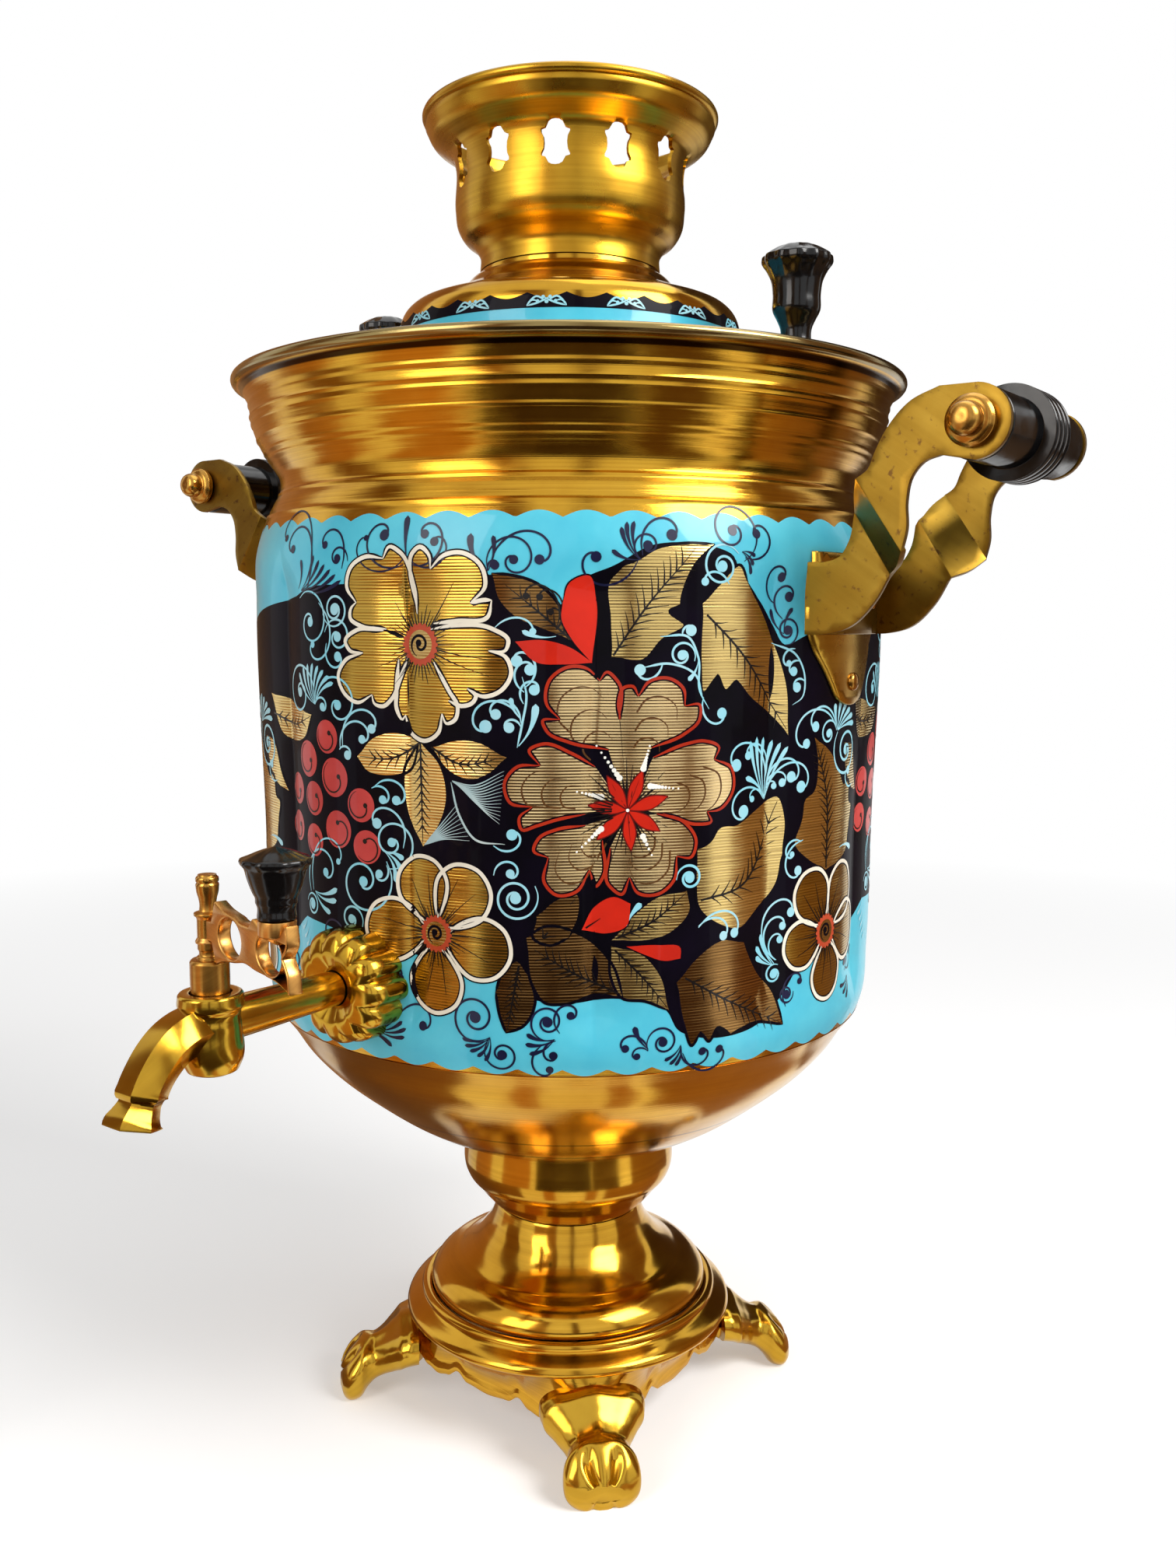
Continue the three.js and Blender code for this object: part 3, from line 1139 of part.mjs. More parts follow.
for (const [side, turn] of [["right", 0], ["left", Math.PI]]) {
  const place = (name, geometry, material) => add(name, geometry.rotateZ(turn), material);
  place(`handle_plate_${side}`, handlePlate(), brass);
  place(`handle_strap_${side}`, strap(), brass);
  const gripRod = facingBack(rod(ROD_RADIUS, -rodEnd, rodEnd, TINY)).translate(GRIP_PLACE, 0, gripHeight);
  place(`grip_rod_${side}`, gripRod, steel);
  place(`grip_${side}`, grip(), bakelite);
  place(`acorn_nut_${side}_a`, facingFront(acorn()).translate(GRIP_PLACE, 0, gripHeight), darkBrass);
  place(`acorn_nut_${side}_b`, facingBack(acorn()).translate(GRIP_PLACE, 0, gripHeight), darkBrass);
  const strapStack = 3 * CLEARANCE + PLATE_SHEET + STRAP_SHEET;
  const plateStack = 2 * CLEARANCE + PLATE_SHEET;
  place(`rivet_${side}_a`, rivet(...rivetPlaces[0], strapStack), brass);
  place(`rivet_${side}_b`, rivet(...rivetPlaces[1], strapStack), brass);
  place(`rivet_${side}_low`, rivet(...rivetPlaces[2], plateStack), brass);
}
add("heating_element", element(), steel);
for (const [side, sign] of [["right", -1], ["left", 1]]) {
  const across = (sign * TERMINAL_SPACING) / 2;
  const hole = ELEMENT_RADIUS + CLEARANCE;
  const nut = hexNut(TERMINAL_NUT_RADIUS, hole, nutLow, nutLow + TERMINAL_NUT_THICKNESS);
  const seal = atInlet(rod(SEAL_RADIUS, backFace - LOBE_DEPTH, sealBack), across);
  const passage = atInlet(bore(hole, 0, terminalOut), across);
  add(`terminal_seal_${side}`, cut(seal, bodyEnvelopeAtRest, passage), rubber);
  add(`terminal_nut_${side}`, atInlet(nut, across), brass);
  add(`inlet_pin_${side}`, atInlet(pin(), across), steel);
}
add("inlet_insulator", insulator(), ceramic);
add("inlet_shroud", shroud(), brass);

export default samovar;
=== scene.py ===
import math

import bmesh
import bpy
import numpy as np
from mathutils import Matrix, Vector
from mathutils.geometry import delaunay_2d_cdt


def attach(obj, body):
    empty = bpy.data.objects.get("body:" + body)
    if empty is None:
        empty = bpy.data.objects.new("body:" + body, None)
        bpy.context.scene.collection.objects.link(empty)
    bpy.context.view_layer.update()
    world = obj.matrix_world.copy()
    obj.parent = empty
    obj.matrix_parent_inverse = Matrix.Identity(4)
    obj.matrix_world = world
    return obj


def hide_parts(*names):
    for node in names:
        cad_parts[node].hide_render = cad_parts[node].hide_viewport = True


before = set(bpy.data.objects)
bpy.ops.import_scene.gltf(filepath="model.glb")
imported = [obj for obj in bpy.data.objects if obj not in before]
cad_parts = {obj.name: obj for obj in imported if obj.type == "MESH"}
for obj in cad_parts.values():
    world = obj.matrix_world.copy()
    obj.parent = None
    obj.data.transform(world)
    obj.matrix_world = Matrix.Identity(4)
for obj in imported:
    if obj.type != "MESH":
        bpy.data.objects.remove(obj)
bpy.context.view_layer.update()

# Sizes in millimetres and angles in degrees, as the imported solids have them. An angle is measured
# from the front (-Y) towards the right (+X).
MM = 0.001
GAP = 0.3
SHEET = 1.2
SKIRT_LOW, SKIRT_TOP, PLATE_TOP, PEDESTAL_TOP, CUP_TOP = 11.5, 26.0, 36.58, 64.0, 90.5
WALL_LOW, WALL_TOP, RIM, SHOULDER, CROWN_TOP = 139.5, 288.0, 333.4, 370.3, 416.7
TAP_HEIGHT, GRIP_HEIGHT = 161.0, 310.0
BODY_RADIUS, LOBE_DEPTH, LOBE_COUNT, LOBE_TURN = 100.0, 2.6, 12, -4.0
RIM_RADIUS, RIM_BEAD = 106.0, 1.5
TAP_REACH, GRIP_PLACE = 148.4, 146.0


# Outlines
def scaled(shares, radius, low, high):
    """Points given as shares of a radius and of a stretch of height."""
    return [(across * radius, low + up * (high - low)) for across, up in shares]


def spline(run, spacing):
    """A fine curve through a run of points, in any number of dimensions."""
    if len(run) < 3:
        return list(run)
    chords = [max((b - a).length, 1e-6) for a, b in zip(run, run[1:])]
    slopes = [(b - a) / chord for a, b, chord in zip(run, run[1:], chords)]
    tangents = [slopes[0]]
    for i in range(1, len(run) - 1):
        before, after = chords[i - 1], chords[i]
        tangents.append((slopes[i - 1] * after + slopes[i] * before) / (before + after))
    tangents.append(slopes[-1])
    fine = []
    for i, chord in enumerate(chords):
        steps = max(1, math.ceil(chord / spacing))
        for k in range(steps):
            t = k / steps
            fine.append(
                run[i] * (2 * t**3 - 3 * t**2 + 1) + run[i + 1] * (3 * t**2 - 2 * t**3)
                + tangents[i] * chord * (t**3 - 2 * t**2 + t)
                + tangents[i + 1] * chord * (t**3 - t**2)
            )
    return fine + [run[-1]]


def smooth(points, spacing=1.2, corner=40, bevel=0.3):
    """A fine curve through the points. A turn sharper than the corner becomes a small bevel."""
    points = [Vector(p) for p in points]
    runs, run = [], [points[0]]
    for before, here, after in zip(points, points[1:], points[2:]):
        arriving, leaving = here - before, after - here
        if min(arriving.length, leaving.length) < 1e-6:
            continue
        if math.degrees(arriving.angle(leaving)) < corner:
            run.append(here)
            continue
        size = min(bevel, arriving.length / 3, leaving.length / 3)
        start, end = here - arriving.normalized() * size, here + leaving.normalized() * size
        runs += [[*run, start], [(start + end) / 2 * 0.42 + here * 0.58]]
        run = [end]
    runs.append([*run, points[-1]])
    return [tuple(p) for run in runs for p in spline(run, spacing)]


def offset(outline, distance):
    """The outline moved sideways, towards its left as it is walked."""
    moved = []
    for i, point in enumerate(outline):
        along = Vector(outline[min(i + 1, len(outline) - 1)]) - Vector(outline[max(i - 1, 0)])
        along.normalize()
        moved.append((point[0] - along.y * distance, point[1] + along.x * distance))
    return moved


def radius_at(outline, height):
    """Radius at a height of an outline that is walked upwards."""
    for (r0, h0), (r1, h1) in zip(outline, outline[1:]):
        if h0 <= height <= h1 and h1 > h0:
            return r0 + (r1 - r0) * (height - h0) / (h1 - h0)
    return outline[0][0] if height < outline[0][1] else outline[-1][0]


def arc(x, y, size, start, end, steps):
    """Points of an arc about (x, y), from one angle in degrees to another."""
    turns = [math.radians(start + (end - start) * i / steps) for i in range(steps + 1)]
    return [(x + size * math.cos(a), y + size * math.sin(a)) for a in turns]


def sheet_of(outline, thickness):
    """A closed outline of a sheet: the outside walked upwards, the inside back down."""
    return [*outline, *reversed(offset(outline, thickness))]


def dense(points, spacing):
    """The closed outline with points no further apart than the spacing."""
    result = []
    for a, b in zip(points, [*points[1:], points[0]]):
        a, b = Vector(a), Vector(b)
        steps = max(1, math.ceil((b - a).length / spacing))
        result += [tuple(a.lerp(b, i / steps)) for i in range(steps)]
    return result


# Meshes
def turned(radius, angle, height):
    """Points at a radius and a height, turned about Z by an angle from the front."""
    places = np.stack([radius * np.sin(angle), -radius * np.cos(angle), height], axis=-1)
    return list(map(tuple, places.reshape(-1, 3).tolist()))


def lathe(outline, steps=144, closed=False, bend=None):
    """Turns (radius, height) points about Z."""
    faces, count = [], len(outline)
    radius, height = np.array(outline, float).T
    angle = np.arange(steps)[:, None] * 2 * math.pi / steps
    reach = bend(radius, height, angle) if bend else radius + 0 * angle
    vertices = turned(reach, angle, height + 0 * angle)
    for i in range(steps):
        j = (i + 1) % steps
        for k in range(count if closed else count - 1):
            m = (k + 1) % count
            faces.append((i * count + k, j * count + k, j * count + m, i * count + m))
    return vertices, faces


def loft(rings, ends=True):
    """A skin over rings of points that all have the same count."""
    count = len(rings[0])
    vertices = [tuple(p) for ring in rings for p in ring]
    faces = []
    for i in range(len(rings) - 1):
        for j in range(count):
            k = (j + 1) % count
            faces.append((i * count + j, i * count + k, (i + 1) * count + k, (i + 1) * count + j))
    if ends:
        last = (len(rings) - 1) * count
        faces += [tuple(range(count))[::-1], tuple(last + j for j in range(count))]
    return vertices, faces


def plate(outlines, thickness, bevel=0.3):
    """A flat plate in the XY plane with bevelled edges. The first outline is its edge, the rest are holes."""
    curve = bpy.data.curves.new("plate", "CURVE")
    curve.dimensions, curve.fill_mode = "2D", "BOTH"
    curve.extrude, curve.bevel_depth, curve.bevel_resolution = thickness / 2 - bevel, bevel, 2
    curve.offset = -bevel
    for outline in outlines:
        line = curve.splines.new("POLY")
        line.points.add(len(outline) - 1)
        for point, (x, y) in zip(line.points, outline):
            point.co = (x, y, 0, 1)
        line.use_cyclic_u = True
    helper = bpy.data.objects.new("plate", curve)
    mesh = bpy.data.meshes.new_from_object(helper)
    made = [tuple(v.co) for v in mesh.vertices], [tuple(p.vertices) for p in mesh.polygons]
    bpy.data.objects.remove(helper)
    bpy.data.curves.remove(curve)
    bpy.data.meshes.remove(mesh)
    return made


def merged(*parts):
    """Several (vertices, faces) pairs as one."""
    vertices, faces = [], []
    for some, quads in parts:
        start = len(vertices)
        vertices += some
        faces += [tuple(start + i for i in face) for face in quads]
    return vertices, faces


def moved(part, *steps):
    """The part after each step, a turn (axis, degrees) or a move (x, y, z)."""
    matrix = Matrix.Identity(4)
    for step in steps:
        if len(step) == 2:
            matrix = Matrix.Rotation(math.radians(step[1]), 4, step[0]) @ matrix
        else:
            matrix = Matrix.Translation(step) @ matrix
    return [tuple(matrix @ Vector(v)) for v in part[0]], part[1]


def piece(name, part, look, node=None, body="urn", sharp=38, close=True):
    """Makes an object of the part, in millimetres, in place of a CAD node, and ties it to its body."""
    mesh = bpy.data.meshes.new(name)
    mesh.from_pydata([tuple(c * MM for c in v) for v in part[0]], [], part[1])
    if close:
        shape = bmesh.new()
        shape.from_mesh(mesh)
        bmesh.ops.remove_doubles(shape, verts=shape.verts, dist=2e-6)
        bmesh.ops.recalc_face_normals(shape, faces=shape.faces)
        shape.to_mesh(mesh)
        shape.free()
    mesh.materials.append(look.material)
    mesh.polygons.foreach_set("use_smooth", [True] * len(mesh.polygons))
    mesh.set_sharp_from_angle(angle=math.radians(sharp))
    made = bpy.data.objects.new(name, mesh)
    bpy.context.scene.collection.objects.link(made)
    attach(made, body)
    if node:
        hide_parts(node)


def inside(points, outline):
    """Which of the points lie inside the outline."""
    points, hit = np.asarray(points, float).reshape(-1, 2), False
    x, y = points[:, 0], points[:, 1]
    for (x0, y0), (x1, y1) in zip(outline, [*outline[1:], outline[0]]):
        if y0 != y1:
            hit = hit ^ (((y0 > y) != (y1 > y)) & (x < x0 + (x1 - x0) * (y - y0) / (y1 - y0)))
    return hit


def fill(outline, cell, lines=()):
    """Triangles inside a flat outline, with points of a grid in its middle and edges along the lines."""
    edge = np.array([tuple(p)[:2] for p in outline])
    low, high = edge.min(axis=0), edge.max(axis=0)
    xs = np.arange(math.floor(low[0] / cell) * cell, high[0], cell)
    ys = np.arange(math.floor(low[1] / cell) * cell, high[1], cell)
    grid = np.array([(x, y) for x in xs for y in ys]).reshape(-1, 2)
    grid = grid[inside(grid, edge.tolist())] if len(grid) else grid
    clear = [np.abs(edge - p).sum(axis=1).min() > cell * 0.6 for p in grid]
    grid = [p for p, free in zip(grid, clear) if free and all(abs(p[0] - x) > cell / 3 for x in lines)]
    flat = [Vector(p) for p in [*edge.tolist(), *[tuple(p) for p in grid]]]
    edges = [(i, (i + 1) % len(edge)) for i in range(len(edge))]
    for x in lines:
        if low[0] < x < high[0]:
            edges.append((len(flat), len(flat) + 1))
            flat += [Vector((x, low[1] - 1)), Vector((x, high[1] + 1))]
    points, _, triangles, *_ = delaunay_2d_cdt(flat, edges, [], 0, 1e-5)
    middles = [sum((points[i] for i in t), Vector((0, 0))) / 3 for t in triangles]
    kept = [t for t, hit in zip(triangles, inside([tuple(m) for m in middles], edge.tolist())) if hit]
    return points, kept


# Materials
def colour(*screen):
    """A colour as seen on screen (0 to 255), made linear."""
    return [c / 255 / 12.92 if c < 11 else ((c / 255 + 0.055) / 1.055) ** 2.4 for c in screen]


def add_node(tree, kind, inputs=(), **settings):
    """A shader node. Each of the inputs is linked to a socket or set to a value."""
    made = tree.nodes.new(kind)
    for key, value in settings.items():
        setattr(made, key, value)
    for key, value in dict(inputs).items():
        if hasattr(value, "is_linked"):
            tree.links.new(value, made.inputs[key])
        else:
            made.inputs[key].default_value = value
    return made


class Look:
    """A material built node by node."""

    def __init__(self, name, base, **values):
        self.material = bpy.data.materials.new(name)
        self.material.use_nodes = True
        self.tree = self.material.node_tree
        self.shader = self.tree.nodes["Principled BSDF"]
        self.set("Base Color", (*base, 1))
        for key, value in values.items():
            self.set(key.replace("_", " "), value)
        self.place = self.node("ShaderNodeTexCoord").outputs["Object"]
        self.bump = None

    def set(self, key, value):
        self.shader.inputs[key].default_value = value

    def node(self, kind, inputs=(), **settings):
        return add_node(self.tree, kind, inputs, **settings)

    def noise(self, scale, detail=3):
        inputs = {"Vector": self.place, "Scale": scale, "Detail": detail, "Roughness": 0.55}
        return self.node("ShaderNodeTexNoise", inputs).outputs["Fac"]

    def rings(self, pitch, lean=0.7, detail=4):
        """Turned lines: noise along the outline, the same all round the axis."""
        parts = self.node("ShaderNodeSeparateXYZ", {"Vector": self.place}).outputs
        flat = self.node("ShaderNodeCombineXYZ", {"X": parts["X"], "Y": parts["Y"]}).outputs["Vector"]
        radius = self.node("ShaderNodeVectorMath", {0: flat}, operation="LENGTH").outputs["Value"]
        along = self.node("ShaderNodeMath", {0: radius, 1: lean, 2: parts["Z"]}, operation="MULTIPLY_ADD")
        inputs = {"W": along.outputs["Value"], "Scale": 1 / (pitch * MM), "Detail": detail, "Roughness": 0.7}
        return self.node("ShaderNodeTexNoise", inputs, noise_dimensions="1D").outputs["Fac"]

    def even_lines(self, pitch):
        """Level lines a pitch apart in millimetres, from 0 to 1."""
        height = self.node("ShaderNodeSeparateXYZ", {"Vector": self.place}).outputs["Z"]
        turn = self.node("ShaderNodeMath", {0: height, 1: 2 * math.pi / (pitch * MM)}, operation="MULTIPLY")
        wave = self.node("ShaderNodeMath", {0: turn.outputs["Value"]}, operation="SINE")
        return self.range(wave.outputs["Value"], 0, 1, -1, 1)

    def range(self, value, low, high, start=0.3, end=0.7):
        inputs = {"Value": value, "From Min": start, "From Max": end, "To Min": low, "To Max": high}
        return self.node("ShaderNodeMapRange", inputs).outputs["Result"]

    def tint(self, value, other, low=0.0, high=1.0):
        """Mixes the base colour so far with another one by a value."""
        mix = self.node("ShaderNodeMix", data_type="RGBA")
        self.tree.links.new(self.range(value, low, high), mix.inputs[0])
        socket = self.shader.inputs["Base Color"]
        if socket.is_linked:
            self.tree.links.new(socket.links[0].from_socket, mix.inputs[6])
        else:
            mix.inputs[6].default_value = socket.default_value
        mix.inputs[7].default_value = (*other, 1)
        self.tree.links.new(mix.outputs[2], socket)
        return self

    def at_height(self, other, low, high, edge):
        """Another base colour between two heights in millimetres, with soft edges."""
        height = self.node("ShaderNodeSeparateXYZ", {"Vector": self.place}).outputs["Z"]
        over = self.range(height, 0, 1, (low - edge) * MM, (low + edge) * MM)
        under = self.range(height, 1, 0, (high - edge) * MM, (high + edge) * MM)
        both = self.node("ShaderNodeMath", {0: over, 1: under}, operation="MULTIPLY")
        return self.tint(both.outputs["Value"], other)

    def rough(self, value, low, high):
        self.tree.links.new(self.range(value, low, high), self.shader.inputs["Roughness"])
        return self

    def relief(self, value, depth):
        """Adds a bump of a depth in millimetres."""
        inputs = {"Height": value, "Strength": 1.0, "Distance": depth * MM}
        if self.bump:
            inputs["Normal"] = self.bump
        self.bump = self.node("ShaderNodeBump", inputs).outputs["Normal"]
        self.tree.links.new(self.bump, self.shader.inputs["Normal"])
        return self


def metal(name, base, dull, low, high, pitch=1.1, depth=0.012, lean=0.7):
    """Polished metal with turned lines, faint patina and uneven gloss."""
    look = Look(name, base, Metallic=1.0)
    lines = look.rings(pitch, lean)
    look.tint(look.noise(38, 4), dull, 0.0, 0.6)
    look.tint(lines, [0.75 * c for c in dull], 0.0, 0.35)
    look.rough(look.noise(90, 3), low, high)
    return look.relief(lines, depth).relief(look.noise(600, 2), 0.004)


GOLD, OLD_GOLD = (0.73, 0.42, 0.045), (0.44, 0.19, 0.012)
brass = metal("polished_brass", GOLD, OLD_GOLD, 0.09, 0.2)
wall_brass = metal("fine_turned_brass", GOLD, OLD_GOLD, 0.1, 0.22, 0.6, 0.03, 0.25)
# Painted shade: a dark band on the throat just under the rolled rim, where the rim shades the wall. Above it,
# the rolled rim itself is tinted a greyer, darker brass.
wall_brass.at_height(colour(54, 34, 8), RIM - 3.6, RIM - 2.0, 0.5)
wall_brass.at_height((0.3, 0.22, 0.085), RIM - 1.6, RIM + 3, 0.2)
bowl_brass = metal("bowl_brass", GOLD, OLD_GOLD, 0.1, 0.2, 0.9, 0.02, 0.5)
bowl_brass.at_height(colour(70, 40, 8), CUP_TOP + 9.4, CUP_TOP + 10.6, 0.3)
bowl_brass.at_height(colour(110, 66, 14), CUP_TOP + 18.4, CUP_TOP + 19.0, 0.3)
cast_brass = metal("cast_brass", (0.68, 0.42, 0.045), (0.4, 0.2, 0.015), 0.12, 0.24, 9.0, 0.015)
satin_brass = metal("satin_brass", (0.6, 0.36, 0.035), (0.38, 0.17, 0.01), 0.24, 0.36)
worn_brass = metal("worn_brass", (0.58, 0.32, 0.065), (0.36, 0.16, 0.03), 0.16, 0.34)
copper_brass = metal("copper_brass", (0.74, 0.4, 0.11), (0.5, 0.22, 0.05), 0.2, 0.34)
strap_brass = metal("strap_brass", (0.27, 0.17, 0.025), (0.2, 0.1, 0.008), 0.3, 0.42, 9.0, 0.02)
strap_brass.tint(strap_brass.noise(420, 6), (0.12, 0.06, 0.015), -3.4, 1.1)
plate_brass = metal("plate_brass", (0.62, 0.4, 0.06), (0.45, 0.22, 0.02), 0.2, 0.32, 9.0, 0.02)
steel = metal("steel", (0.55, 0.54, 0.52), (0.36, 0.34, 0.32), 0.25, 0.42)


def enamel(name, base, other, rough=0.32, gloss=0.25):
    """Brush-laid paint under clear lacquer."""
    look = Look(
        name, base, Roughness=rough, Specular_IOR_Level=0.7 * gloss, Coat_Weight=gloss, Coat_Roughness=0.05,
    )
    look.tint(look.noise(60, 5), other, 0.0, 0.7)
    return look.relief(look.noise(240, 3), 0.01)


turquoise = enamel("turquoise_enamel", colour(88, 196, 216), colour(60, 172, 202), 0.32, 0.35)
black_paint = enamel("black_enamel", colour(5, 4, 8), colour(14, 7, 24), 0.4, 0.06)

bakelite = Look(
    "bakelite", colour(6, 6, 7), Roughness=0.18, Specular_IOR_Level=0.32,
    Coat_Weight=0.1, Coat_Roughness=0.05,
)
bakelite.tint(bakelite.noise(120, 4), colour(15, 14, 15), 0.0, 0.5)
bakelite.rough(bakelite.noise(210, 4), 0.1, 0.26)
bakelite.relief(bakelite.noise(900, 3), 0.01)
rubber = Look("rubber", colour(38, 38, 40), Roughness=0.8)
rubber.tint(rubber.noise(300), colour(60, 59, 58), 0.0, 0.5).relief(rubber.noise(1500), 0.02)
ceramic = Look("ceramic", colour(226, 220, 204), Roughness=0.45)
ceramic.tint(ceramic.noise(70), colour(205, 194, 172), 0.0, 0.6).relief(ceramic.noise(800), 0.01)

# Body: lobed wall, waist, flare and rolled rim
WALL_SHARES = [
    (0.962, 0), (0.974, 0.026), (0.984, 0.13), (0.988, 0.4), (1, 0.86), (0.996, 0.95), (0.976, 1),
]
THROAT_SHARES = [
    (0.939, 0.19), (0.919, 0.27), (0.92, 0.36), (0.946, 0.458), (0.978, 0.58), (1.001, 0.72),
    (1.012, 0.87), (1.032, 0.95),
]
wall_line = [
    *scaled(WALL_SHARES, BODY_RADIUS, WALL_LOW, WALL_TOP),
    *scaled(THROAT_SHARES, BODY_RADIUS, WALL_TOP, RIM),
]
RIDGES = [
    (326.2, 0.3), (322.6, 0.35), (320.4, 0.3), (315.8, 0.35), (311.6, 0.25), (309.8, 0.25), (299.4, 0.4),
    (292.6, 0.35),
]
RIDGE_HALF = 0.5


def ridged(outline):
    """The outline with fine turned ridges, each at its height and of its depth."""
    def rise(height):
        return sum(deep * math.exp(-(((height - at) / RIDGE_HALF) ** 2)) for at, deep in RIDGES)
    return [(radius + rise(height), height) for radius, height in outline]


wall_line = ridged(smooth(wall_line, 0.5, 60))
rim_bead = arc(RIM_RADIUS - RIM_BEAD, RIM, RIM_BEAD, -90, 165, 12)


def ease(value, low, high):
    """From 0 to 1 between two values, with a soft start and end."""
    t = np.clip((value - low) / (high - low), 0, 1)
    return t * t * (3 - 2 * t)


def lobe_inset(height, angle):
    """How deep the flutes between the lobes are at a height and an angle."""
    up = (height - WALL_LOW) / (WALL_TOP - WALL_LOW)
    fade = ease(up, 0.03, 0.13) * (1 - ease(up, 0.86, 0.97))
    turn = (np.degrees(angle) - LOBE_TURN) * LOBE_COUNT / 360
    return LOBE_DEPTH * fade * (2 * np.abs(turn - np.round(turn))) ** 2


def lobed(radius, height, angle):
    return radius - lobe_inset(height, angle)


shell = [*wall_line, *rim_bead, *reversed(offset(wall_line, SHEET)[::3])]
piece("urn_wall", lathe(shell, 360, True, lobed), wall_brass, "body_shell")

BOWL_SHARES = [
    (0.346, 0), (0.45, 0.075), (0.565, 0.2), (0.7, 0.4), (0.83, 0.635), (0.88, 0.755), (0.925, 0.9),
    (0.962, 1),
]
bowl_line = smooth(scaled(BOWL_SHARES, BODY_RADIUS, CUP_TOP, WALL_LOW - GAP))
bowl = [(0, CUP_TOP), *bowl_line]
piece("urn_bowl", lathe(sheet_of(bowl, SHEET), 180), bowl_brass, "body_bowl")

# Base: cup, pedestal, plinth and paws
CUP_SHARES = [(0.71, 0), (0.76, 0.06), (0.84, 0.18), (0.91, 0.3), (0.975, 0.4), (1, 0.47), (1, 1)]
CUP_RADIUS, CUP_LIP, CUP_RECESS = 34.9, 31.0, 2.0
cup = scaled(CUP_SHARES, CUP_RADIUS, PEDESTAL_TOP + GAP, CUP_TOP - GAP)
cup_low, cup_high = cup[0][1], cup[-1][1]
cup = smooth([(0, cup_low), *cup, (CUP_LIP, cup_high), (CUP_LIP - 0.5, cup_high - CUP_RECESS)], 0.8)
piece("urn_cup", lathe(cup), brass, "base_cup")

PEDESTAL_SHARES = [
    (1, 0), (1, 0.07), (0.98, 0.15), (0.945, 0.22), (0.89, 0.29), (0.84, 0.325), (0.8, 0.35), (0.76, 0.4),
    (0.69, 0.5), (0.62, 0.64), (0.565, 0.78), (0.545, 0.87),
]
PEDESTAL_RADIUS, PEDESTAL_FOOT, PEDESTAL_NECK = 47.0, 45.0, 24.6
pedestal = scaled(PEDESTAL_SHARES, PEDESTAL_RADIUS, PLATE_TOP + GAP, PEDESTAL_TOP)
pedestal = [(PEDESTAL_FOOT, PLATE_TOP + GAP), *pedestal, (PEDESTAL_NECK, PEDESTAL_TOP), (0, PEDESTAL_TOP)]
piece("urn_pedestal", lathe(smooth(pedestal, 0.8)), brass, "base_pedestal")

MOULDING_SHARES = [
    (0.955, 0), (0.985, 0.02), (1, 0.12), (0.992, 0.3), (0.965, 0.44), (0.925, 0.6), (0.908, 0.68),
    (0.91, 0.78), (0.9, 0.9), (0.875, 0.95), (0.85, 0.9),
]
COVE_TOP, COVE_LOW_RADIUS, COVE_RADIUS, CREST_RADIUS = 28.2, 50.0, 52.0, 53.4
MOULDING_RADIUS, MOULDING_TOP = 55.4, 37.4
moulding = [
    (0, SKIRT_TOP), (COVE_LOW_RADIUS, SKIRT_TOP), (COVE_RADIUS, COVE_TOP),
    *scaled(MOULDING_SHARES, MOULDING_RADIUS, COVE_TOP, MOULDING_TOP), (0, PLATE_TOP),
]
SKIRT_HALF, SKIRT_CORNER, SKIRT_WALL = 43.0, 9.0, 2.4
WAVE_HIGH = 14.5
SIDE_STEPS, CORNER_STEPS, FLANK_STEPS = 80, 12, 12
WAVE_SHARES = [
    (-0.72, 0), (-0.7, 0.3), (-0.6, 0.1), (-0.5, 0), (-0.4, 0.06), (-0.3, 0.24), (-0.2, 0.06), (0, 0),
    (0.2, 0.06), (0.3, 0.24), (0.4, 0.06), (0.5, 0), (0.6, 0.1), (0.7, 0.3), (0.72, 0),
]


def skirt():
    """A square of sheet with round corners, its lower edge wavy and each edge rolled a little."""
    inner = SKIRT_HALF - SKIRT_CORNER
    wave = [(a * SKIRT_HALF, SKIRT_LOW + u * WAVE_HIGH) for a, u in WAVE_SHARES]
    stations = []
    for side in range(4):
        turn = Matrix.Rotation(math.radians(90 * side), 3, "Z")
        for i in range(SIDE_STEPS):
            across = -inner + 2 * inner * i / SIDE_STEPS
            low = SKIRT_LOW
            for (a0, h0), (a1, h1) in zip(wave, wave[1:]):
                if a0 <= across <= a1:
                    low = h0 + (h1 - h0) * ease(across, a0, a1)
            stations.append((turn @ Vector((across, -SKIRT_HALF, 0)), turn @ Vector((0, 1, 0)), low))
        for i in range(CORNER_STEPS):
            angle = math.radians(-90 + 90 * i / CORNER_STEPS)
            out = Vector((math.cos(angle), math.sin(angle), 0))
            place = turn @ (Vector((inner, -inner, 0)) + out * SKIRT_CORNER)
            stations.append((place, turn @ -out, SKIRT_LOW))
    sections = []
    for place, inward, low in stations:
        crest = place.normalized() * CREST_RADIUS
        section = []
        for step in range(FLANK_STEPS + 1):
            t = step / FLANK_STEPS
            spread = (1 - t) ** 2.4
            height = COVE_TOP + 0.3 + (low + 0.9 - COVE_TOP - 0.3) * t
            flare = inward * -0.9 * ease(t, 0.72, 1)
            section.append(place.lerp(crest, spread) + flare + Vector((0, 0, height)))
        for i, h in ((-0.6, low + 0.1), (0.6, low), (SKIRT_WALL, low + 0.3), (SKIRT_WALL, SKIRT_TOP)):
            section.append(place + inward * i + Vector((0, 0, h)))
        sections.append(section)
    return loft([*sections, sections[0]], False)


piece("urn_plinth", merged(lathe(smooth(moulding, 0.8, 60)), skirt()), brass, "base_plinth")

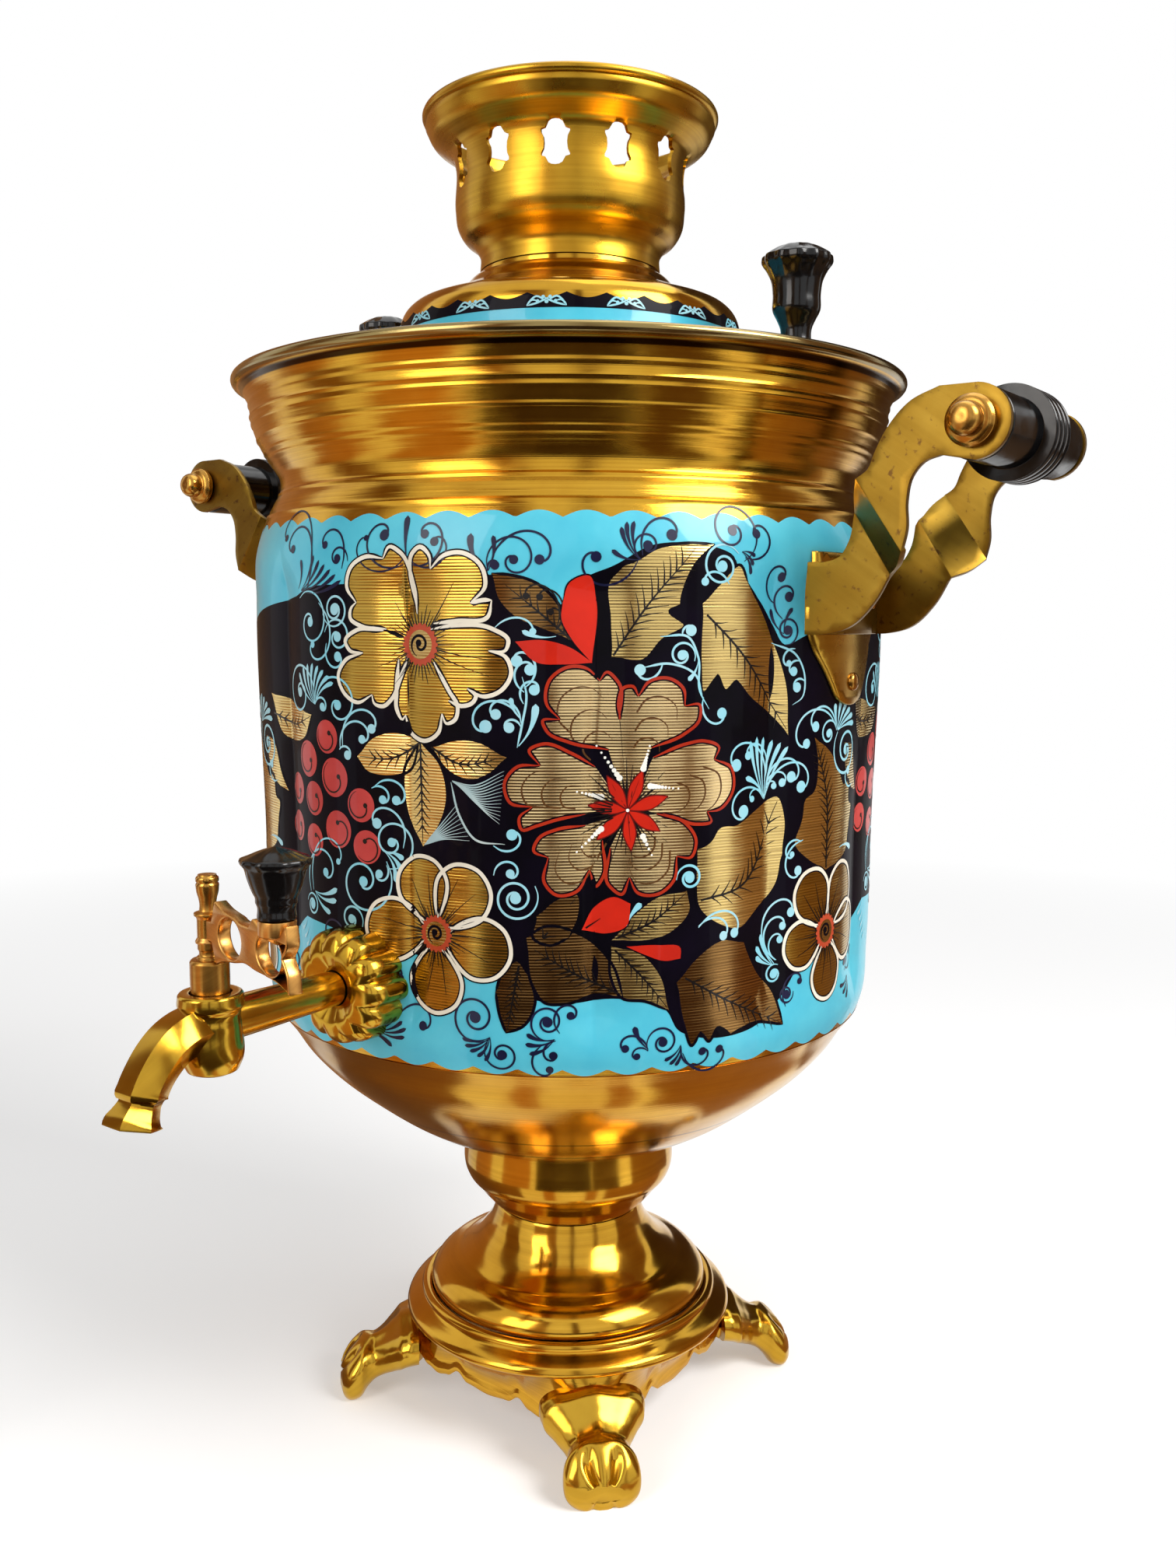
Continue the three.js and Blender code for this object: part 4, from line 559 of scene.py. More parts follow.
PAW_SHARES = [
    (-0.23, 0.44, 0.99, 0.7), (-0.08, 0.42, 0.98, 0.7), (0.06, 0.37, 0.93, 0.64), (0.2, 0.31, 0.84, 0.54),
    (0.34, 0.25, 0.745, 0.44), (0.47, 0.18, 0.69, 0.39), (0.58, 0.09, 0.69, 0.42), (0.69, -0.03, 0.66, 0.49),
    (0.82, -0.06, 0.53, 0.49), (0.92, -0.03, 0.41, 0.39), (0.975, 0.1, 0.31, 0.24),
]
PAW_ROOT, PAW_LENGTH, PAW_WIDTH = 57.1, 21.0, 23.6


def paw():
    """A lion's paw along +X: the four sizes of each section flow through the stations, then toes."""
    stations = spline([Vector(s) for s in PAW_SHARES], 0.03)
    rings, count = [], 72
    for way, low, high, half in stations:
        middle, tall = (low + high) / 2 * SKIRT_TOP, (high - low) / 2 * SKIRT_TOP
        toe, leg = ease(way, 0.64, 0.86), 1 - ease(way, 0.45, 0.62)
        fold = math.exp(-(((way - 0.05) / 0.05) ** 2))
        ring = []
        for i in range(count):
            angle = 2 * math.pi * i / count
            c, s = math.cos(angle), math.sin(angle)
            across = math.copysign(abs(c) ** 0.8, c)
            up = math.copysign(abs(s) ** 0.8, s)
            groove = sum(math.exp(-(((across - g) / 0.12) ** 2)) for g in (-0.36, 0.36))
            ridge = math.exp(-((across / 0.2) ** 2)) - 0.7 * math.exp(-(((abs(across) - 0.5) / 0.22) ** 2))
            rise = 1 - 0.22 * toe * groove * max(up, 0) + (0.09 * leg * ridge + 0.05 * fold) * max(up, 0)
            height = max(middle + up * tall * rise, 0)
            reach = PAW_ROOT + way * PAW_LENGTH + (0.7 - 1.3 * groove) * toe * min(max(up + 1.6, 0), 1.3)
            ring.append((reach, across * half * PAW_WIDTH * (1 + 0.03 * fold), height))
        rings.append(ring)
    return loft(rings)


for corner, turn in (("front_right", -45), ("back_right", 45), ("back_left", 135), ("front_left", -135)):
    piece(f"paw_{corner}", moved(paw(), ("Z", turn)), cast_brass, f"foot_{corner}", sharp=60)

# Lid with its knobs
LID_EDGE, LID_SLOPE_TOP, DOME_LOW, DOME_RADIUS = 331.9, 351.85, 357.4, 51.6
NECK_RADIUS, NECK_LOW, SPIGOT_RADIUS = 28.6, 368.8, 26.8
SPIGOT_TOP, LID_SKIRT = SHOULDER + 9, 9.0
DOME_SHARES = [(1, 0), (0.97, 0.1), (0.93, 0.155), (0.83, 0.28), (0.68, 0.52), (0.57, 0.88)]
SLOPE_SHARES = [(0.92, 0.04), (0.73, 0.28), (0.55, 0.58)]
lid_edge_radius = radius_at(offset(wall_line, SHEET), LID_EDGE - SHEET) - 2 * GAP
lid_line = smooth([
    (lid_edge_radius, LID_EDGE),
    *scaled(SLOPE_SHARES, lid_edge_radius, LID_EDGE, LID_SLOPE_TOP),
    *scaled(DOME_SHARES, DOME_RADIUS, DOME_LOW, SHOULDER),
    (NECK_RADIUS, NECK_LOW), (NECK_RADIUS, SHOULDER), (SPIGOT_RADIUS, SHOULDER), (SPIGOT_RADIUS, SPIGOT_TOP),
], 1.0, 50)
skirt_radius = lid_edge_radius - 3 * SHEET
skirt_inside, bore = skirt_radius - SHEET, SPIGOT_RADIUS - SHEET
lid_inside = [
    p for p in offset(lid_line, SHEET) if NECK_RADIUS + 0.4 < p[0] < skirt_inside and p[1] < NECK_LOW - 2.8
]
lid_outline = [
    (0, SPIGOT_TOP - SHEET), (bore, SPIGOT_TOP - SHEET), (bore, NECK_LOW - SHEET), *reversed(lid_inside),
    (skirt_inside, LID_EDGE - SHEET), (skirt_inside, LID_EDGE - LID_SKIRT),
    (skirt_radius, LID_EDGE - LID_SKIRT), (skirt_radius, LID_EDGE - SHEET),
    (lid_edge_radius, LID_EDGE - SHEET), *lid_line, (0, SPIGOT_TOP),
]
piece("lid_shell", lathe(lid_outline, 180), brass, "lid", "lid")


def lid_height(radius):
    """The height of the lid's outside at a radius."""
    upward = [(height, -place) for place, height in lid_line]
    for (h0, r0), (h1, r1) in zip(upward, upward[1:]):
        if r0 <= -radius <= r1 and r1 > r0:
            return h0 + (h1 - h0) * (-radius - r0) / (r1 - r0)
    return LID_EDGE


KNOB_SHARES = [
    (0.48, 0), (0.5, 0.05), (0.44, 0.12), (0.44, 0.24), (0.54, 0.32), (0.66, 0.4), (0.67, 0.55),
    (0.73, 0.68), (0.85, 0.76), (1, 0.84), (0.99, 0.89), (0.8, 0.93), (0.5, 0.98), (0, 1),
]


def wavy(count, depth, low, high):
    """Bends a turned knob's brim into waves between two heights."""
    def bend(radius, height, angle):
        return radius * (1 - depth * ease(height, low, high) * (0.5 - 0.5 * np.cos(count * angle)))
    return bend


LID_KNOB_PLACE, LID_KNOB_RADIUS, LID_KNOB_HIGH = 81, 10.2, 30.6
knob_low = lid_height(LID_KNOB_PLACE - 0.5 * LID_KNOB_RADIUS) + GAP
knob = [(0, knob_low), *scaled(KNOB_SHARES, LID_KNOB_RADIUS, knob_low, knob_low + LID_KNOB_HIGH)]
knob = lathe(smooth(knob, 0.5, 48), 96, bend=wavy(12, 0.05, knob_low + 19, knob_low + 25))
for side, turn in (("right", 0), ("left", 180)):
    placed = moved(knob, (LID_KNOB_PLACE, 0, 0), ("Z", turn))
    piece(f"lid_top_knob_{side}", placed, bakelite, f"lid_knob_{side}", "lid")

# Crown: the sleeve, the pierced cup and the flared lip
CROWN_SHARES = [
    (0.84, 0.17), (0.92, 0.215), (0.98, 0.29), (1, 0.4), (1, 0.7), (1.02, 0.755), (1.11, 0.81),
    (1.2, 0.86), (1.255, 0.94),
]
CROWN_LOW, CROWN_RADIUS, LIP_RADIUS, LIP_BEAD = SHOULDER + GAP, 36.2, 46.4, 1.3
SLEEVE_SHARE = 0.11  # of the crown's height
crown_line = smooth([
    (NECK_RADIUS, CROWN_LOW), (NECK_RADIUS, CROWN_LOW + SLEEVE_SHARE * (CROWN_TOP - SHOULDER)),
    *scaled(CROWN_SHARES, CROWN_RADIUS, CROWN_LOW, CROWN_TOP),
], 0.8, 60)
crown_bead = arc(LIP_RADIUS - LIP_BEAD, CROWN_TOP, LIP_BEAD, -90, 165, 10)
STAR_MIDDLE, STAR_HIGH, STAR_WIDE, STAR_COUNT = 399.6, 12.8, 8.6, 12
BAND_LOW, BAND_HIGH, BAND_ROWS = 392.4, 406.8, 14
STAR_SHARES = [
    (0, 1), (0.13, 0.98), (0.24, 0.9), (0.29, 0.78), (0.35, 0.64), (0.5, 0.58), (0.5, 0.46), (0.42, 0.25),
    (0.4, 0),
]


def star():
    """A hole with a round lobe above and below and two sharp points on each side, about (0, 0)."""
    half = STAR_SHARES + [(x, -y) for x, y in reversed(STAR_SHARES[:-1])]
    line = half + [(-x, y) for x, y in reversed(half[1:-1])]
    return [(-x * STAR_WIDE, y * STAR_HIGH / 2) for x, y in line]


def pierced_band(cell):
    """One star's share of the band, flat, as its points, its triangles and the star's edge."""
    wide = 2 * math.pi / STAR_COUNT * CROWN_RADIUS
    across = [wide * i / cell for i in range(cell + 1)]
    levels = [BAND_LOW + (BAND_HIGH - BAND_LOW) * j / BAND_ROWS for j in range(BAND_ROWS + 1)]
    border = [(x, BAND_LOW) for x in across] + [(wide, h) for h in levels[1:-1]]
    border += [(x, BAND_HIGH) for x in reversed(across)] + [(0, h) for h in levels[-2:0:-1]]
    hole = [(wide / 2 + x, STAR_MIDDLE + y) for x, y in dense(star(), 0.8)]
    star_edge = [(wide / 2 + x, STAR_MIDDLE + y) for x, y in star()]
    grid = [(x, h) for x in across[1:-1] for h in levels[1:-1]]
    clear = [min(math.dist(p, q) for q in hole) > 0.45 for p in grid]
    grid = [p for p, free, hit in zip(grid, clear, inside(grid, star_edge)) if free and not hit]
    edges = [(i, (i + 1) % len(border)) for i in range(len(border))]
    edges += [(len(border) + i, len(border) + (i + 1) % len(hole)) for i in range(len(hole))]
    flat = [Vector(p) for p in [*border, *hole, *grid]]
    points, _, triangles, *_ = delaunay_2d_cdt(flat, edges, [], 1, 1e-5)
    middles = [tuple(sum((points[i] for i in t), Vector((0, 0))) / 3) for t in triangles]
    return points, [t for t, hit in zip(triangles, inside(middles, star_edge)) if not hit], hole


def crown():
    """The crown's sheet. The band with the star holes is triangulated flat and rolled up."""
    steps = 240
    inner_line = offset(crown_line, SHEET)

    def below(line):
        return [p for p in line if p[1] < BAND_LOW] + [(radius_at(line, BAND_LOW), BAND_LOW)]

    def above(line):
        return [(radius_at(line, BAND_HIGH), BAND_HIGH)] + [p for p in line if p[1] > BAND_HIGH]

    parts = [
        lathe([*reversed(below(inner_line)), *below(crown_line)], steps),
        lathe([*above(crown_line), *crown_bead, *reversed(above(inner_line))], steps),
    ]
    points, triangles, hole = pierced_band(steps // STAR_COUNT)
    count = len(hole)
    ring = [(j, (j + 1) % count, count + (j + 1) % count, count + j) for j in range(count)]
    for i in range(STAR_COUNT):
        turn = (i - 0.5) * 2 * math.pi / STAR_COUNT

        def rolled(line, flat):
            made = []
            for across, height in flat:
                radius, angle = radius_at(line, height), across / CROWN_RADIUS + turn
                made.append((radius * math.sin(angle), -radius * math.cos(angle), height))
            return made

        parts.append((rolled(crown_line, points), triangles))
        parts.append((rolled(inner_line, points), [tuple(reversed(t)) for t in triangles]))
        parts.append((rolled(crown_line, hole) + rolled(inner_line, hole), ring))
    return merged(*parts)


piece("crown_cup", crown(), satin_brass, "crown", "crown", sharp=45)

# Tap: cast body with its spout, scalloped rosette, key with finial, pierced lever and knob
TUBE_RADIUS, SPOUT_RADIUS, SPOUT_OUT, SPOUT_DROP = 4.9, 6.0, 32, 19.5
TAIL_RADIUS, FLANGE_RADIUS, BARREL_FOOT_RADIUS, BARREL_BORE = 5.2, 8.1, 7.5, 5.3
tap_face = radius_at(wall_line, TAP_HEIGHT)
BARREL_TOP = TAP_HEIGHT + 8.3
SPOUT_PATH = [
    (0, 0.02), (0.26, 0.03), (0.38, 0.11), (0.49, 0.25), (0.58, 0.42), (0.64, 0.58), (0.66, 0.66),
    (0.665, 0.7), (0.69, 0.8), (0.715, 0.88), (0.74, 0.97), (0.745, 1),
]
SPOUT_SHARES = [1, 1.03, 1.03, 1.02, 1.0, 1.0, 1.0, 0.86, 0.87, 0.98, 1.14, 1.14]


def spout(radius_share=1.0, sides=6):
    """Rings along the spout, whose section has soft corners. They start on the barrel's axis."""
    path = [
        Vector((out * SPOUT_OUT, TAP_HEIGHT - down * SPOUT_DROP, share))
        for (out, down), share in zip(SPOUT_PATH, SPOUT_SHARES)
    ]
    path = spline(path, 0.6)
    rings = []
    for i, here in enumerate(path):
        along = path[min(i + 1, len(path) - 1)] - path[max(i - 1, 0)]
        along = Vector((along.x, along.y)).normalized()
        radius = here.z * SPOUT_RADIUS * radius_share
        ring = []
        for j in range(sides * 6):
            angle = 2 * math.pi * j / (sides * 6)
            facet = angle % (2 * math.pi / sides) - math.pi / sides
            straight = math.cos(math.pi / sides) / math.cos(facet)
            reach = radius * (0.92 * straight + 0.11)
            side, lift = math.cos(angle) * reach, math.sin(angle) * reach
            ring.append((side, -(TAP_REACH + here.x - along.y * lift), here.y + along.x * lift))
        rings.append(ring)
    return rings


def tap_body():
    """The tail, the tube, the flanged barrel and the hollow spout."""
    inner = spout(0.7)
    mouth = [*spout(), inner[-1], inner[-4], inner[-9]]
    tube = lathe(smooth([
        (0, tap_face - 17), (TAIL_RADIUS, tap_face - 17), (TAIL_RADIUS, tap_face),
        (TUBE_RADIUS, tap_face + 1), (TUBE_RADIUS, tap_face + 12),
        (1.12 * TUBE_RADIUS, TAP_REACH - 6), (1.12 * TUBE_RADIUS, TAP_REACH), (0, TAP_REACH),
    ], 1.0), 64)
    foot_shares = [(0, 0), (0.55, 0), (0.85, 0.07), (1, 0.27), (1, 1)]
    flange_shares = [(0.926, 0.45), (1, 0.55), (1, 0.92), (0.93, 1)]
    barrel = smooth([
        *scaled(foot_shares, BARREL_FOOT_RADIUS, TAP_HEIGHT - 12.6, TAP_HEIGHT),
        *scaled(flange_shares, FLANGE_RADIUS, TAP_HEIGHT, BARREL_TOP),
        (BARREL_BORE, BARREL_TOP), (BARREL_BORE, BARREL_TOP - 3), (0, BARREL_TOP - 3),
    ], 0.7)
    tube = moved(tube, ("X", 90), (0, 0, TAP_HEIGHT))
    return merged(tube, moved(lathe(barrel, 72), (0, -TAP_REACH, 0)), loft(mouth))


piece("tap_casting", tap_body(), cast_brass, "tap_body")

ROSETTE_SHARES = [(1, 0.2), (0.995, 0.44), (0.965, 0.66), (0.885, 0.84), (0.76, 0.95), (0.6, 1), (0.45, 0.92)]
ROSETTE_RADIUS, ROSETTE_HOLE, ROSETTE_HIGH, ROSETTE_DEEP = 16.4, 5, 10.5, 5.2


def rosette():
    """A cap with fluted lobes between the tube and the wall."""
    front = tap_face + ROSETTE_HIGH
    line = smooth([
        (ROSETTE_RADIUS, tap_face - ROSETTE_DEEP), *scaled(ROSETTE_SHARES, ROSETTE_RADIUS, tap_face, front),
        (ROSETTE_HOLE, front - 2),
    ], 0.7)

    def bend(reach, height, angle):
        swell = np.maximum(reach - ROSETTE_HOLE, 0) / (ROSETTE_RADIUS - ROSETTE_HOLE)
        return reach * (1 - 0.13 * swell * (1 - np.abs(np.cos(6 * angle))) ** 1.5)

    return moved(lathe(line, 224, bend=bend), ("X", 90), (0, 0, TAP_HEIGHT))


piece("tap_wall_rosette", rosette(), cast_brass, "tap_rosette")

FINIAL_SHARES = [
    (0.62, 0), (0.62, 0.03), (0.5, 0.05), (0.5, 0.1), (0.56, 0.12), (0.56, 0.14), (0.56, 0.3),
    (0.56, 0.48), (0.56, 0.5), (0.7, 0.52), (0.7, 0.55), (0.44, 0.57), (0.41, 0.62), (0.41, 0.66),
    (0.45, 0.72), (0.53, 0.79), (0.56, 0.85), (0.56, 0.89), (0.51, 0.905), (0.56, 0.92), (0.56, 0.965),
    (0.46, 0.985), (0.46, 1),
]
BONNET_RADIUS, BONNET_HIGH, FINIAL_RADIUS, FINIAL_HIGH = 4.85, 8.4, 5, 21.3
BONNET_TOP = BARREL_TOP + BONNET_HIGH
FINIAL_TOP = BONNET_TOP + FINIAL_HIGH
LEVER_TURN = -13
at_tap = (("Z", LEVER_TURN), (0, -TAP_REACH, 0))
key_line = smooth([
    (0, TAP_HEIGHT - 7.8), (4.25, TAP_HEIGHT - 7.8), (4.8, BARREL_TOP), (BONNET_RADIUS, BARREL_TOP + 2),
    (BONNET_RADIUS, BARREL_TOP + 7.4), (BONNET_RADIUS, BARREL_TOP + 7.7), (4.4, BONNET_TOP),
    *scaled(FINIAL_SHARES, FINIAL_RADIUS, BONNET_TOP, FINIAL_TOP), (0, FINIAL_TOP),
], 0.5, 42, 0.2)
piece("tap_key_turned", moved(lathe(key_line, 64), *at_tap), worn_brass, "tap_key", "tap_key")

LEVER_OUTLINE = [
    (0.16, 0.5), (0.24, 0.42), (0.36, 0.36), (0.46, 0.3), (0.56, 0.3), (0.6, 0.44), (0.68, 0.34), (0.9, 0.34),
    (0.97, 0.5), (0.98, 0.2), (0.93, 0), (0.98, -0.2), (1, -0.5), (0.88, -0.4), (0.76, -0.36), (0.62, -0.34),
    (0.5, -0.3), (0.38, -0.36), (0.24, -0.42), (0.16, -0.5), (0.13, -0.3), (0.11, -0.17), (0.05, -0.16),
    (0.05, 0.16), (0.11, 0.17), (0.13, 0.3),
]
LEVER_LONG, LEVER_HIGH, LEVER_SHEET, HOLE_WIDE, HOLE_HIGH = 44, 15.6, 3.6, 12, 10
HOLE_SHARES = (0.335, 0.78)
EYE_INNER, EYE_OUTER, EYE_WAIST, EYE_LIP = 2.7, 3.3, 3.0, 0.5
BOSS_PLACE, BOSS_RADIUS, BOSS_STEM = 35.7, 4.4, 2.2
lever_middle = BONNET_TOP + 0.37 * FINIAL_HIGH
lever_top = lever_middle + 0.52 * LEVER_HIGH


def oval(x, y, wide, high, steps=36):
    turns = [2 * math.pi * i / steps for i in range(steps)]
    return [(x + wide / 2 * math.cos(a), y + high / 2 * math.sin(a)) for a in turns]


def lever():
    """The pierced plate, its eye round the key's finial and the boss under its knob."""
    edge = [(x * LEVER_LONG, y * LEVER_HIGH) for x, y in LEVER_OUTLINE]
    edge = smooth([*edge, edge[0]], 0.7, 50, 0.3)[:-1]
    holes = [oval(share * LEVER_LONG, 0, HOLE_WIDE, HOLE_HIGH) for share in HOLE_SHARES]
    blade = moved(plate([edge, *holes], LEVER_SHEET, 0.5), ("X", 90), (0, 0, lever_middle))
    half = 0.24 * LEVER_HIGH
    eye = [
        (EYE_INNER, -half), (EYE_OUTER, -half), (EYE_OUTER, EYE_LIP - half), (EYE_WAIST, 2 * EYE_LIP - half),
        (EYE_WAIST, half - 2 * EYE_LIP), (EYE_OUTER, half - EYE_LIP), (EYE_OUTER, half), (EYE_INNER, half),
        (EYE_INNER, -half),
    ]
    eye = lathe(smooth([(r, lever_middle + h) for r, h in eye], 0.5, 40, 0.15), 48)
    boss = lathe(smooth([
        (0, lever_middle + 2), (BOSS_RADIUS, lever_middle + 4.6), (BOSS_RADIUS, lever_top),
        (BOSS_STEM, lever_top), (BOSS_STEM, lever_top + 6), (0, lever_top + 6),
    ], 0.8), 40)
    return merged(blade, eye, moved(boss, (BOSS_PLACE, 0, 0)))


blade = moved(lever(), *at_tap)
piece("tap_lever_plate", blade, copper_brass, "tap_lever", "tap_key", sharp=45)

TAP_KNOB_SHARES = [
    (0.54, 0), (0.54, 0.19), (0.57, 0.22), (0.58, 0.3), (0.64, 0.36), (0.71, 0.45), (0.77, 0.54),
    (0.81, 0.61), (0.87, 0.7), (0.97, 0.76), (1, 0.8), (0.97, 0.84), (0.8, 0.87), (0.45, 0.94), (0, 1),
]
TAP_KNOB_RADIUS, TAP_KNOB_HIGH = 8.3, 16.6
tap_knob_low = lever_top + GAP
tap_knob_top = tap_knob_low + TAP_KNOB_HIGH
tap_knob = [(0, tap_knob_low), *scaled(TAP_KNOB_SHARES, TAP_KNOB_RADIUS, tap_knob_low, tap_knob_top)]
tap_knob = lathe(smooth(tap_knob, 0.5, 48), 96, bend=wavy(10, 0.05, tap_knob_low + 10, tap_knob_low + 13))
tap_knob = moved(tap_knob, (BOSS_PLACE, 0, 0), *at_tap)
piece("tap_top_knob", tap_knob, bakelite, "tap_knob", "tap_key")

# Handles, made on the right and turned half round for the left
STRAP_LOW, STRAP_HEIGHT, STRAP_HALF, STRAP_SHEET = WALL_TOP - 30.2, 19.7, 21.5, 1.8
PLATE_HALF, PLATE_SHEET, PLATE_TIP, PLATE_HIGH = 20.0, 1.5, WALL_TOP - 50, 42.5
GRIP_HALF, ARM_END = 30.5, 9.3
strap_top = STRAP_LOW + STRAP_HEIGHT
PLATE_SHARES = [
    (1, 1), (1, 0.42), (0.93, 0.36), (0.72, 0.24), (0.52, 0.12), (0.4, 0.05), (0.2, 0.005), (-0.2, 0.005),
    (-0.4, 0.05), (-0.52, 0.12), (-0.72, 0.24), (-0.93, 0.36), (-1, 0.42), (-1, 1),
]


def wall_place(across, height, lift):
    """A point over the wall at the right handle, by its distance from the handle's middle plane."""
    angle = math.pi / 2
    for _ in range(4):
        reach = lobed(radius_at(wall_line, height), height, angle) + lift
        angle = math.pi / 2 + math.asin(max(-1, min(1, across / reach)))
    return (reach * math.sin(angle), -reach * math.cos(angle), height)


def curved_plate(outline, inner, outer, place):
    """A plate of sheet that follows a wall, its outer edge rounded off."""
    points, triangles = fill(outline, 2.0)
    middle = sum((Vector(p) for p in outline), Vector((0, 0))) / len(outline)
    count, rounding = len(points), 0.35

    def layer(lift, shrink=0.0):
        made = []
        for p in points:
            away = p - middle
            made.append(place(*(p - away.normalized() * shrink), lift))
        return made

    edge = [next(i for i, q in enumerate(points) if (q - Vector(p)).length < 1e-3) for p in outline]
    vertices = layer(inner) + layer(outer - rounding) + layer(outer, rounding)
    faces = [tuple(reversed(t)) for t in triangles]
    faces += [tuple(2 * count + i for i in t) for t in triangles]
    for a, b in zip(edge, edge[1:] + edge[:1]):
        faces += [(a, b, count + b, count + a), (count + a, count + b, 2 * count + b, 2 * count + a)]
    return vertices, faces


# Each edge of an arm, walked from the wall to the grip in shares of its way and of its climb. The arm is
# bent along two straight lines, which join the edges' points of the same rank.
ARM_TOP = [
    (0, 0.985), (0.13, 0.98), (0.22, 1.05), (0.27, 1.24), (0.3, 1.62), (0.335, 1.84), (0.385, 2.01),
    (0.45, 2.12), (0.485, 2.32), (0.55, 2.62), (0.67, 2.93), (0.82, 3.08),
]
ARM_UNDER = [
    (0, 0), (0.14, 0.01), (0.28, 0.1), (0.42, 0.42), (0.51, 0.8), (0.575, 0.88), (0.645, 1.07), (0.67, 1.35),
    (0.665, 1.7), (0.69, 2.0), (0.75, 2.17), (0.84, 2.24),
]
FIRST_BEND, SECOND_BEND = 4, 6
ARM_ROUND = 0.35


def arm():
    """One arm of the strap: flat sheet from the flange at the wall up to the disc round the grip's rod."""
    wall = radius_at(wall_line, STRAP_LOW + STRAP_HEIGHT / 2)
    start = math.sqrt(wall**2 - STRAP_HALF**2) - STRAP_SHEET
    climb = (GRIP_HEIGHT + ARM_END - STRAP_LOW) / ARM_TOP[-1][1]
    edges, bends = [], []
    for shares in (ARM_TOP, ARM_UNDER):
        knots = [Vector((start + a * (GRIP_PLACE - start), STRAP_LOW + u * climb)) for a, u in shares]
        fine = []
        for low, high in ((0, FIRST_BEND), (FIRST_BEND, SECOND_BEND), (SECOND_BEND, len(knots) - 1)):
            fine.append(spline(knots[low:high + 1], 1.2))
        edges.append(fine)
        bends.append((knots[FIRST_BEND], knots[SECOND_BEND]))
    disc = [Vector(p) for p in arc(GRIP_PLACE, GRIP_HEIGHT, ARM_END, 85, -85, 20)]
    (first_top, second_top), (first_under, second_under) = bends

    def beyond(place, a, b):
        """How far the place lies to the right of the line from a to b."""
        along = (b - a).normalized()
        return (place - a).x * -along.y + (place - a).y * along.x

    def outside(place):
        past = beyond(place, first_top, first_under)
        before = -beyond(place, second_top, second_under)
        share = past / (past + before) if past > 0 and before > 0 else float(before <= 0 < past)
        return STRAP_HALF + share * (GRIP_HALF - STRAP_HALF)

    shape = bmesh.new()
    for k in range(3):
        cap = disc if k == 2 else []
        outline = [*edges[0][k], *cap, *reversed(edges[1][k])]
        points, triangles = fill(outline, 2.4)
        made = [shape.verts.new((p.x, -outside(Vector(p)), p.y)) for p in points]
        for t in triangles:
            shape.faces.new([made[i] for i in t])
    bmesh.ops.remove_doubles(shape, verts=shape.verts, dist=0.01)
    bmesh.ops.recalc_face_normals(shape, faces=shape.faces)
    shape.faces.ensure_lookup_table()
    if shape.faces[0].normal.y > 0:
        bmesh.ops.reverse_faces(shape, faces=shape.faces)
    bmesh.ops.solidify(shape, geom=shape.faces[:], thickness=STRAP_SHEET)
    sharp = [e for e in shape.edges if e.is_manifold and math.degrees(e.calc_face_angle(0)) > 25]
    bevel = {"offset": ARM_ROUND, "segments": 2, "profile": 0.5, "affect": "EDGES", "clamp_overlap": True}
    bmesh.ops.bevel(shape, geom=sharp, **bevel)
    shape.verts.ensure_lookup_table()
    part = [tuple(v.co) for v in shape.verts], [tuple(v.index for v in f.verts) for f in shape.faces]
    shape.free()
    return part


def mirrored(part):
    """The part on the other side of the handle's middle plane."""
    return [(x, -y, z) for x, y, z in part[0]], [tuple(reversed(f)) for f in part[1]]


plate_edge = scaled(PLATE_SHARES, PLATE_HALF, PLATE_TIP, PLATE_TIP + PLATE_HIGH)
plate_edge = dense(smooth([*plate_edge, plate_edge[0]], 1.5, 50)[:-1], 1.5)
handle_plate = curved_plate(plate_edge, GAP, GAP + PLATE_SHEET, wall_place)
strap_inside, web_half = 2 * GAP + PLATE_SHEET, STRAP_HALF - 0.4


def wall_strip(left, right, inner, outer):
    """A stretch of the strap along the wall, between two distances from the handle's middle."""
    corners = [(left, STRAP_LOW), (right, STRAP_LOW), (right, strap_top), (left, strap_top)]
    return curved_plate(dense(corners, 1.5), inner, outer, wall_place)


web = wall_strip(-web_half, web_half, strap_inside, strap_inside + STRAP_SHEET)
lip = wall_strip(PLATE_HALF + GAP, web_half, 0.1, strap_inside + 0.3)
handle_strap = merged(web, lip, mirrored(lip), arm(), mirrored(arm()))


GRIP_BORE, GRIP_END_RADIUS, GRIP_RADIUS = 2.9, 8.1, 9.2
RING_RADIUS, RING_HALF, GROOVE, GROOVE_DEEP = 12.4, 6.0, 0.7, 0.8


def grip():
    """A roller with a thick ring in its middle, which has four grooves."""
    half = GRIP_HALF - STRAP_SHEET - GAP
    side = [
        (GRIP_BORE, -half), (GRIP_END_RADIUS, -half), (GRIP_RADIUS, -half + 1.1),
        (GRIP_RADIUS, -RING_HALF), (RING_RADIUS, -RING_HALF),
    ]
    for share in (0.95, 0.4):
        at = -share * RING_HALF
        bottom = (RING_RADIUS - GROOVE_DEEP, at + GROOVE)
        side += [(RING_RADIUS, at), bottom, (RING_RADIUS, at + 2 * GROOVE)]
    line = [*side, *[(r, -h) for r, h in reversed(side)]]
    return lathe(smooth(line, 1.0, 35, 0.25), 96)


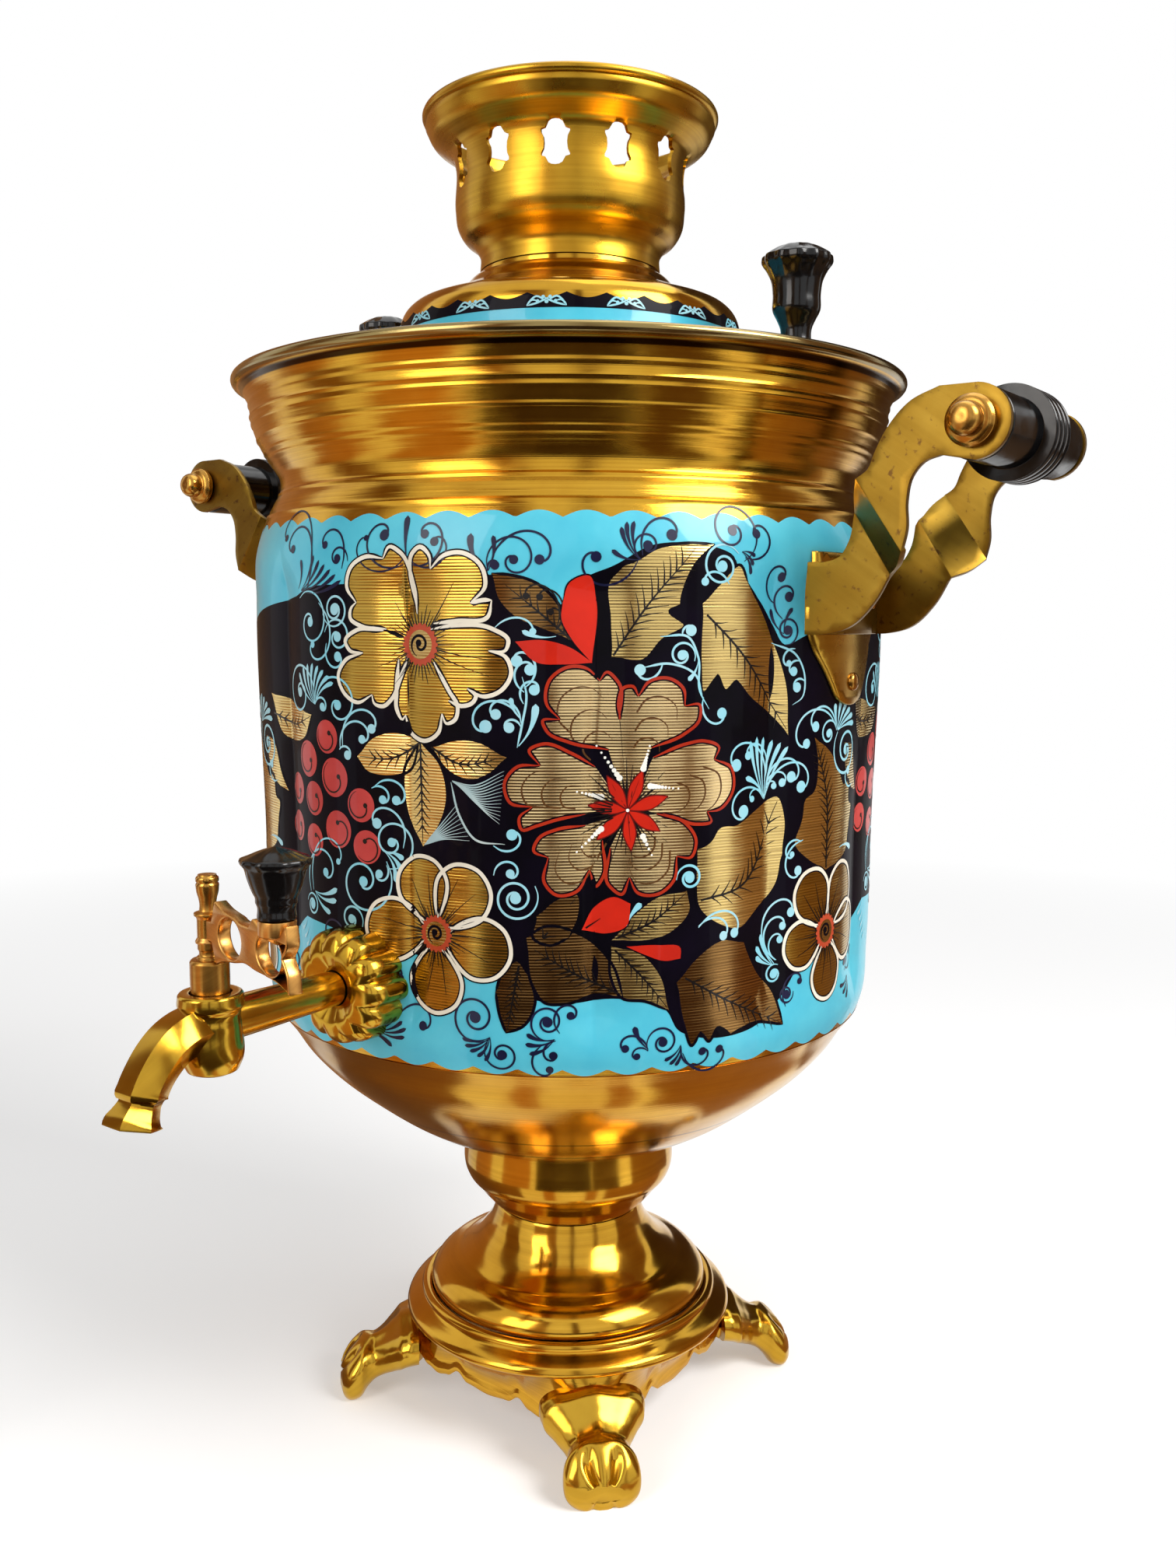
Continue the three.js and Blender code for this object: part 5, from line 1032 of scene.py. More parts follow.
ACORN_RADIUS, ACORN_CAP_RADIUS, ACORN_HIGH = 6.4, 4.1, 8.6
acorn = scaled([(0, 0), (0.85, 0), (1, 0.12), (1, 0.28), (0.85, 0.4)], ACORN_RADIUS, 0, ACORN_HIGH)
acorn += scaled([(1, 0.45), (1, 0.75), (0.8, 0.92), (0.4, 1), (0, 1)], ACORN_CAP_RADIUS, 0, ACORN_HIGH)
acorn = lathe(smooth(acorn, 0.4, 42, 0.2), 64)
rivet_head = lathe([(2.6, -0.6), (2.6, 0.3), (2.4, 0.8), (1.9, 1.15), (1.1, 1.35), (0, 1.4)], 40)
RIVET_HALF, RIVET_HEIGHT, LOW_RIVET_HEIGHT = 10.75, 267.65, 244.375
RIVETS = (
    ("a", -RIVET_HALF, RIVET_HEIGHT, strap_inside + STRAP_SHEET),
    ("b", RIVET_HALF, RIVET_HEIGHT, strap_inside + STRAP_SHEET),
    ("low", 0, LOW_RIVET_HEIGHT, GAP + PLATE_SHEET),
)
at_grip = (GRIP_PLACE, 0, GRIP_HEIGHT)

for side, turn in (("right", 0), ("left", 180)):
    start, round_to = f"handle_{side}", ("Z", turn)
    piece(f"{start}_plate", moved(handle_plate, round_to), plate_brass, f"handle_plate_{side}", sharp=50)
    piece(f"{start}_strap", moved(handle_strap, round_to), strap_brass, f"handle_strap_{side}", sharp=55)
    roller = moved(grip(), ("X", -90), at_grip, round_to)
    piece(f"{start}_grip", roller, bakelite, f"grip_{side}", f"grip_{side}")
    for end, facing in (("a", 90), ("b", -90)):
        nut = moved(acorn, (0, 0, GRIP_HALF + GAP), ("X", facing), at_grip, round_to)
        piece(f"{start}_acorn_{end}", nut, worn_brass, f"acorn_nut_{side}_{end}")
    for end, across, height, lift in RIVETS:
        place = Vector(wall_place(across, height, lift))
        lean = math.degrees(math.atan2(place.y, place.x))
        head = moved(rivet_head, ("Y", 90), ("Z", lean), tuple(place), round_to)
        piece(f"{start}_rivet_{end}", head, worn_brass, f"rivet_{side}_{end}")

# Inlet at the back
SHROUD_INNER, SHROUD_OUTER, SHROUD_DEEP, SHROUD_LONG, SHROUD_BEVEL = 19.4, 21, 5.2, 29.9, 0.8
back_face = radius_at(wall_line, TAP_HEIGHT)
shroud_low, shroud_high = back_face - SHROUD_DEEP, back_face + SHROUD_LONG
shroud = [
    (SHROUD_INNER, shroud_low), (SHROUD_OUTER, shroud_low), (SHROUD_OUTER, shroud_high - SHROUD_BEVEL),
    (SHROUD_OUTER - SHROUD_BEVEL, shroud_high), (SHROUD_INNER, shroud_high), (SHROUD_INNER, shroud_low),
]
shroud = moved(lathe(smooth(shroud, 1.5), 96), ("X", -90), (0, 0, TAP_HEIGHT))
piece("inlet_round_shroud", shroud, brass, "inlet_shroud")

# CAD nodes that stay, each with its own finish
finishes = {
    steel: (
        "foot_screw", "lid_screw", "tie_bolt", "tie_washer", "tie_nut", "grip_rod", "heating_element",
        "inlet_pin",
    ),
    rubber: ("tie_seal", "tap_gasket", "terminal_seal"),
    worn_brass: ("tap_nut", "terminal_nut"),
    ceramic: ("inlet_insulator",),
}
for look, starts in finishes.items():
    for name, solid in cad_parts.items():
        if name.startswith(starts):
            solid.data.materials.clear()
            solid.data.materials.append(look.material)

# Paint. Motifs are laid out flat, in degrees round the wall and in heights, then laid on the wall in
# layers a hair above each other. They fill a third of the way round and come three times.
ARC = math.radians(BODY_RADIUS)  # length of one degree on the wall
CREASES = [(LOBE_TURN + 360 / LOBE_COUNT * (i + 0.5)) * ARC for i in range(-3, 6)]
LAYER = 0.045
CELL = 1.8
REPEATS = (0, 120, 240)
wall_radii, wall_heights = np.array(wall_line).T


def on_wall(points, lift, turn=0.0):
    """Flat points in millimetres, laid on the lobed wall."""
    across, height = np.array([tuple(p) for p in points], float).T
    angle = np.radians(across / ARC + turn)
    reach = lobed(np.interp(height, wall_heights, wall_radii), height, angle) + lift
    return turned(reach, angle, height)


def strips(columns, rows):
    """Faces between columns of points that go all round."""
    faces = []
    for i in range(columns):
        a, b = i * (rows + 1), (i + 1) % columns * (rows + 1)
        faces += [(a + j, b + j, b + j + 1, a + j + 1) for j in range(rows)]
    return faces


def band(low, high, lift, columns=720, rows=90):
    """A painted band all round, between two edges, each a height for an angle in degrees."""
    flat = []
    for i in range(columns):
        degrees = 360 * i / columns
        bottom, top = low(degrees), high(degrees)
        steps = [(1 - math.cos(math.pi * j / rows)) / 2 for j in range(rows + 1)]
        flat += [(degrees * ARC, bottom + (top - bottom) * step) for step in steps]
    return on_wall(flat, lift), strips(columns, rows)


def scallop(level, depth, count):
    """The height of an edge with so many arches all round, for an angle in degrees."""
    return lambda degrees: level + depth * (abs(math.sin(math.radians(degrees * count / 2))) - 0.5)


def border(*points):
    """The height of a border that repeats with the motifs, for an angle in degrees."""
    fine = np.array([tuple(p) for p in spline([Vector(p) for p in points], 1.0)])
    start = fine[0, 0]
    return lambda degrees: float(np.interp((degrees - start) % 120 + start, fine[:, 0], fine[:, 1]))


layers = {}


def flat(points):
    """Points in degrees and heights, as millimetres on the unrolled wall."""
    return [Vector((degrees * ARC, height)) for degrees, height in points]


def put(layer, points, faces):
    layers.setdefault(layer, []).append((points, faces))


def around(centre, radius, angle):
    """The point at a distance from a centre, in a direction in radians."""
    return centre + Vector((math.cos(angle), math.sin(angle))) * radius


def stroke(layer, path, width, start=0.2, end=0.2, thin=0.2):
    """A brush stroke along a flat path, tapered over shares of its length at both ends."""
    path = spline(path, 0.8)
    gone = [0.0]
    for a, b in zip(path, path[1:]):
        gone.append(gone[-1] + (b - a).length)
    left, right = [], []
    for i, here in enumerate(path):
        along = (path[min(i + 1, len(path) - 1)] - path[max(i - 1, 0)]).normalized()
        share = gone[i] / gone[-1]
        full = min(1, share / start if start else 1, (1 - share) / end if end else 1)
        side = Vector((-along.y, along.x)) * width / 2 * (thin + (1 - thin) * full)
        left.append(here + side)
        right.append(here - side)
    count = len(path)
    put(layer, left + right, [(count + i, count + i + 1, i + 1, i) for i in range(count - 1)])


def dot(layer, centre, radius, steps=18):
    ring = [around(centre, radius, 2 * math.pi * i / steps) for i in range(steps)]
    if radius > CELL:
        field(layer, ring)
    else:
        put(layer, ring, [tuple(range(steps))])


def field(layer, outline):
    put(layer, *fill(outline, CELL, CREASES))


def closed(*runs):
    """A closed outline of smooth runs in degrees and heights, with corners between them."""
    return [p for run in runs for p in spline(flat(run), 1.0)]


def scroll(layer, base, centre, turns=1.15, ball=1.0, width=0.6, even=1.3):
    """A scroll from its base that winds in on a ball. Negative turns wind clockwise."""
    base, centre = flat([base, centre])
    away = base - centre
    start, reach = math.atan2(away.y, away.x), away.length
    steps = max(10, int(abs(turns) * 16))
    path = []
    for i in range(steps + 1):
        t = i / steps
        radius = reach * (1 - t) ** even + 0.6 * ball * t
        path.append(around(centre, radius, start + 2 * math.pi * turns * t))
    stroke(layer, path, width, 0.25, 0.02, 0.35)
    dot(layer, centre, ball)


def stem(layer, points, width=0.6):
    stroke(layer, flat(points), width, 0.15, 0.25)


def drop(layer, base, tip, width=1.7, bend=0.12):
    """A comma: thin at its base, full and round at its tip."""
    a, b = flat([base, tip])
    side = Vector((a.y - b.y, b.x - a.x)) * bend
    left, right, steps = [], [], 16
    for i in range(steps + 1):
        t = i / steps
        along = (b - a + side * 4 * (1 - 2 * t)).normalized()
        full = (0.1 + 0.9 * t**1.7) * math.sqrt(max(0.0, 1 - max(0.0, (t - 0.8) / 0.2) ** 2))
        across = Vector((-along.y, along.x)) * width / 2 * full
        here = a.lerp(b, t) + side * 4 * t * (1 - t)
        left.append(here + across)
        right.append(here - across)
    put(layer, left + right, [(steps + 1 + i, steps + 2 + i, i + 1, i) for i in range(steps)])


def fan(layer, base, tips, width=1.7, bend=0.12):
    for tip in tips:
        drop(layer, base, tip, width, bend)


def joined(runs, shut=False):
    """The runs, each from the end of the one before it. A shut outline ends where it starts."""
    whole = [runs[0]]
    for run in runs[1:]:
        whole.append([whole[-1][-1], *run])
    if shut:
        whole[-1] = [*whole[-1], runs[0][0]]
    return whole


def leaf(runs, rib, veins, reach, layer):
    """A leaf with a dark rim, a midrib and paired veins that lean towards the tip."""
    runs = joined(runs, True)
    field(layer, closed(*runs))
    for run in runs:
        stroke("rim", flat(run), 0.8, 0.1, 0.1)
    path = spline(flat(rib), 0.8)
    stroke("ink", flat(rib), 0.55, 0.0, 0.6)
    for k in range(1, veins + 1):
        t = k / (veins + 1.6)
        i = int(t * (len(path) - 2))
        along = (path[i + 1] - path[i]).normalized()
        long = reach * (0.55 + 0.9 * t * (1 - t) * 2)
        for way in (-1, 1):
            side = Vector((-along.y, along.x)) * way
            tip = path[i] + along * long * 0.72 + side * long * 0.7
            stroke("ink", [path[i], (path[i] + tip) / 2 + along * 0.25, tip], 0.42, 0.0, 0.8)


def hairs(centre, low, high, count, width=0.38):
    """Fine rays round a centre, of three lengths in turn."""
    for i in range(count):
        angle = 2 * math.pi * i / count
        long = low + (high - low) * (1.0, 0.62, 0.8)[i % 3]
        stroke("ink", [around(centre, low, angle), around(centre, long, angle)], width, 0.0, 1.0)


def curl(middle, radius, steps, start, sweep, share, power):
    """A spiral from a share of the radius to half a radius less, through a sweep of degrees."""
    path = []
    for i in range(steps + 1):
        t = i / steps
        away = around(Vector((0, 0)), 1, math.radians(start + sweep * t))
        path.append(middle + away * radius * (share - 0.5 * t**power))
    return path


def eye(centre, radius=5.2):
    """A flower's middle: a beaded orange ring round a gilt disc with a dark spiral."""
    middle = flat([centre])[0]
    hairs(middle, radius, radius + 5.5, 42)
    dot("bead", middle, radius, 40)
    for i in range(20):
        dot("bead", around(middle, radius, 2 * math.pi * i / 20), 0.55, 10)
    dot("middle", middle, radius * 0.74, 36)
    path = curl(middle, radius, 24, 250, -470, 0.62, 1)
    stroke("top_ink", path, 0.75, 0.3, 0.0)
    dot("top_ink", path[-1], 0.95)


def petal(runs, centre, line="white", width=1.1, gilded="petal"):
    """A petal: its gilt field, then each run of its edge as a light stroke with a dark rim."""
    middle, runs = flat([centre])[0], joined(runs)
    field(gilded, [*closed(*runs), middle])
    for run in runs:
        stroke("rim", flat(run), width + 0.8, 0.12, 0.12, 0.4)
        stroke(line, flat(run), width, 0.22, 0.22, 0.25)
    if gilded == "blush":
        for share in (0.55, 0.7, 0.86):
            for run in runs[1:-1]:
                stroke("brown", [middle + (p - middle) * share for p in flat(run)], 0.5, 0.0, 0.6)


HALF_LOOP = [(0.12, 0.04), (0.3, 0.62), (0.6, 1.05), (0.86, 0.82)]
LOOP_SHARES = [*HALF_LOOP, (1, 0), *[(along, -side) for along, side in reversed(HALF_LOOP)]]


def round_petals(centre, ends):
    """Loop petals between a centre and each of the ends."""
    middle = flat([centre])[0]
    for end in flat(ends):
        along = end - middle
        side = Vector((-along.y, along.x)) * 0.36
        points = [middle + along * a + side * b for a, b in LOOP_SHARES]
        field("petal", spline(points, 1.0))
        stroke("rim", points, 1.9, 0.05, 0.05, 0.5)
        stroke("white", points, 1.1, 0.15, 0.15, 0.35)
        for lean in (-0.12, 0.14):
            tip = middle + along * 0.75 + side * lean * 3
            stroke("ink", [middle, (middle + tip) / 2 + side * 0.06, tip], 0.4, 0.0, 0.9)
    eye(centre, 4.6)


def berry(centre, radius, turn):
    """A red berry with a dark curl along the inside of its edge."""
    middle = flat([centre])[0]
    field("berry", [around(middle, radius, math.radians(i * 10)) for i in range(36)])
    path = curl(middle, radius, 21, turn, 250, 0.86, 3)
    stroke("ink", path, 0.45, 0.4, 0.05)
    dot("ink", path[-1], 0.7)


def beads(start, end, count=8):
    """A row of white dots that grow towards its end."""
    a, b = flat([start, end])
    for i in range(count):
        t = i / (count - 1)
        dot("bead_white", a.lerp(b, t**0.8), 0.28 + 0.55 * t**1.5, 14)


TOP_BORDER = [
    (-14, 268), (-10, 270), (0, 271), (12, 272), (25, 273), (31, 271.5), (35.5, 265.5), (40, 273),
    (43, 275), (50, 281), (58, 281), (62, 279), (64, 273), (68, 267), (71, 261), (74, 255), (77, 257),
    (90, 264), (106, 268),
]
LOW_BORDER = [
    (-14, 176), (-5, 175), (3, 172), (10, 171), (24, 168), (28, 165), (32, 161), (37, 160), (45, 161),
    (52, 158), (55, 151), (58, 149), (70, 150), (75, 156), (80, 165), (90, 166), (98, 169), (106, 176),
]

# Flowers
ONE = (13.5, 255)
ONE_PETALS = [
    [
        [(13, 263), (12.5, 270), (10.5, 279), (8.6, 280.5), (7.4, 277.5)],
        [(4, 278), (1, 275), (0.2, 270), (2, 266)], [(1, 264.5), (0.8, 262), (3, 259.7), (7.5, 259)],
    ],
    [
        [(16, 260.5), (20, 261.2), (25, 262.5), (25.5, 266.5)], [(24.6, 266.6), (22.2, 265.8)],
        [(24.5, 270), (24, 275), (21, 278.6), (18, 278), (15.7, 274.6)],
        [(15.6, 278), (14, 280.3), (12.6, 278.5), (12, 274), (13, 264)],
    ],
    [
        [(18.5, 240.5), (20.6, 239.2), (22.6, 240.4), (23, 241.8), (21.6, 243.8)],
        [(24, 241.8), (27, 243.6), (28.4, 248), (27.6, 252), (25, 253.6)],
        [(27.6, 253.8), (28, 256.2), (25.6, 259.2), (20, 260.1), (15.5, 259)],
    ],
    [
        [(9.5, 251), (9, 242.3), (9, 237.5), (9.9, 235), (10.4, 236.2)],
        [(11.2, 231.8), (14, 229.6), (16.6, 232), (17.3, 237)],
        [(18, 234.5), (19.5, 235.5), (20, 239), (18.6, 243), (16, 250.5)],
    ],
    [
        [(7, 258.6), (2, 258.6), (-0.3, 255.6), (0.6, 253.2), (3.2, 252.6)],
        [(-0.4, 250.4), (-2, 246), (-1, 242), (2, 239.2), (4.7, 241.4)],
        [(5, 239.2), (6.6, 238.4), (8.2, 240.5), (9.7, 246), (11, 251.5)],
    ],
]
for runs in ONE_PETALS:
    petal(runs, ONE)
eye(ONE)
for tip in ((19.5, 271), (9, 266), (25, 247), (27, 251), (6, 249), (8.5, 244)):
    stroke("ink", flat([ONE, ((ONE[0] + tip[0]) / 2, (ONE[1] + tip[1]) / 2 - 0.6), tip]), 0.4, 0.0, 0.9)

TWO = (46, 212)
TWO_PETALS = [
    [
        [(43, 228), (37, 230), (33.6, 233), (33, 235.6), (35.6, 236)],
        [(33.6, 240), (34, 246), (37, 249.6), (39.8, 249), (41.6, 246)],
        [(42.6, 248.2), (44.4, 245.6), (44.6, 236)],
    ],
    [
        [(44.7, 236), (44.5, 241), (45.2, 244.2), (46.6, 244.5), (47.4, 242)],
        [(49, 245.8), (52, 246.6), (54.4, 243.6), (54.6, 239.4)],
        [(57, 239.6), (57, 235.6), (54.6, 232), (49.5, 228.5)],
    ],
    [
        [(49.8, 226), (55, 229.4), (58, 230), (60.6, 228), (59.8, 225)],
        [(63, 222.4), (63.6, 217), (61, 211.4), (58.8, 211)],
        [(59.6, 208.4), (57, 207.8), (53, 210), (50.5, 211)],
    ],
    [
        [(51.5, 211), (55, 208.4), (57, 203), (56.2, 199), (53.8, 199.4)],
        [(53.4, 193), (51, 189.5), (47.6, 190), (46.4, 194)], [(45.2, 189.5), (43.2, 192), (43.4, 202)],
    ],
    [
        [(42.2, 204), (42.3, 194), (41.3, 191.6), (40.2, 196)],
        [(38.2, 190.4), (35, 189.6), (33.2, 193), (33.8, 199.6)],
        [(31.6, 201.4), (32.4, 204.8), (35, 207), (39.5, 208)],
    ],
    [
        [(39.5, 211), (35, 209.6), (32, 208), (29.8, 207), (29.4, 210), (31.4, 213)],
        [(28, 214.2), (27.2, 219), (29.2, 223.6), (32.6, 224)],
        [(31, 228), (33, 229.6), (37.5, 227), (41, 223.5)],
    ],
]
for runs in TWO_PETALS:
    petal(runs, TWO, "red", 0.85, "blush")
two = flat([TWO])[0]
hairs(two, 0.5, 9.5, 54, 1.2)
hairs(two, 4, 14, 47, 0.5)
STAR_POINT_SHARES = [(0, 0), (0.3, 0.75), (0.55, 1), (0.8, 0.6), (1, 0)]
for k in range(7):
    angle = math.radians(70 + 360 / 7 * k)
    away = Vector((math.cos(angle), math.sin(angle))) * (11.0 + 0.5 * math.cos(2 * k))
    side = Vector((-away.y, away.x)).normalized() * 1.75
    half_line = [two + away * a + side * s for a, s in STAR_POINT_SHARES]
    other = [two + away * a - side * s for a, s in reversed(STAR_POINT_SHARES)]
    edge = [*spline(half_line, 0.8), *spline(other, 0.8)[1:-1]]
    field("star", edge)
    for half_edge in (half_line, other):
        stroke("star_edge", half_edge, 0.3, 0, 0, 1)
    stroke("star_edge", [two, two + away * 0.75], 0.3, 0.0, 0.8)
dot("bead_white", two, 0.45)
beads((41.2, 229), (44.7, 220.6))
beads((49.2, 229), (48.3, 223))
beads((53.8, 217.6), (49.4, 218.4), 9)
beads((38.2, 217), (42, 215.5))
beads((38.2, 201), (42, 207))
beads((49.8, 200), (48.4, 205), 5)

round_petals((15.5, 177.5), [(11.5, 198), (23, 195.5), (28, 172.5), (15.2, 155.5), (2.4, 177.5)])
round_petals((85.7, 172.5), [(79.5, 190.5), (94.5, 189.5), (99, 169.5), (87.3, 152), (75.3, 168.5)])

# Leaves
LEAVES = [
    ([[(1.3, 224.5), (4.5, 230), (8, 231.7), (13, 230)], [(11, 221.5), (6, 219.4), (3, 220.6)]],
     [(13, 229), (8, 224.5), (2, 224.5)], 6, 4, "leaf"),
    ([[(15.2, 228), (19, 230.2), (23, 230.2), (27.7, 226)], [(25, 221.5), (22, 219.6), (18, 222)]],
     [(15.2, 228), (20, 224), (27.2, 226)], 7, 3.6, "leaf"),
    ([[(13, 229.5), (10, 222), (9.8, 214), (11, 206), (13.2, 200.8)],
      [(16.2, 206.5), (17.9, 215), (16.6, 224)]],
     [(13.1, 229), (13.1, 216), (13.1, 202)], 10, 4.2, "leaf"),
    ([[(25.5, 273.4), (28, 273), (32, 271), (35, 266.5), (37.5, 256)],
      [(33, 259), (28.6, 262.5), (26.3, 267)]],
     [(37.3, 256.5), (32.5, 263.5), (27.5, 270.5)], 6, 4, "dark_leaf"),
    ([[(36, 266), (37, 271), (40, 272.8), (41, 267), (40.4, 250.5)], [(37.2, 257), (35.8, 262)]],
     [(40, 252), (38.6, 262), (38.4, 271)], 0, 0, "star"),
    ([[(29, 256), (33, 256.4), (37, 254.6), (40.5, 250.6)], [(36, 250.2), (32, 250.8)]],
     [(40, 251), (36, 253), (31, 254.8)], 0, 0, "star"),
    ([[(43.3, 252), (43, 262), (43, 272), (45, 275.4)],
      [(47, 277), (50, 280), (54, 281.3), (59.3, 281.3)], [(56, 276), (54.5, 271), (53.6, 265.6)],
      [(52, 264), (54.4, 260.4), (51, 256.6), (48, 251.2)]],
     [(43.6, 252.5), (48.5, 265), (56, 280)], 12, 6.5, "leaf"),
    ([[(57.2, 266), (60, 271), (63.8, 276), (65.4, 271.5)],
      [(68, 266), (71.8, 255), (74.4, 243), (74.9, 230)], [(71, 236), (66, 241.5), (63.5, 246)],
      [(61.5, 243.2), (60, 247.6)], [(57.6, 242.6), (57, 250)]],
     [(58, 263), (65, 252), (74.4, 232)], 11, 6, "leaf"),
    ([[(80.6, 229.4), (84.5, 226), (88.5, 219.5), (90.6, 214.5)], [(93, 215.5), (93.8, 209)],
      [(95.4, 208), (94.5, 201.5)], [(93.5, 195), (89, 191.4), (85.3, 190.4)],
      [(80.5, 194), (77, 199.5), (78.6, 206.5)], [(79, 212), (81, 214), (81.7, 221)]],
     [(85.4, 191), (85, 210), (81.2, 228)], 13, 5.5, "leaf"),
    ([[(57.2, 201), (59.5, 203), (61, 206.4), (64.8, 206.8)],
      [(69, 211), (73.3, 213.6), (75, 207), (74.6, 197)], [(73.4, 188.5), (71, 184), (69, 182)],
      [(66, 178), (61, 180), (57.6, 185), (57, 192)]],
     [(58, 187), (66, 190), (73.2, 212)], 10, 6, "leaf"),
    ([[(54, 165), (57, 171), (62, 175.6), (66.5, 174)], [(69.5, 165.5), (73.4, 158), (75.2, 148.2)],
      [(69, 150.4), (64, 148.6)], [(61.5, 151), (60, 147.4), (58.4, 150.6)], [(57, 146.8), (55.4, 153)]],
     [(55.5, 166), (63, 158.5), (74.8, 148.8)], 11, 5.5, "dark_leaf"),
    ([[(32, 184), (35, 188.5), (38.4, 189.7), (38.5, 183), (37, 178)], [(34, 176), (31.5, 178)]],
     [(33, 178), (38, 188.5)], 7, 3.5, "dark_leaf"),
    ([[(30.4, 178), (33, 181), (39, 178.6), (44, 170), (45.6, 161.3)],
      [(41, 162), (37, 160), (33, 160.6), (31.4, 165)]],
     [(44.8, 162.5), (38, 168), (31.6, 175)], 10, 5, "dark_leaf"),
    ([[(25.6, 163), (26.2, 156.5), (27.2, 151.8)], [(30, 154), (31.8, 160.5), (31, 167.5)],
      [(29, 172), (26.6, 168)]],
     [(29.3, 170.5), (28.4, 162), (27.4, 152.6)], 8, 3.2, "dark_leaf"),
    ([[(43.6, 177), (47, 184), (51, 189), (55.6, 190)], [(56.3, 185), (53, 178.6), (48.5, 176.6)]],
     [(44.4, 177.6), (50, 182), (55.4, 189.3)], 8, 4, "leaf"),
    ([[(43.6, 175.6), (48, 174), (51.6, 167), (53, 157.2)], [(49, 160.2), (45.4, 161.2), (43.6, 167)]],
     [(44.2, 174.4), (48.5, 167), (52.7, 158)], 8, 3.8, "leaf"),
    ([[(-26, 240), (-19, 239), (-13.5, 236.6), (-9.5, 235)], [(-12, 228.4), (-17, 226.4), (-22, 228)]],
     [(-25, 234), (-16, 231.6), (-10, 234.4)], 6, 4, "leaf"),
    ([[(-30, 227), (-26, 226), (-23, 216), (-20.8, 211)], [(-25, 212.5), (-29, 219)]],
     [(-29, 225.5), (-21.2, 211.6)], 5, 3, "leaf"),
    ([[(39, 180), (41, 186), (44, 188.8), (46.6, 187)], [(46, 181), (43, 179)]],
     [(39.6, 180.4), (42, 183)], 0, 0, "star"),
    ([[(46, 175.4), (51, 175.6), (54.6, 174.4), (54.6, 171.6)], [(52, 171.2), (49, 173)]],
     [(46.4, 175.2), (48, 174.6)], 0, 0, "star"),
]
for runs, rib, veins, reach, layer in LEAVES:
    leaf(runs, rib, veins, reach, layer)
for tip in ((30.6, 267.6), (32.6, 267.4), (34.2, 263.6)):
    scroll("ink", (35, 259), tip, 0.45, 0.9, 0.45)

# Berries
for centre, radius, turn in (
    ((-5.5, 229.2), 4.7, 150), ((-11.5, 222.3), 5.2, 100), ((-4, 218), 5.5, 120), ((-10, 211.2), 4.9, 140),
    ((1.7, 211), 4.7, 110), ((-16.5, 213), 4.6, 90), ((-3.5, 203.5), 5.3, 200), ((-10.3, 199.2), 4.7, 170),
    ((2.7, 199.5), 4.7, 220), ((-17, 202), 4.5, 130),
):
    berry(centre, radius, turn)

# Dark scrolls on the turquoise
NAVY = "navy"
fan(NAVY, (-12, 269.5), [
    (-7.7, 279), (-6.2, 277.6), (-4.8, 276.4), (-3.4, 275), (-2.2, 273.6), (-1, 272),
], 1.5, -0.1)
for row in (
    ((-10, 270), (-14.2, 281), 0.8, 1.2), ((-9.6, 270), (-17.2, 284.3), 0.62, 1.0, 0.5),
    ((-0.8, 275), (-5, 281.6), 0.62, 1.1), ((0.5, 277), (-1.8, 277.8), 1.0, 1.2),
):
    scroll(NAVY, *row)
drop(NAVY, (-13, 270), (-11.4, 278), 1.7, -0.15)
drop(NAVY, (11.6, 276), (11.3, 288.6), 2.4, 0)
for row in (
    ((11.2, 276), (7.5, 283.6), -0.85, 1.5), ((11.5, 278), (4, 283), -0.5, 0.8, 0.45),
    ((11.8, 276), (14.7, 283.6), 0.85, 1.2), ((11.6, 278), (16.4, 281.6), 0.7, 1.2, 0.5),
):
    scroll(NAVY, *row)
drop(NAVY, (25, 274), (22.2, 283.6), 2.4, 0.16)
drop(NAVY, (25, 274), (25.6, 283), 1.7, -0.1)
for row in (
    ((24.9, 274), (28.8, 276.8), -1.3, 1.2, 0.55, 1.0), ((25.2, 275), (32.6, 276.8), -0.62, 1.3),
    ((25, 274), (26, 275.4), -0.6, 1.2),
):
    scroll(NAVY, *row)
fan(NAVY, (47.4, 277), [(43.2, 279.4), (44.7, 285.3), (45.6, 286.6), (46.7, 286.8)], 1.6)
for row in (
    ((47.2, 277), (40.9, 277.6), -0.7, 1.4), ((47.6, 277), (48.6, 280.6), -1.2, 1.3, 0.55, 1.0),
    ((47.8, 278), (52.4, 283.4), -0.6, 1.5), ((64.4, 277), (62.6, 285), 1.5, 1.4, 0.6, 1.0),
    ((64.6, 278), (67, 284.4), 0.8, 1.3),
):
    scroll(NAVY, *row)
fan(NAVY, (64, 279.5), [(66.5, 278.4), (66.2, 276), (65.8, 273.6)], 1.4)
for row in (
    ((73.6, 255), (74, 259), 1.6, 1.3, 0.6, 1.0), ((73, 262), (74.2, 268), -0.8, 1.4),
    ((71.6, 266), (72.4, 273.2), -0.75, 1.3),
):
    scroll(NAVY, *row)
fan(NAVY, (73.3, 258), [(70.7, 264.8), (75, 265)], 1.6)
for row in (
    ((4, 150.6), (3.2, 154.4), -1.6, 1.3, 0.6, 1.0), ((4.4, 152), (8.4, 163.8), -0.55, 1.3),
    ((4.5, 155), (6.4, 160.2), -0.6, 1.2, 0.5), ((8, 152.4), (12.9, 151.4), -0.62, 1.3),
):
    scroll(NAVY, *row)
fan(NAVY, (4.4, 148.4), [(8.2, 154.2), (9, 151.8), (9.8, 150), (9.6, 147.6)], 1.5, -0.1)
drop(NAVY, (1.6, 147.6), (7, 144.2), 1.9, 0.1)
for end in ((1.4, 149.6), (1.3, 147.8), (3, 150)):
    scroll(NAVY, (4.4, 148.4), end, 0.4, 0.7, 0.4)
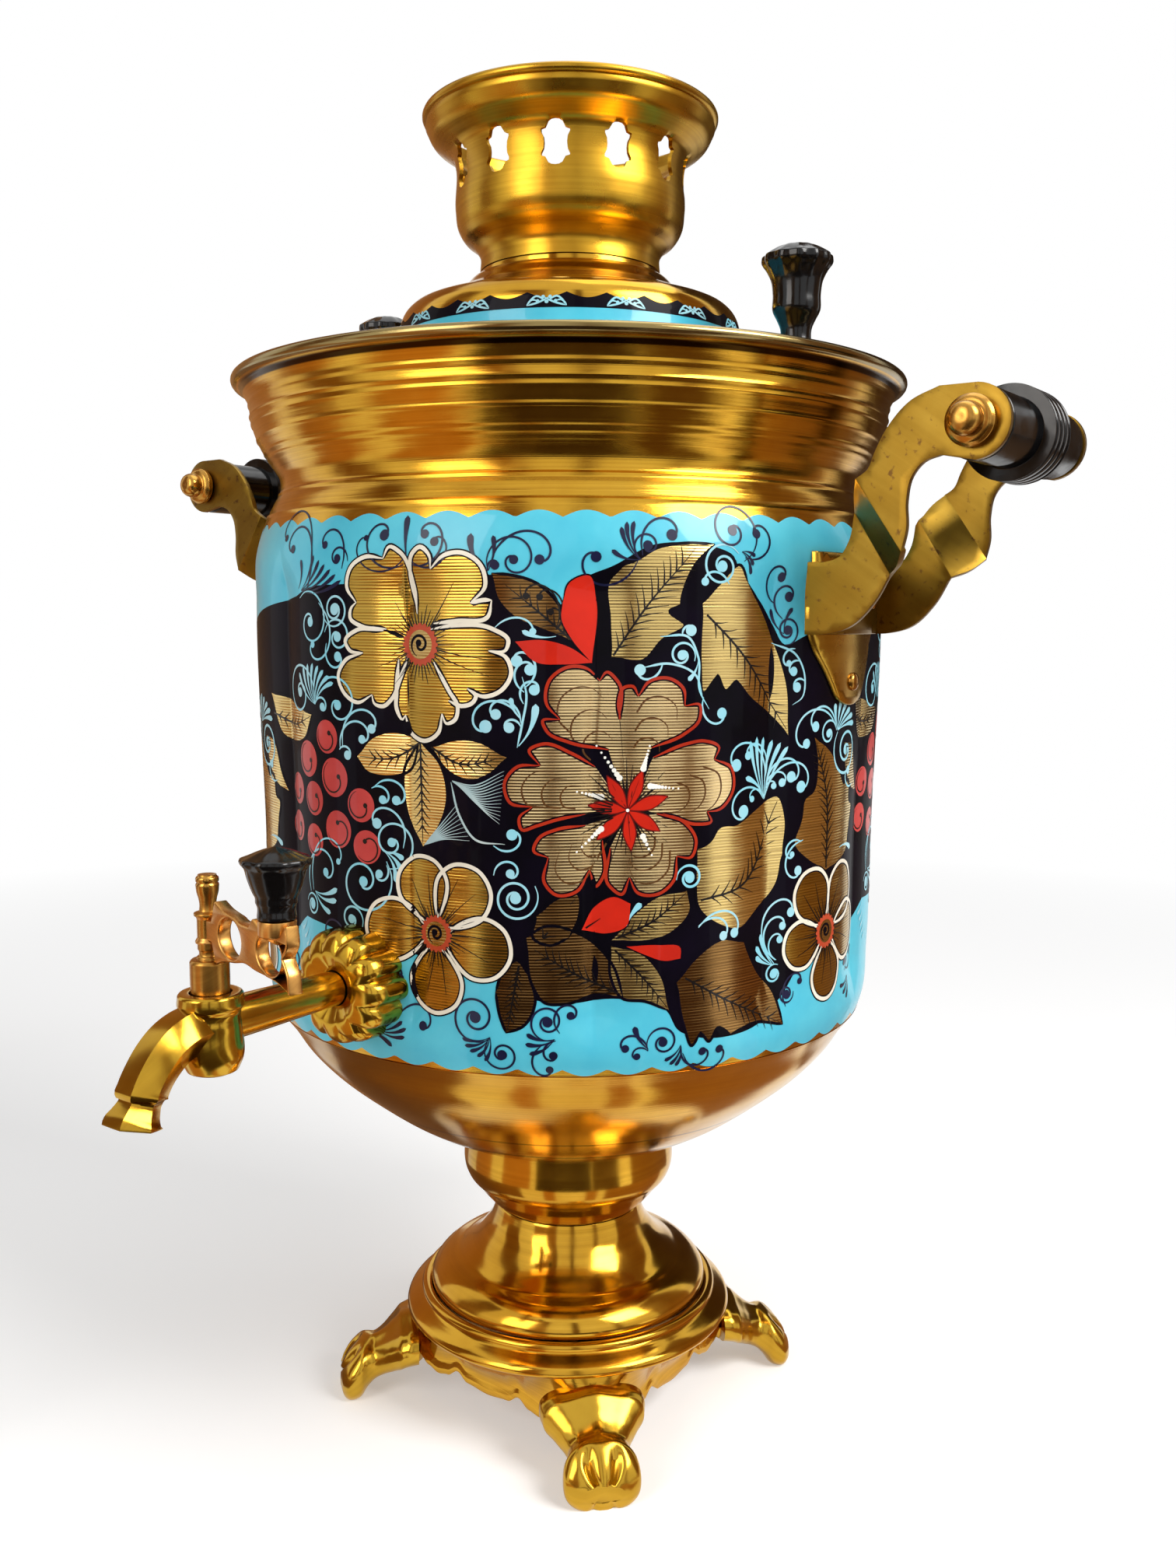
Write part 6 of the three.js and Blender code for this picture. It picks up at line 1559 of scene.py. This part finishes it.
scroll(NAVY, (24.4, 149.6), (22.2, 155.6), -1.7, 1.6, 0.65, 1.0)
scroll(NAVY, (24.2, 149), (26.5, 145.6), 1.5, 1.4, 0.6, 1.0)
fan(NAVY, (24.6, 150.4), [(20, 149.6), (20.4, 147.6), (21.2, 146), (22.4, 144.6), (23.6, 143.4)], 1.5)
scroll(NAVY, (34.4, 150), (33.7, 155), -1.7, 1.4, 0.6, 1.0)
scroll(NAVY, (35.6, 152), (37.3, 156.6), -0.9, 1.1)
fan(NAVY, (34.8, 150.4), [(30.4, 151.8), (30.2, 149), (30.8, 146.2)], 1.7)
scroll(NAVY, (35, 150), (34.6, 145.8), 0.7, 1.2)
scroll(NAVY, (33, 149), (34, 141.6), 0.55, 1.1)
drop(NAVY, (49.6, 147), (47.4, 153.4), 2.2, 0.1)
for row in (
    ((49.4, 147.4), (52, 148.6), -1.5, 1.3, 0.6, 1.0), ((49.6, 146.6), (45.9, 147.4), 0.55, 1.1),
    ((49.6, 146.4), (47.8, 145), 0.6, 1.0, 0.5),
):
    scroll(NAVY, *row)
fan(NAVY, (55, 147.4), [(52.4, 143.2), (53.4, 141.8), (54.4, 141.2)], 1.5)
for row in (
    ((55, 147.4), (58.9, 144.8), 0.7, 1.2), ((55.4, 145), (62, 144.8), 0.5, 1.2),
    ((77.8, 157), (76.2, 156.6), -1.7, 1.2, 0.6, 1.0), ((76, 153), (79.2, 159.6), -0.5, 1.0),
    ((95.4, 157), (95, 160), 1.2, 1.1), ((96, 158), (98.6, 162), 0.8, 1.2),
):
    scroll(NAVY, *row)
fan(NAVY, (97, 155), [(92.6, 153.4), (94, 150.6), (95.6, 148.6)], 1.7)
for row in (
    ((2.6, 169), (0.2, 170.6), -1.3, 1.1, 0.55, 1.0), ((3.4, 170), (2.7, 168.6), -0.8, 0.9),
    ((-2, 171), (-6, 173), 0.8, 1.0),
):
    scroll(NAVY, *row)

# Light blue scrolls on the black
LIGHT = "light"
fan(LIGHT, (-8.2, 238), [
    (-13.4, 246.6), (-11.8, 248.4), (-10.2, 249.2), (-8.6, 249.4), (-7, 248.8), (-5.6, 247.6),
    (-4.2, 246), (-3.2, 244.2),
], 1.7)
for row in (
    ((-8.4, 238.2), (-13.4, 241), 1.6, 1.4, 0.65, 1.0), ((-7.8, 239.4), (-2.4, 238.2), -1.3, 1.4),
    ((-8, 238.6), (-6.2, 237.4), -0.8, 1.2), ((-12.6, 267.4), (-9, 260.8), -1.3, 1.4, 0.6, 1.0),
    ((-5.4, 263), (-2.6, 264.2), 1.9, 1.6, 0.6, 1.0), ((-6.5, 266), (-8.4, 254.6), -0.7, 1.0),
    ((-5, 258), (-2, 256.8), -1.3, 1.4, 0.6, 1.0), ((-4.6, 255), (-2, 251.4), 0.7, 1.4),
    ((-2.2, 226), (2.5, 229.2), -0.7, 1.2), ((-1.6, 227), (4.4, 232.2), -0.55, 1.3),
    ((-2.4, 226), (-0.6, 224.6), -0.5, 1.3), ((4, 216), (6, 213), -0.6, 1.2),
    ((4.6, 216.6), (8.4, 213), -0.6, 1.3), ((6.6, 194), (7.4, 201.4), 1.5, 1.3, 0.6, 1.0),
    ((9.4, 200), (4.8, 206.4), 0.6, 1.5), ((6.4, 196), (1.9, 189.8), -1.5, 1.5, 0.65, 1.0),
    ((6.4, 195), (5, 192.4), -0.7, 1.2),
):
    scroll(LIGHT, *row)
fan(LIGHT, (6.2, 198.6), [(8, 190.4), (9, 193.6), (9.4, 196.8)], 2.0)
for row in (
    ((1.6, 177), (-0.7, 178.8), 1.3, 1.3, 0.6, 1.0), ((-13.4, 181), (-11.4, 180.2), -1.7, 1.4, 0.6, 1.0),
    ((-12, 184), (-7, 190.6), -0.9, 1.3), ((-11, 184.6), (-3.6, 194.4), -0.55, 0.9, 0.5),
):
    scroll(LIGHT, *row)
fan(LIGHT, (-10.4, 184.4), [(-4, 186.6), (-4.2, 183.2), (-5.8, 179.2)], 2.1, -0.1)
stem(LIGHT, [(29.2, 228.6), (30, 235), (30.6, 243), (30, 247)])
for row in (
    ((29.8, 236), (24.4, 234), 0.7, 1.7), ((29.8, 235), (26, 237.2), 0.6, 1.4),
    ((29.8, 234), (28, 233.8), 0.6, 1.4),
):
    scroll(LIGHT, *row)
drop(LIGHT, (29.8, 236), (28.3, 241.6), 1.8, 0.1)
drop(LIGHT, (29.4, 229), (32, 240), 2.6, -0.1)
for row in (
    ((30.2, 240), (31.8, 243.6), -0.7, 1.4), ((30.3, 243), (31.2, 248.8), -0.6, 1.5),
    ((30.3, 244), (29.2, 251), 0.6, 1.5), ((26, 259.6), (31.6, 258.6), -0.25, 0.9, 0.5),
):
    scroll(LIGHT, *row)
drop(LIGHT, (35, 257.4), (30, 258.8), 1.7, 0.1)
stem("pale", [(18.6, 219), (20, 210), (22.5, 204), (27.2, 203)], 0.6)
scroll(LIGHT, (25.4, 202.6), (28.3, 205.6), 0.6, 1.5)
for i in range(14):
    t = i / 13
    path = [
        (18.8 + 8.6 * t**2 * 0.2, 219.4 - 1.2 * t), (22 + 2.6 * t, 218.4 - 7.6 * t),
        (27.2 - 0.8 * t, 222.4 - 14 * t),
    ]
    stroke("pale", flat(path), 0.36, 0.3, 0.5)
for i in range(9):
    t = i / 8
    path = [(13.4, 201.4), (15.6 + 1.2 * t, 205.4 - 2.0 * t), (19.6 + 2 * t, 213.2 - 9.6 * t)]
    stroke("pale", flat(path), 0.36, 0.2, 0.6)
scroll(LIGHT, (25.4, 194.6), (28, 195.2), -0.9, 1.2)
scroll(LIGHT, (31.8, 192), (28.8, 188.6), -2.1, 1.5, 0.65, 1.0)
stem(LIGHT, [(48, 249.4), (52, 250.4), (56.4, 247), (57.4, 242)])
scroll(LIGHT, (51, 250.6), (47.6, 248.8), -0.4, 1.5)
scroll(LIGHT, (56, 251), (54, 252.6), 1.4, 1.3, 0.6, 1.0)
stem(LIGHT, [(50.6, 257.4), (55, 257.2), (56.6, 252), (57, 243), (58.6, 238.4)])
scroll(LIGHT, (57.6, 241.6), (60.9, 237.2), 0.5, 1.5)
drop(LIGHT, (56.6, 251), (55, 246), 1.7, 0.1)
for row in (
    ((54, 257.8), (55.4, 259), -0.4, 1.5), ((63.4, 279), (60.5, 275.6), 1.7, 1.5, 0.65, 1.0),
    ((61.8, 271), (57.6, 271.6), 0.3, 1.1),
):
    scroll(LIGHT, *row)
fan(LIGHT, (70.6, 213), [
    (66.8, 229.4), (68.2, 230.4), (69.8, 230.2), (71.8, 229.2), (73.4, 228.4), (74.9, 227.2),
], 1.8, 0.06)
for row in (
    ((70.4, 216), (64, 223), 0.6, 1.7), ((70.4, 218), (66.4, 225.4), 0.5, 1.2, 0.5),
    ((70.4, 213), (65.8, 210.2), 0.85, 1.8),
):
    scroll(LIGHT, *row)
drop(LIGHT, (70.2, 214), (66, 219.4), 2.0, -0.1)
for row in (
    ((70.3, 213.6), (67.6, 213.4), 0.5, 0.9, 0.45), ((71, 216), (75.8, 218.6), -0.75, 1.6),
    ((70.8, 214), (78, 215.6), -0.6, 1.7), ((70.8, 215), (74, 217.2), -0.6, 1.2, 0.5),
    ((70.8, 214.6), (72.4, 216.4), -0.5, 0.9, 0.45),
):
    scroll(LIGHT, *row)
stem(LIGHT, [(71, 255.6), (76, 252), (77.8, 246), (77.4, 240.6), (75.4, 238.6)], 0.6)
for row in (
    ((76.6, 250.6), (75.4, 247.8), 0.5, 1.3), ((77.8, 245), (76.2, 243.4), 0.5, 1.4),
    ((75.6, 254), (74.4, 250), 0.5, 0.9),
):
    scroll(LIGHT, *row)
fan(LIGHT, (87.2, 230.6), [
    (86, 238.4), (88, 239.2), (90, 238.2), (91.8, 236.6), (93.2, 234.6), (94, 232),
], 2.2, 0.06)
for row in (
    ((86.8, 231), (78.8, 227.6), 0.62, 1.4), ((86.6, 231.6), (80.8, 232.2), 0.55, 1.5),
    ((86.8, 230.6), (84.4, 230), 1.3, 1.2, 0.6, 1.0), ((87.2, 230.2), (90.8, 224.8), 1.9, 1.7, 0.8, 1.0),
    ((95, 214), (92.4, 218.4), -0.5, 1.3), ((79, 200.4), (78, 191.8), 0.6, 1.4),
    ((78.6, 200), (76.6, 196.6), 0.7, 0.9),
):
    scroll(LIGHT, *row)
drop(LIGHT, (90, 196), (96, 194.4), 2.2, 0.1)
fan(LIGHT, (73.2, 165.6), [(70.4, 175), (69.4, 171.8), (69.4, 168.8)], 2.0, 0.06)
for row in (
    ((73.4, 166), (76.6, 180.2), -0.55, 1.4), ((73.6, 167), (74.9, 176.6), -0.6, 1.2),
    ((73.8, 167), (74.4, 172.8), -0.6, 1.1, 0.5), ((74.2, 165.6), (73.4, 163), 1.4, 1.3, 0.6, 1.0),
    ((53.8, 193), (56, 193.4), -1.6, 1.4, 0.7, 1.0), ((57.6, 180), (62.2, 176.6), -0.4, 1.3),
    ((57.6, 179.6), (64.4, 177), -0.4, 1.4),
):
    scroll(LIGHT, *row)
drop(LIGHT, (46, 181), (48.3, 187), 2.2, 0.08)
for k in range(5):
    y = 170 - k * 2.2
    drop(LIGHT, (-14 + k * 0.6, y + 5), (-16.4 + k * 0.9, y + 1.6), 1.4, 0.1)

# Lay every layer on the wall
def gilt(name, base, dark, share):
    """Bare metal with fine turned lines, darkened in places."""
    look = Look(name, base, Metallic=1.0)
    lines, even = look.rings(0.5, 0.0, 2), look.even_lines(0.8)
    look.tint(lines, dark, -0.6 * (1 - share), share)
    look.tint(even, dark, -0.1, 0.75 * share)
    look.rough(look.noise(90, 3), 0.12, 0.22)
    return look.relief(lines, 0.04).relief(even, 0.03)


LOOKS = {
    "petal": (gilt("gilt_petals", (0.52, 0.33, 0.06), (0.18, 0.09, 0.012), 0.5), 2.7),
    "leaf": (gilt("gilt_leaves", (0.86, 0.64, 0.24), (0.16, 0.08, 0.02), 0.45), 2.7),
    "dark_leaf": (gilt("dark_leaves", (0.4, 0.22, 0.07), (0.07, 0.03, 0.012), 0.65), 2.7),
    "rim": (black_paint, 3.3),
    "berry": (enamel("berry_red", colour(198, 70, 66), colour(160, 38, 42)), 2.7),
    "blush": (gilt("gilt_blush", (0.95, 0.72, 0.36), (0.26, 0.14, 0.06), 0.36), 2.7),
    "star": (enamel("signal_red", colour(204, 34, 10), colour(166, 22, 8)), 5),
    "star_edge": (enamel("dark_red_line", colour(104, 12, 8), colour(84, 8, 6)), 5.4),
    "white": (enamel("ivory_line", colour(240, 232, 216), colour(218, 206, 184)), 4),
    "red": (enamel("rust_red_line", colour(176, 44, 16), colour(146, 32, 12)), 4),
    "ink": (enamel("ink", colour(12, 9, 10), colour(26, 18, 16)), 4.5),
    "brown": (enamel("brown_veins", colour(92, 58, 22), colour(66, 38, 14)), 3.3),
    "navy": (enamel("navy_scrolls", colour(14, 14, 44), colour(28, 32, 70)), 3.6),
    "light": (enamel("light_scrolls", colour(122, 200, 218), colour(190, 218, 224)), 3.6),
    "pale": (enamel("pale_hatching", colour(196, 204, 200), colour(140, 180, 190)), 3.6),
    "bead": (enamel("ring_orange", colour(190, 76, 44), colour(160, 44, 26)), 5),
    "middle": (gilt("gilt_middles", (0.55, 0.38, 0.14), (0.2, 0.1, 0.03), 0.3), 5.4),
    "top_ink": (black_paint, 5.8),
    "bead_white": (enamel("white_dots", colour(246, 244, 238), colour(230, 226, 214)), 5.8),
}


def painted(name, part, look, body="urn"):
    piece(name, part, look, None, body, 60, False)


painted("paint_turquoise", band(scallop(140.6, -2.0, 50), scallop(288.6, 1.9, 50), LAYER), turquoise)
painted("paint_black", band(border(*LOW_BORDER), border(*TOP_BORDER), 1.9 * LAYER), black_paint)
for name, marks in layers.items():
    look, level = LOOKS[name]
    laid = []
    for turn in REPEATS:
        for i, (points, faces) in enumerate(marks):
            laid.append((on_wall(points, level * LAYER + 0.0012 * (i % 9), turn), faces))
    painted(f"paint_{name}", merged(*laid), look)

# Paint on the lid: a turquoise slope under a black band with a scalloped edge and pale curls
lid_walk = [0.0]
for a, b in zip(lid_line, lid_line[1:]):
    lid_walk.append(lid_walk[-1] + math.dist(a, b))
lid_spots = np.array(offset(lid_line, -1.0)), np.array(lid_line)
LID_BAND_LOW, LID_BAND_TOP, SLOPE_PAINT_RADIUS = 348.9, 353.4, 74.0
OUTSIDE = 60  # points of the lid's outline from its edge to the dome's side


def walk_at(height):
    """Way along the lid's outline, from its edge, to a height on the dome's side."""
    return float(np.interp(height, [h for _, h in lid_line[:OUTSIDE]], lid_walk[:OUTSIDE]))


def on_lid(points, lift):
    """Points given as degrees and way along the lid's outline, laid on the lid."""
    degrees, way = np.array([tuple(p) for p in points], float).T
    out, skin = lid_spots
    radius, height = (np.interp(way, lid_walk, skin[:, k] + (out[:, k] - skin[:, k]) * lift) for k in (0, 1))
    return turned(radius, np.radians(degrees), height)


def lid_band(low, high, lift, columns=720, rows=24):
    """A painted band all round the lid, between a way and an edge given for an angle in degrees."""
    points = []
    for i in range(columns):
        degrees = 360 * i / columns
        top = high(degrees)
        points += [(degrees, low + (top - low) * j / rows) for j in range(rows + 1)]
    return on_lid(points, lift), strips(columns, rows)


band_low, band_top = walk_at(LID_BAND_LOW), walk_at(LID_BAND_TOP)
slope_low = float(np.interp(-SLOPE_PAINT_RADIUS, [-r for r, _ in lid_line[:OUTSIDE]], lid_walk[:OUTSIDE]))
slope_paint = lid_band(slope_low, lambda degrees: band_low + 0.6, 0.06, rows=60)
painted("lid_turquoise", slope_paint, turquoise, "lid")
painted("lid_black", lid_band(band_low, scallop(band_top, -1.6, 30), 0.11), black_paint, "lid")
CURLS = [(0.2, 1.2, 3.0, 1.0), (0.4, 2.2, 5.4, 0.8), (0.1, 0.4, 6.4, 2.2)]
curls = []
for k in range(30):
    layers.clear()
    base, lean = 12.0 * k, (1, -1)[k % 2]
    for start, rise, reach, fall in CURLS:
        points = [(0, start), (reach * 0.5 * lean, rise + 0.6), (reach * lean, fall + 0.4)]
        path = [Vector(p) for p in points]
        stroke("curl", path, 0.55, 0.2, 0.3)
        dot("curl", path[-1], 0.5, 12)
    for points, faces in layers["curl"]:
        curls.append((on_lid([(base + p[0] * 1.1, band_low + 0.4 + p[1]) for p in points], 0.15), faces))
painted("lid_curls", merged(*curls), LOOKS["light"][0], "lid")

# Studio: a pale floor that keeps the shadow, soft lamps and the photograph's camera
scene = bpy.context.scene
FLOOR_HALF = 6
floor_mesh = bpy.data.meshes.new("floor")
corners = [(FLOOR_HALF * x, FLOOR_HALF * y, 0) for x, y in ((-1, -1), (1, -1), (1, 1), (-1, 1))]
floor_mesh.from_pydata(corners, [], [(0, 1, 2, 3)])
floor = bpy.data.objects.new("floor", floor_mesh)
scene.collection.objects.link(floor)


def straight_rays(tree):
    """1 for rays of the camera, off glossy surfaces and through glass, and 0 for all others."""
    rays = add_node(tree, "ShaderNodeLightPath").outputs
    most = {"operation": "MAXIMUM"}
    seen = {0: rays["Is Camera Ray"], 1: rays["Is Glossy Ray"]}
    seen = add_node(tree, "ShaderNodeMath", seen, **most).outputs[0]
    return add_node(tree, "ShaderNodeMath", {0: seen, 1: rays["Is Transmission Ray"]}, **most).outputs[0]


def cleared(owner):
    """The owner's node tree, without the nodes that it starts with."""
    owner.use_nodes = True
    owner.node_tree.nodes.clear()
    return owner.node_tree


# The floor glows a little and turns plain white far out for straight rays, and is plain for all others.
ground = bpy.data.materials.new("pale_floor")
tree = cleared(ground)
plain = add_node(tree, "ShaderNodeBsdfDiffuse", {"Color": (0.8, 0.8, 0.8, 1)}).outputs[0]
near = add_node(tree, "ShaderNodeBsdfDiffuse", {"Color": (0.8, 0.8, 0.805, 1)}).outputs[0]
glow = add_node(tree, "ShaderNodeEmission", {"Strength": 0.32}).outputs[0]
near = add_node(tree, "ShaderNodeAddShader", {0: near, 1: glow}).outputs[0]
white = add_node(tree, "ShaderNodeEmission").outputs[0]
place = add_node(tree, "ShaderNodeTexCoord").outputs["Object"]
reach = add_node(tree, "ShaderNodeVectorMath", {0: place}, operation="LENGTH").outputs["Value"]
far = {"Value": reach, "From Min": 0.5, "From Max": 1.1}
far = add_node(tree, "ShaderNodeMapRange", far).outputs["Result"]
shown = add_node(tree, "ShaderNodeMixShader", {0: far, 1: near, 2: white}).outputs[0]
surface = add_node(tree, "ShaderNodeMixShader", {0: straight_rays(tree), 1: plain, 2: shown}).outputs[0]
add_node(tree, "ShaderNodeOutputMaterial", {"Surface": surface})
floor_mesh.materials.append(ground)

world = bpy.data.worlds.new("studio")
scene.world = world
tree = cleared(world)
light = {"Value": straight_rays(tree), "To Min": 0.25, "To Max": 1.0}
light = add_node(tree, "ShaderNodeMapRange", light).outputs["Result"]
back = add_node(tree, "ShaderNodeBackground", {"Color": (1, 1, 1, 1), "Strength": light}).outputs[0]
add_node(tree, "ShaderNodeOutputWorld", {"Surface": back})


AIM = Vector((0, 0, 0.2))


def lamp(name, place, wide, high, power, tone=(1, 1, 1)):
    """A soft box that faces the object."""
    light = bpy.data.lights.new(name, "AREA")
    light.shape, light.size, light.size_y, light.energy, light.color = "RECTANGLE", wide, high, power, tone
    made = bpy.data.objects.new(name, light)
    made.location = place
    made.rotation_euler = (AIM - Vector(place)).to_track_quat("-Z", "Y").to_euler()
    scene.collection.objects.link(made)


lamp("window", (1.0, 0.05, 1.0), 0.6, 0.6, 16, (1, 0.99, 0.97))
lamp("room", (-0.1, -1.2, 0.7), 0.5, 0.9, 7, (1, 0.98, 0.95))
lamp("ceiling", (0.1, 0.3, 1.4), 0.9, 0.9, 4)


def flag(name, points, faces, tone):
    """A board beside the scene that only reflections show, as a photographer's flag."""
    mesh = bpy.data.meshes.new(name)
    mesh.from_pydata(points, [], faces)
    board = bpy.data.materials.new(name)
    board.use_nodes = True
    shader = board.node_tree.nodes["Principled BSDF"]
    shader.inputs["Base Color"].default_value = (tone, 0.5 * tone, 0.2 * tone, 1)
    shader.inputs["Roughness"].default_value = 1
    mesh.materials.append(board)
    made = bpy.data.objects.new(name, mesh)
    scene.collection.objects.link(made)
    for ray in ("camera", "diffuse", "shadow", "transmission"):
        setattr(made, f"visible_{ray}", False)


def ring_of(start, end, near, far, low, high, steps=12):
    """A stretch of a ring round the object, between two radii and two heights."""
    turns = [math.radians(start + (end - start) * i / steps) for i in range(steps + 1)]
    points = [(near * math.sin(a), -near * math.cos(a), low) for a in turns]
    points += [(far * math.sin(a), -far * math.cos(a), high) for a in turns]
    return points, [(i, i + 1, steps + 2 + i, steps + 1 + i) for i in range(steps)]


# Each flag's stretch in degrees and its tone
WALL_FLAGS = [
    (-128, -84, 0.8), (-62, -38, 0.5), (-14, 20, 0.75), (40, 46, 0.45), (74, 80, 0.5), (112, 150, 0.6),
    (158, 205, 0.1),
]
FLOOR_FLAGS = [
    (-150, -98, 0.5), (-76, -50, 0.7), (-34, -2, 0.6), (4, 60, 0.03), (61, 90, 0.08), (104, 165, 0.25),
]
NEAR_FLAGS = [(-120, -12, 0.3), (12, 24, 0.6), (54, 66, 0.5), (74, 150, 0.35)]
FLAG_NEAR, FLAG_MIDDLE, FLAG_FAR, FLAG_LOW, FLAG_TOP = 0.085, 0.2, 2.0, 0.0015, 2.6
for kind, flags, near, far, top in (
    ("wall", WALL_FLAGS, FLAG_FAR, FLAG_FAR, FLAG_TOP),
    ("floor", FLOOR_FLAGS, FLAG_MIDDLE, FLAG_FAR, FLAG_LOW),
    ("near", NEAR_FLAGS, FLAG_NEAR, FLAG_MIDDLE, FLAG_LOW),
):
    for i, (start, end, tone) in enumerate(flags):
        flag(f"{kind}_flag_{i}", *ring_of(start, end, near, far, FLAG_LOW, top), tone)

FOCAL, PITCH, YAW, ROLL, HEADING = 1747.4, 6.87, 0.8, 0.21, 37.0
IMAGE_HIGH, SENSOR, DISTANCE, EYE_HEIGHT = 2016, 36.0, 0.45, 0.2615
data = bpy.data.cameras.new("camera")
data.sensor_fit, data.sensor_width, data.lens = "AUTO", SENSOR, SENSOR * FOCAL / IMAGE_HIGH
data.clip_start = 0.01
camera = bpy.data.objects.new("camera", data)
heading = math.radians(HEADING)
camera.location = (DISTANCE * math.sin(heading), -DISTANCE * math.cos(heading), EYE_HEIGHT)
camera.rotation_mode = "QUATERNION"
turn = (
    Matrix.Rotation(math.radians(HEADING - YAW), 3, "Z")
    @ Matrix.Rotation(math.radians(90 - PITCH), 3, "X")
    @ Matrix.Rotation(math.radians(ROLL), 3, "Z")
)
camera.rotation_quaternion = turn.to_quaternion()
scene.collection.objects.link(camera)
scene.camera = camera
scene.view_settings.view_transform = "Standard"
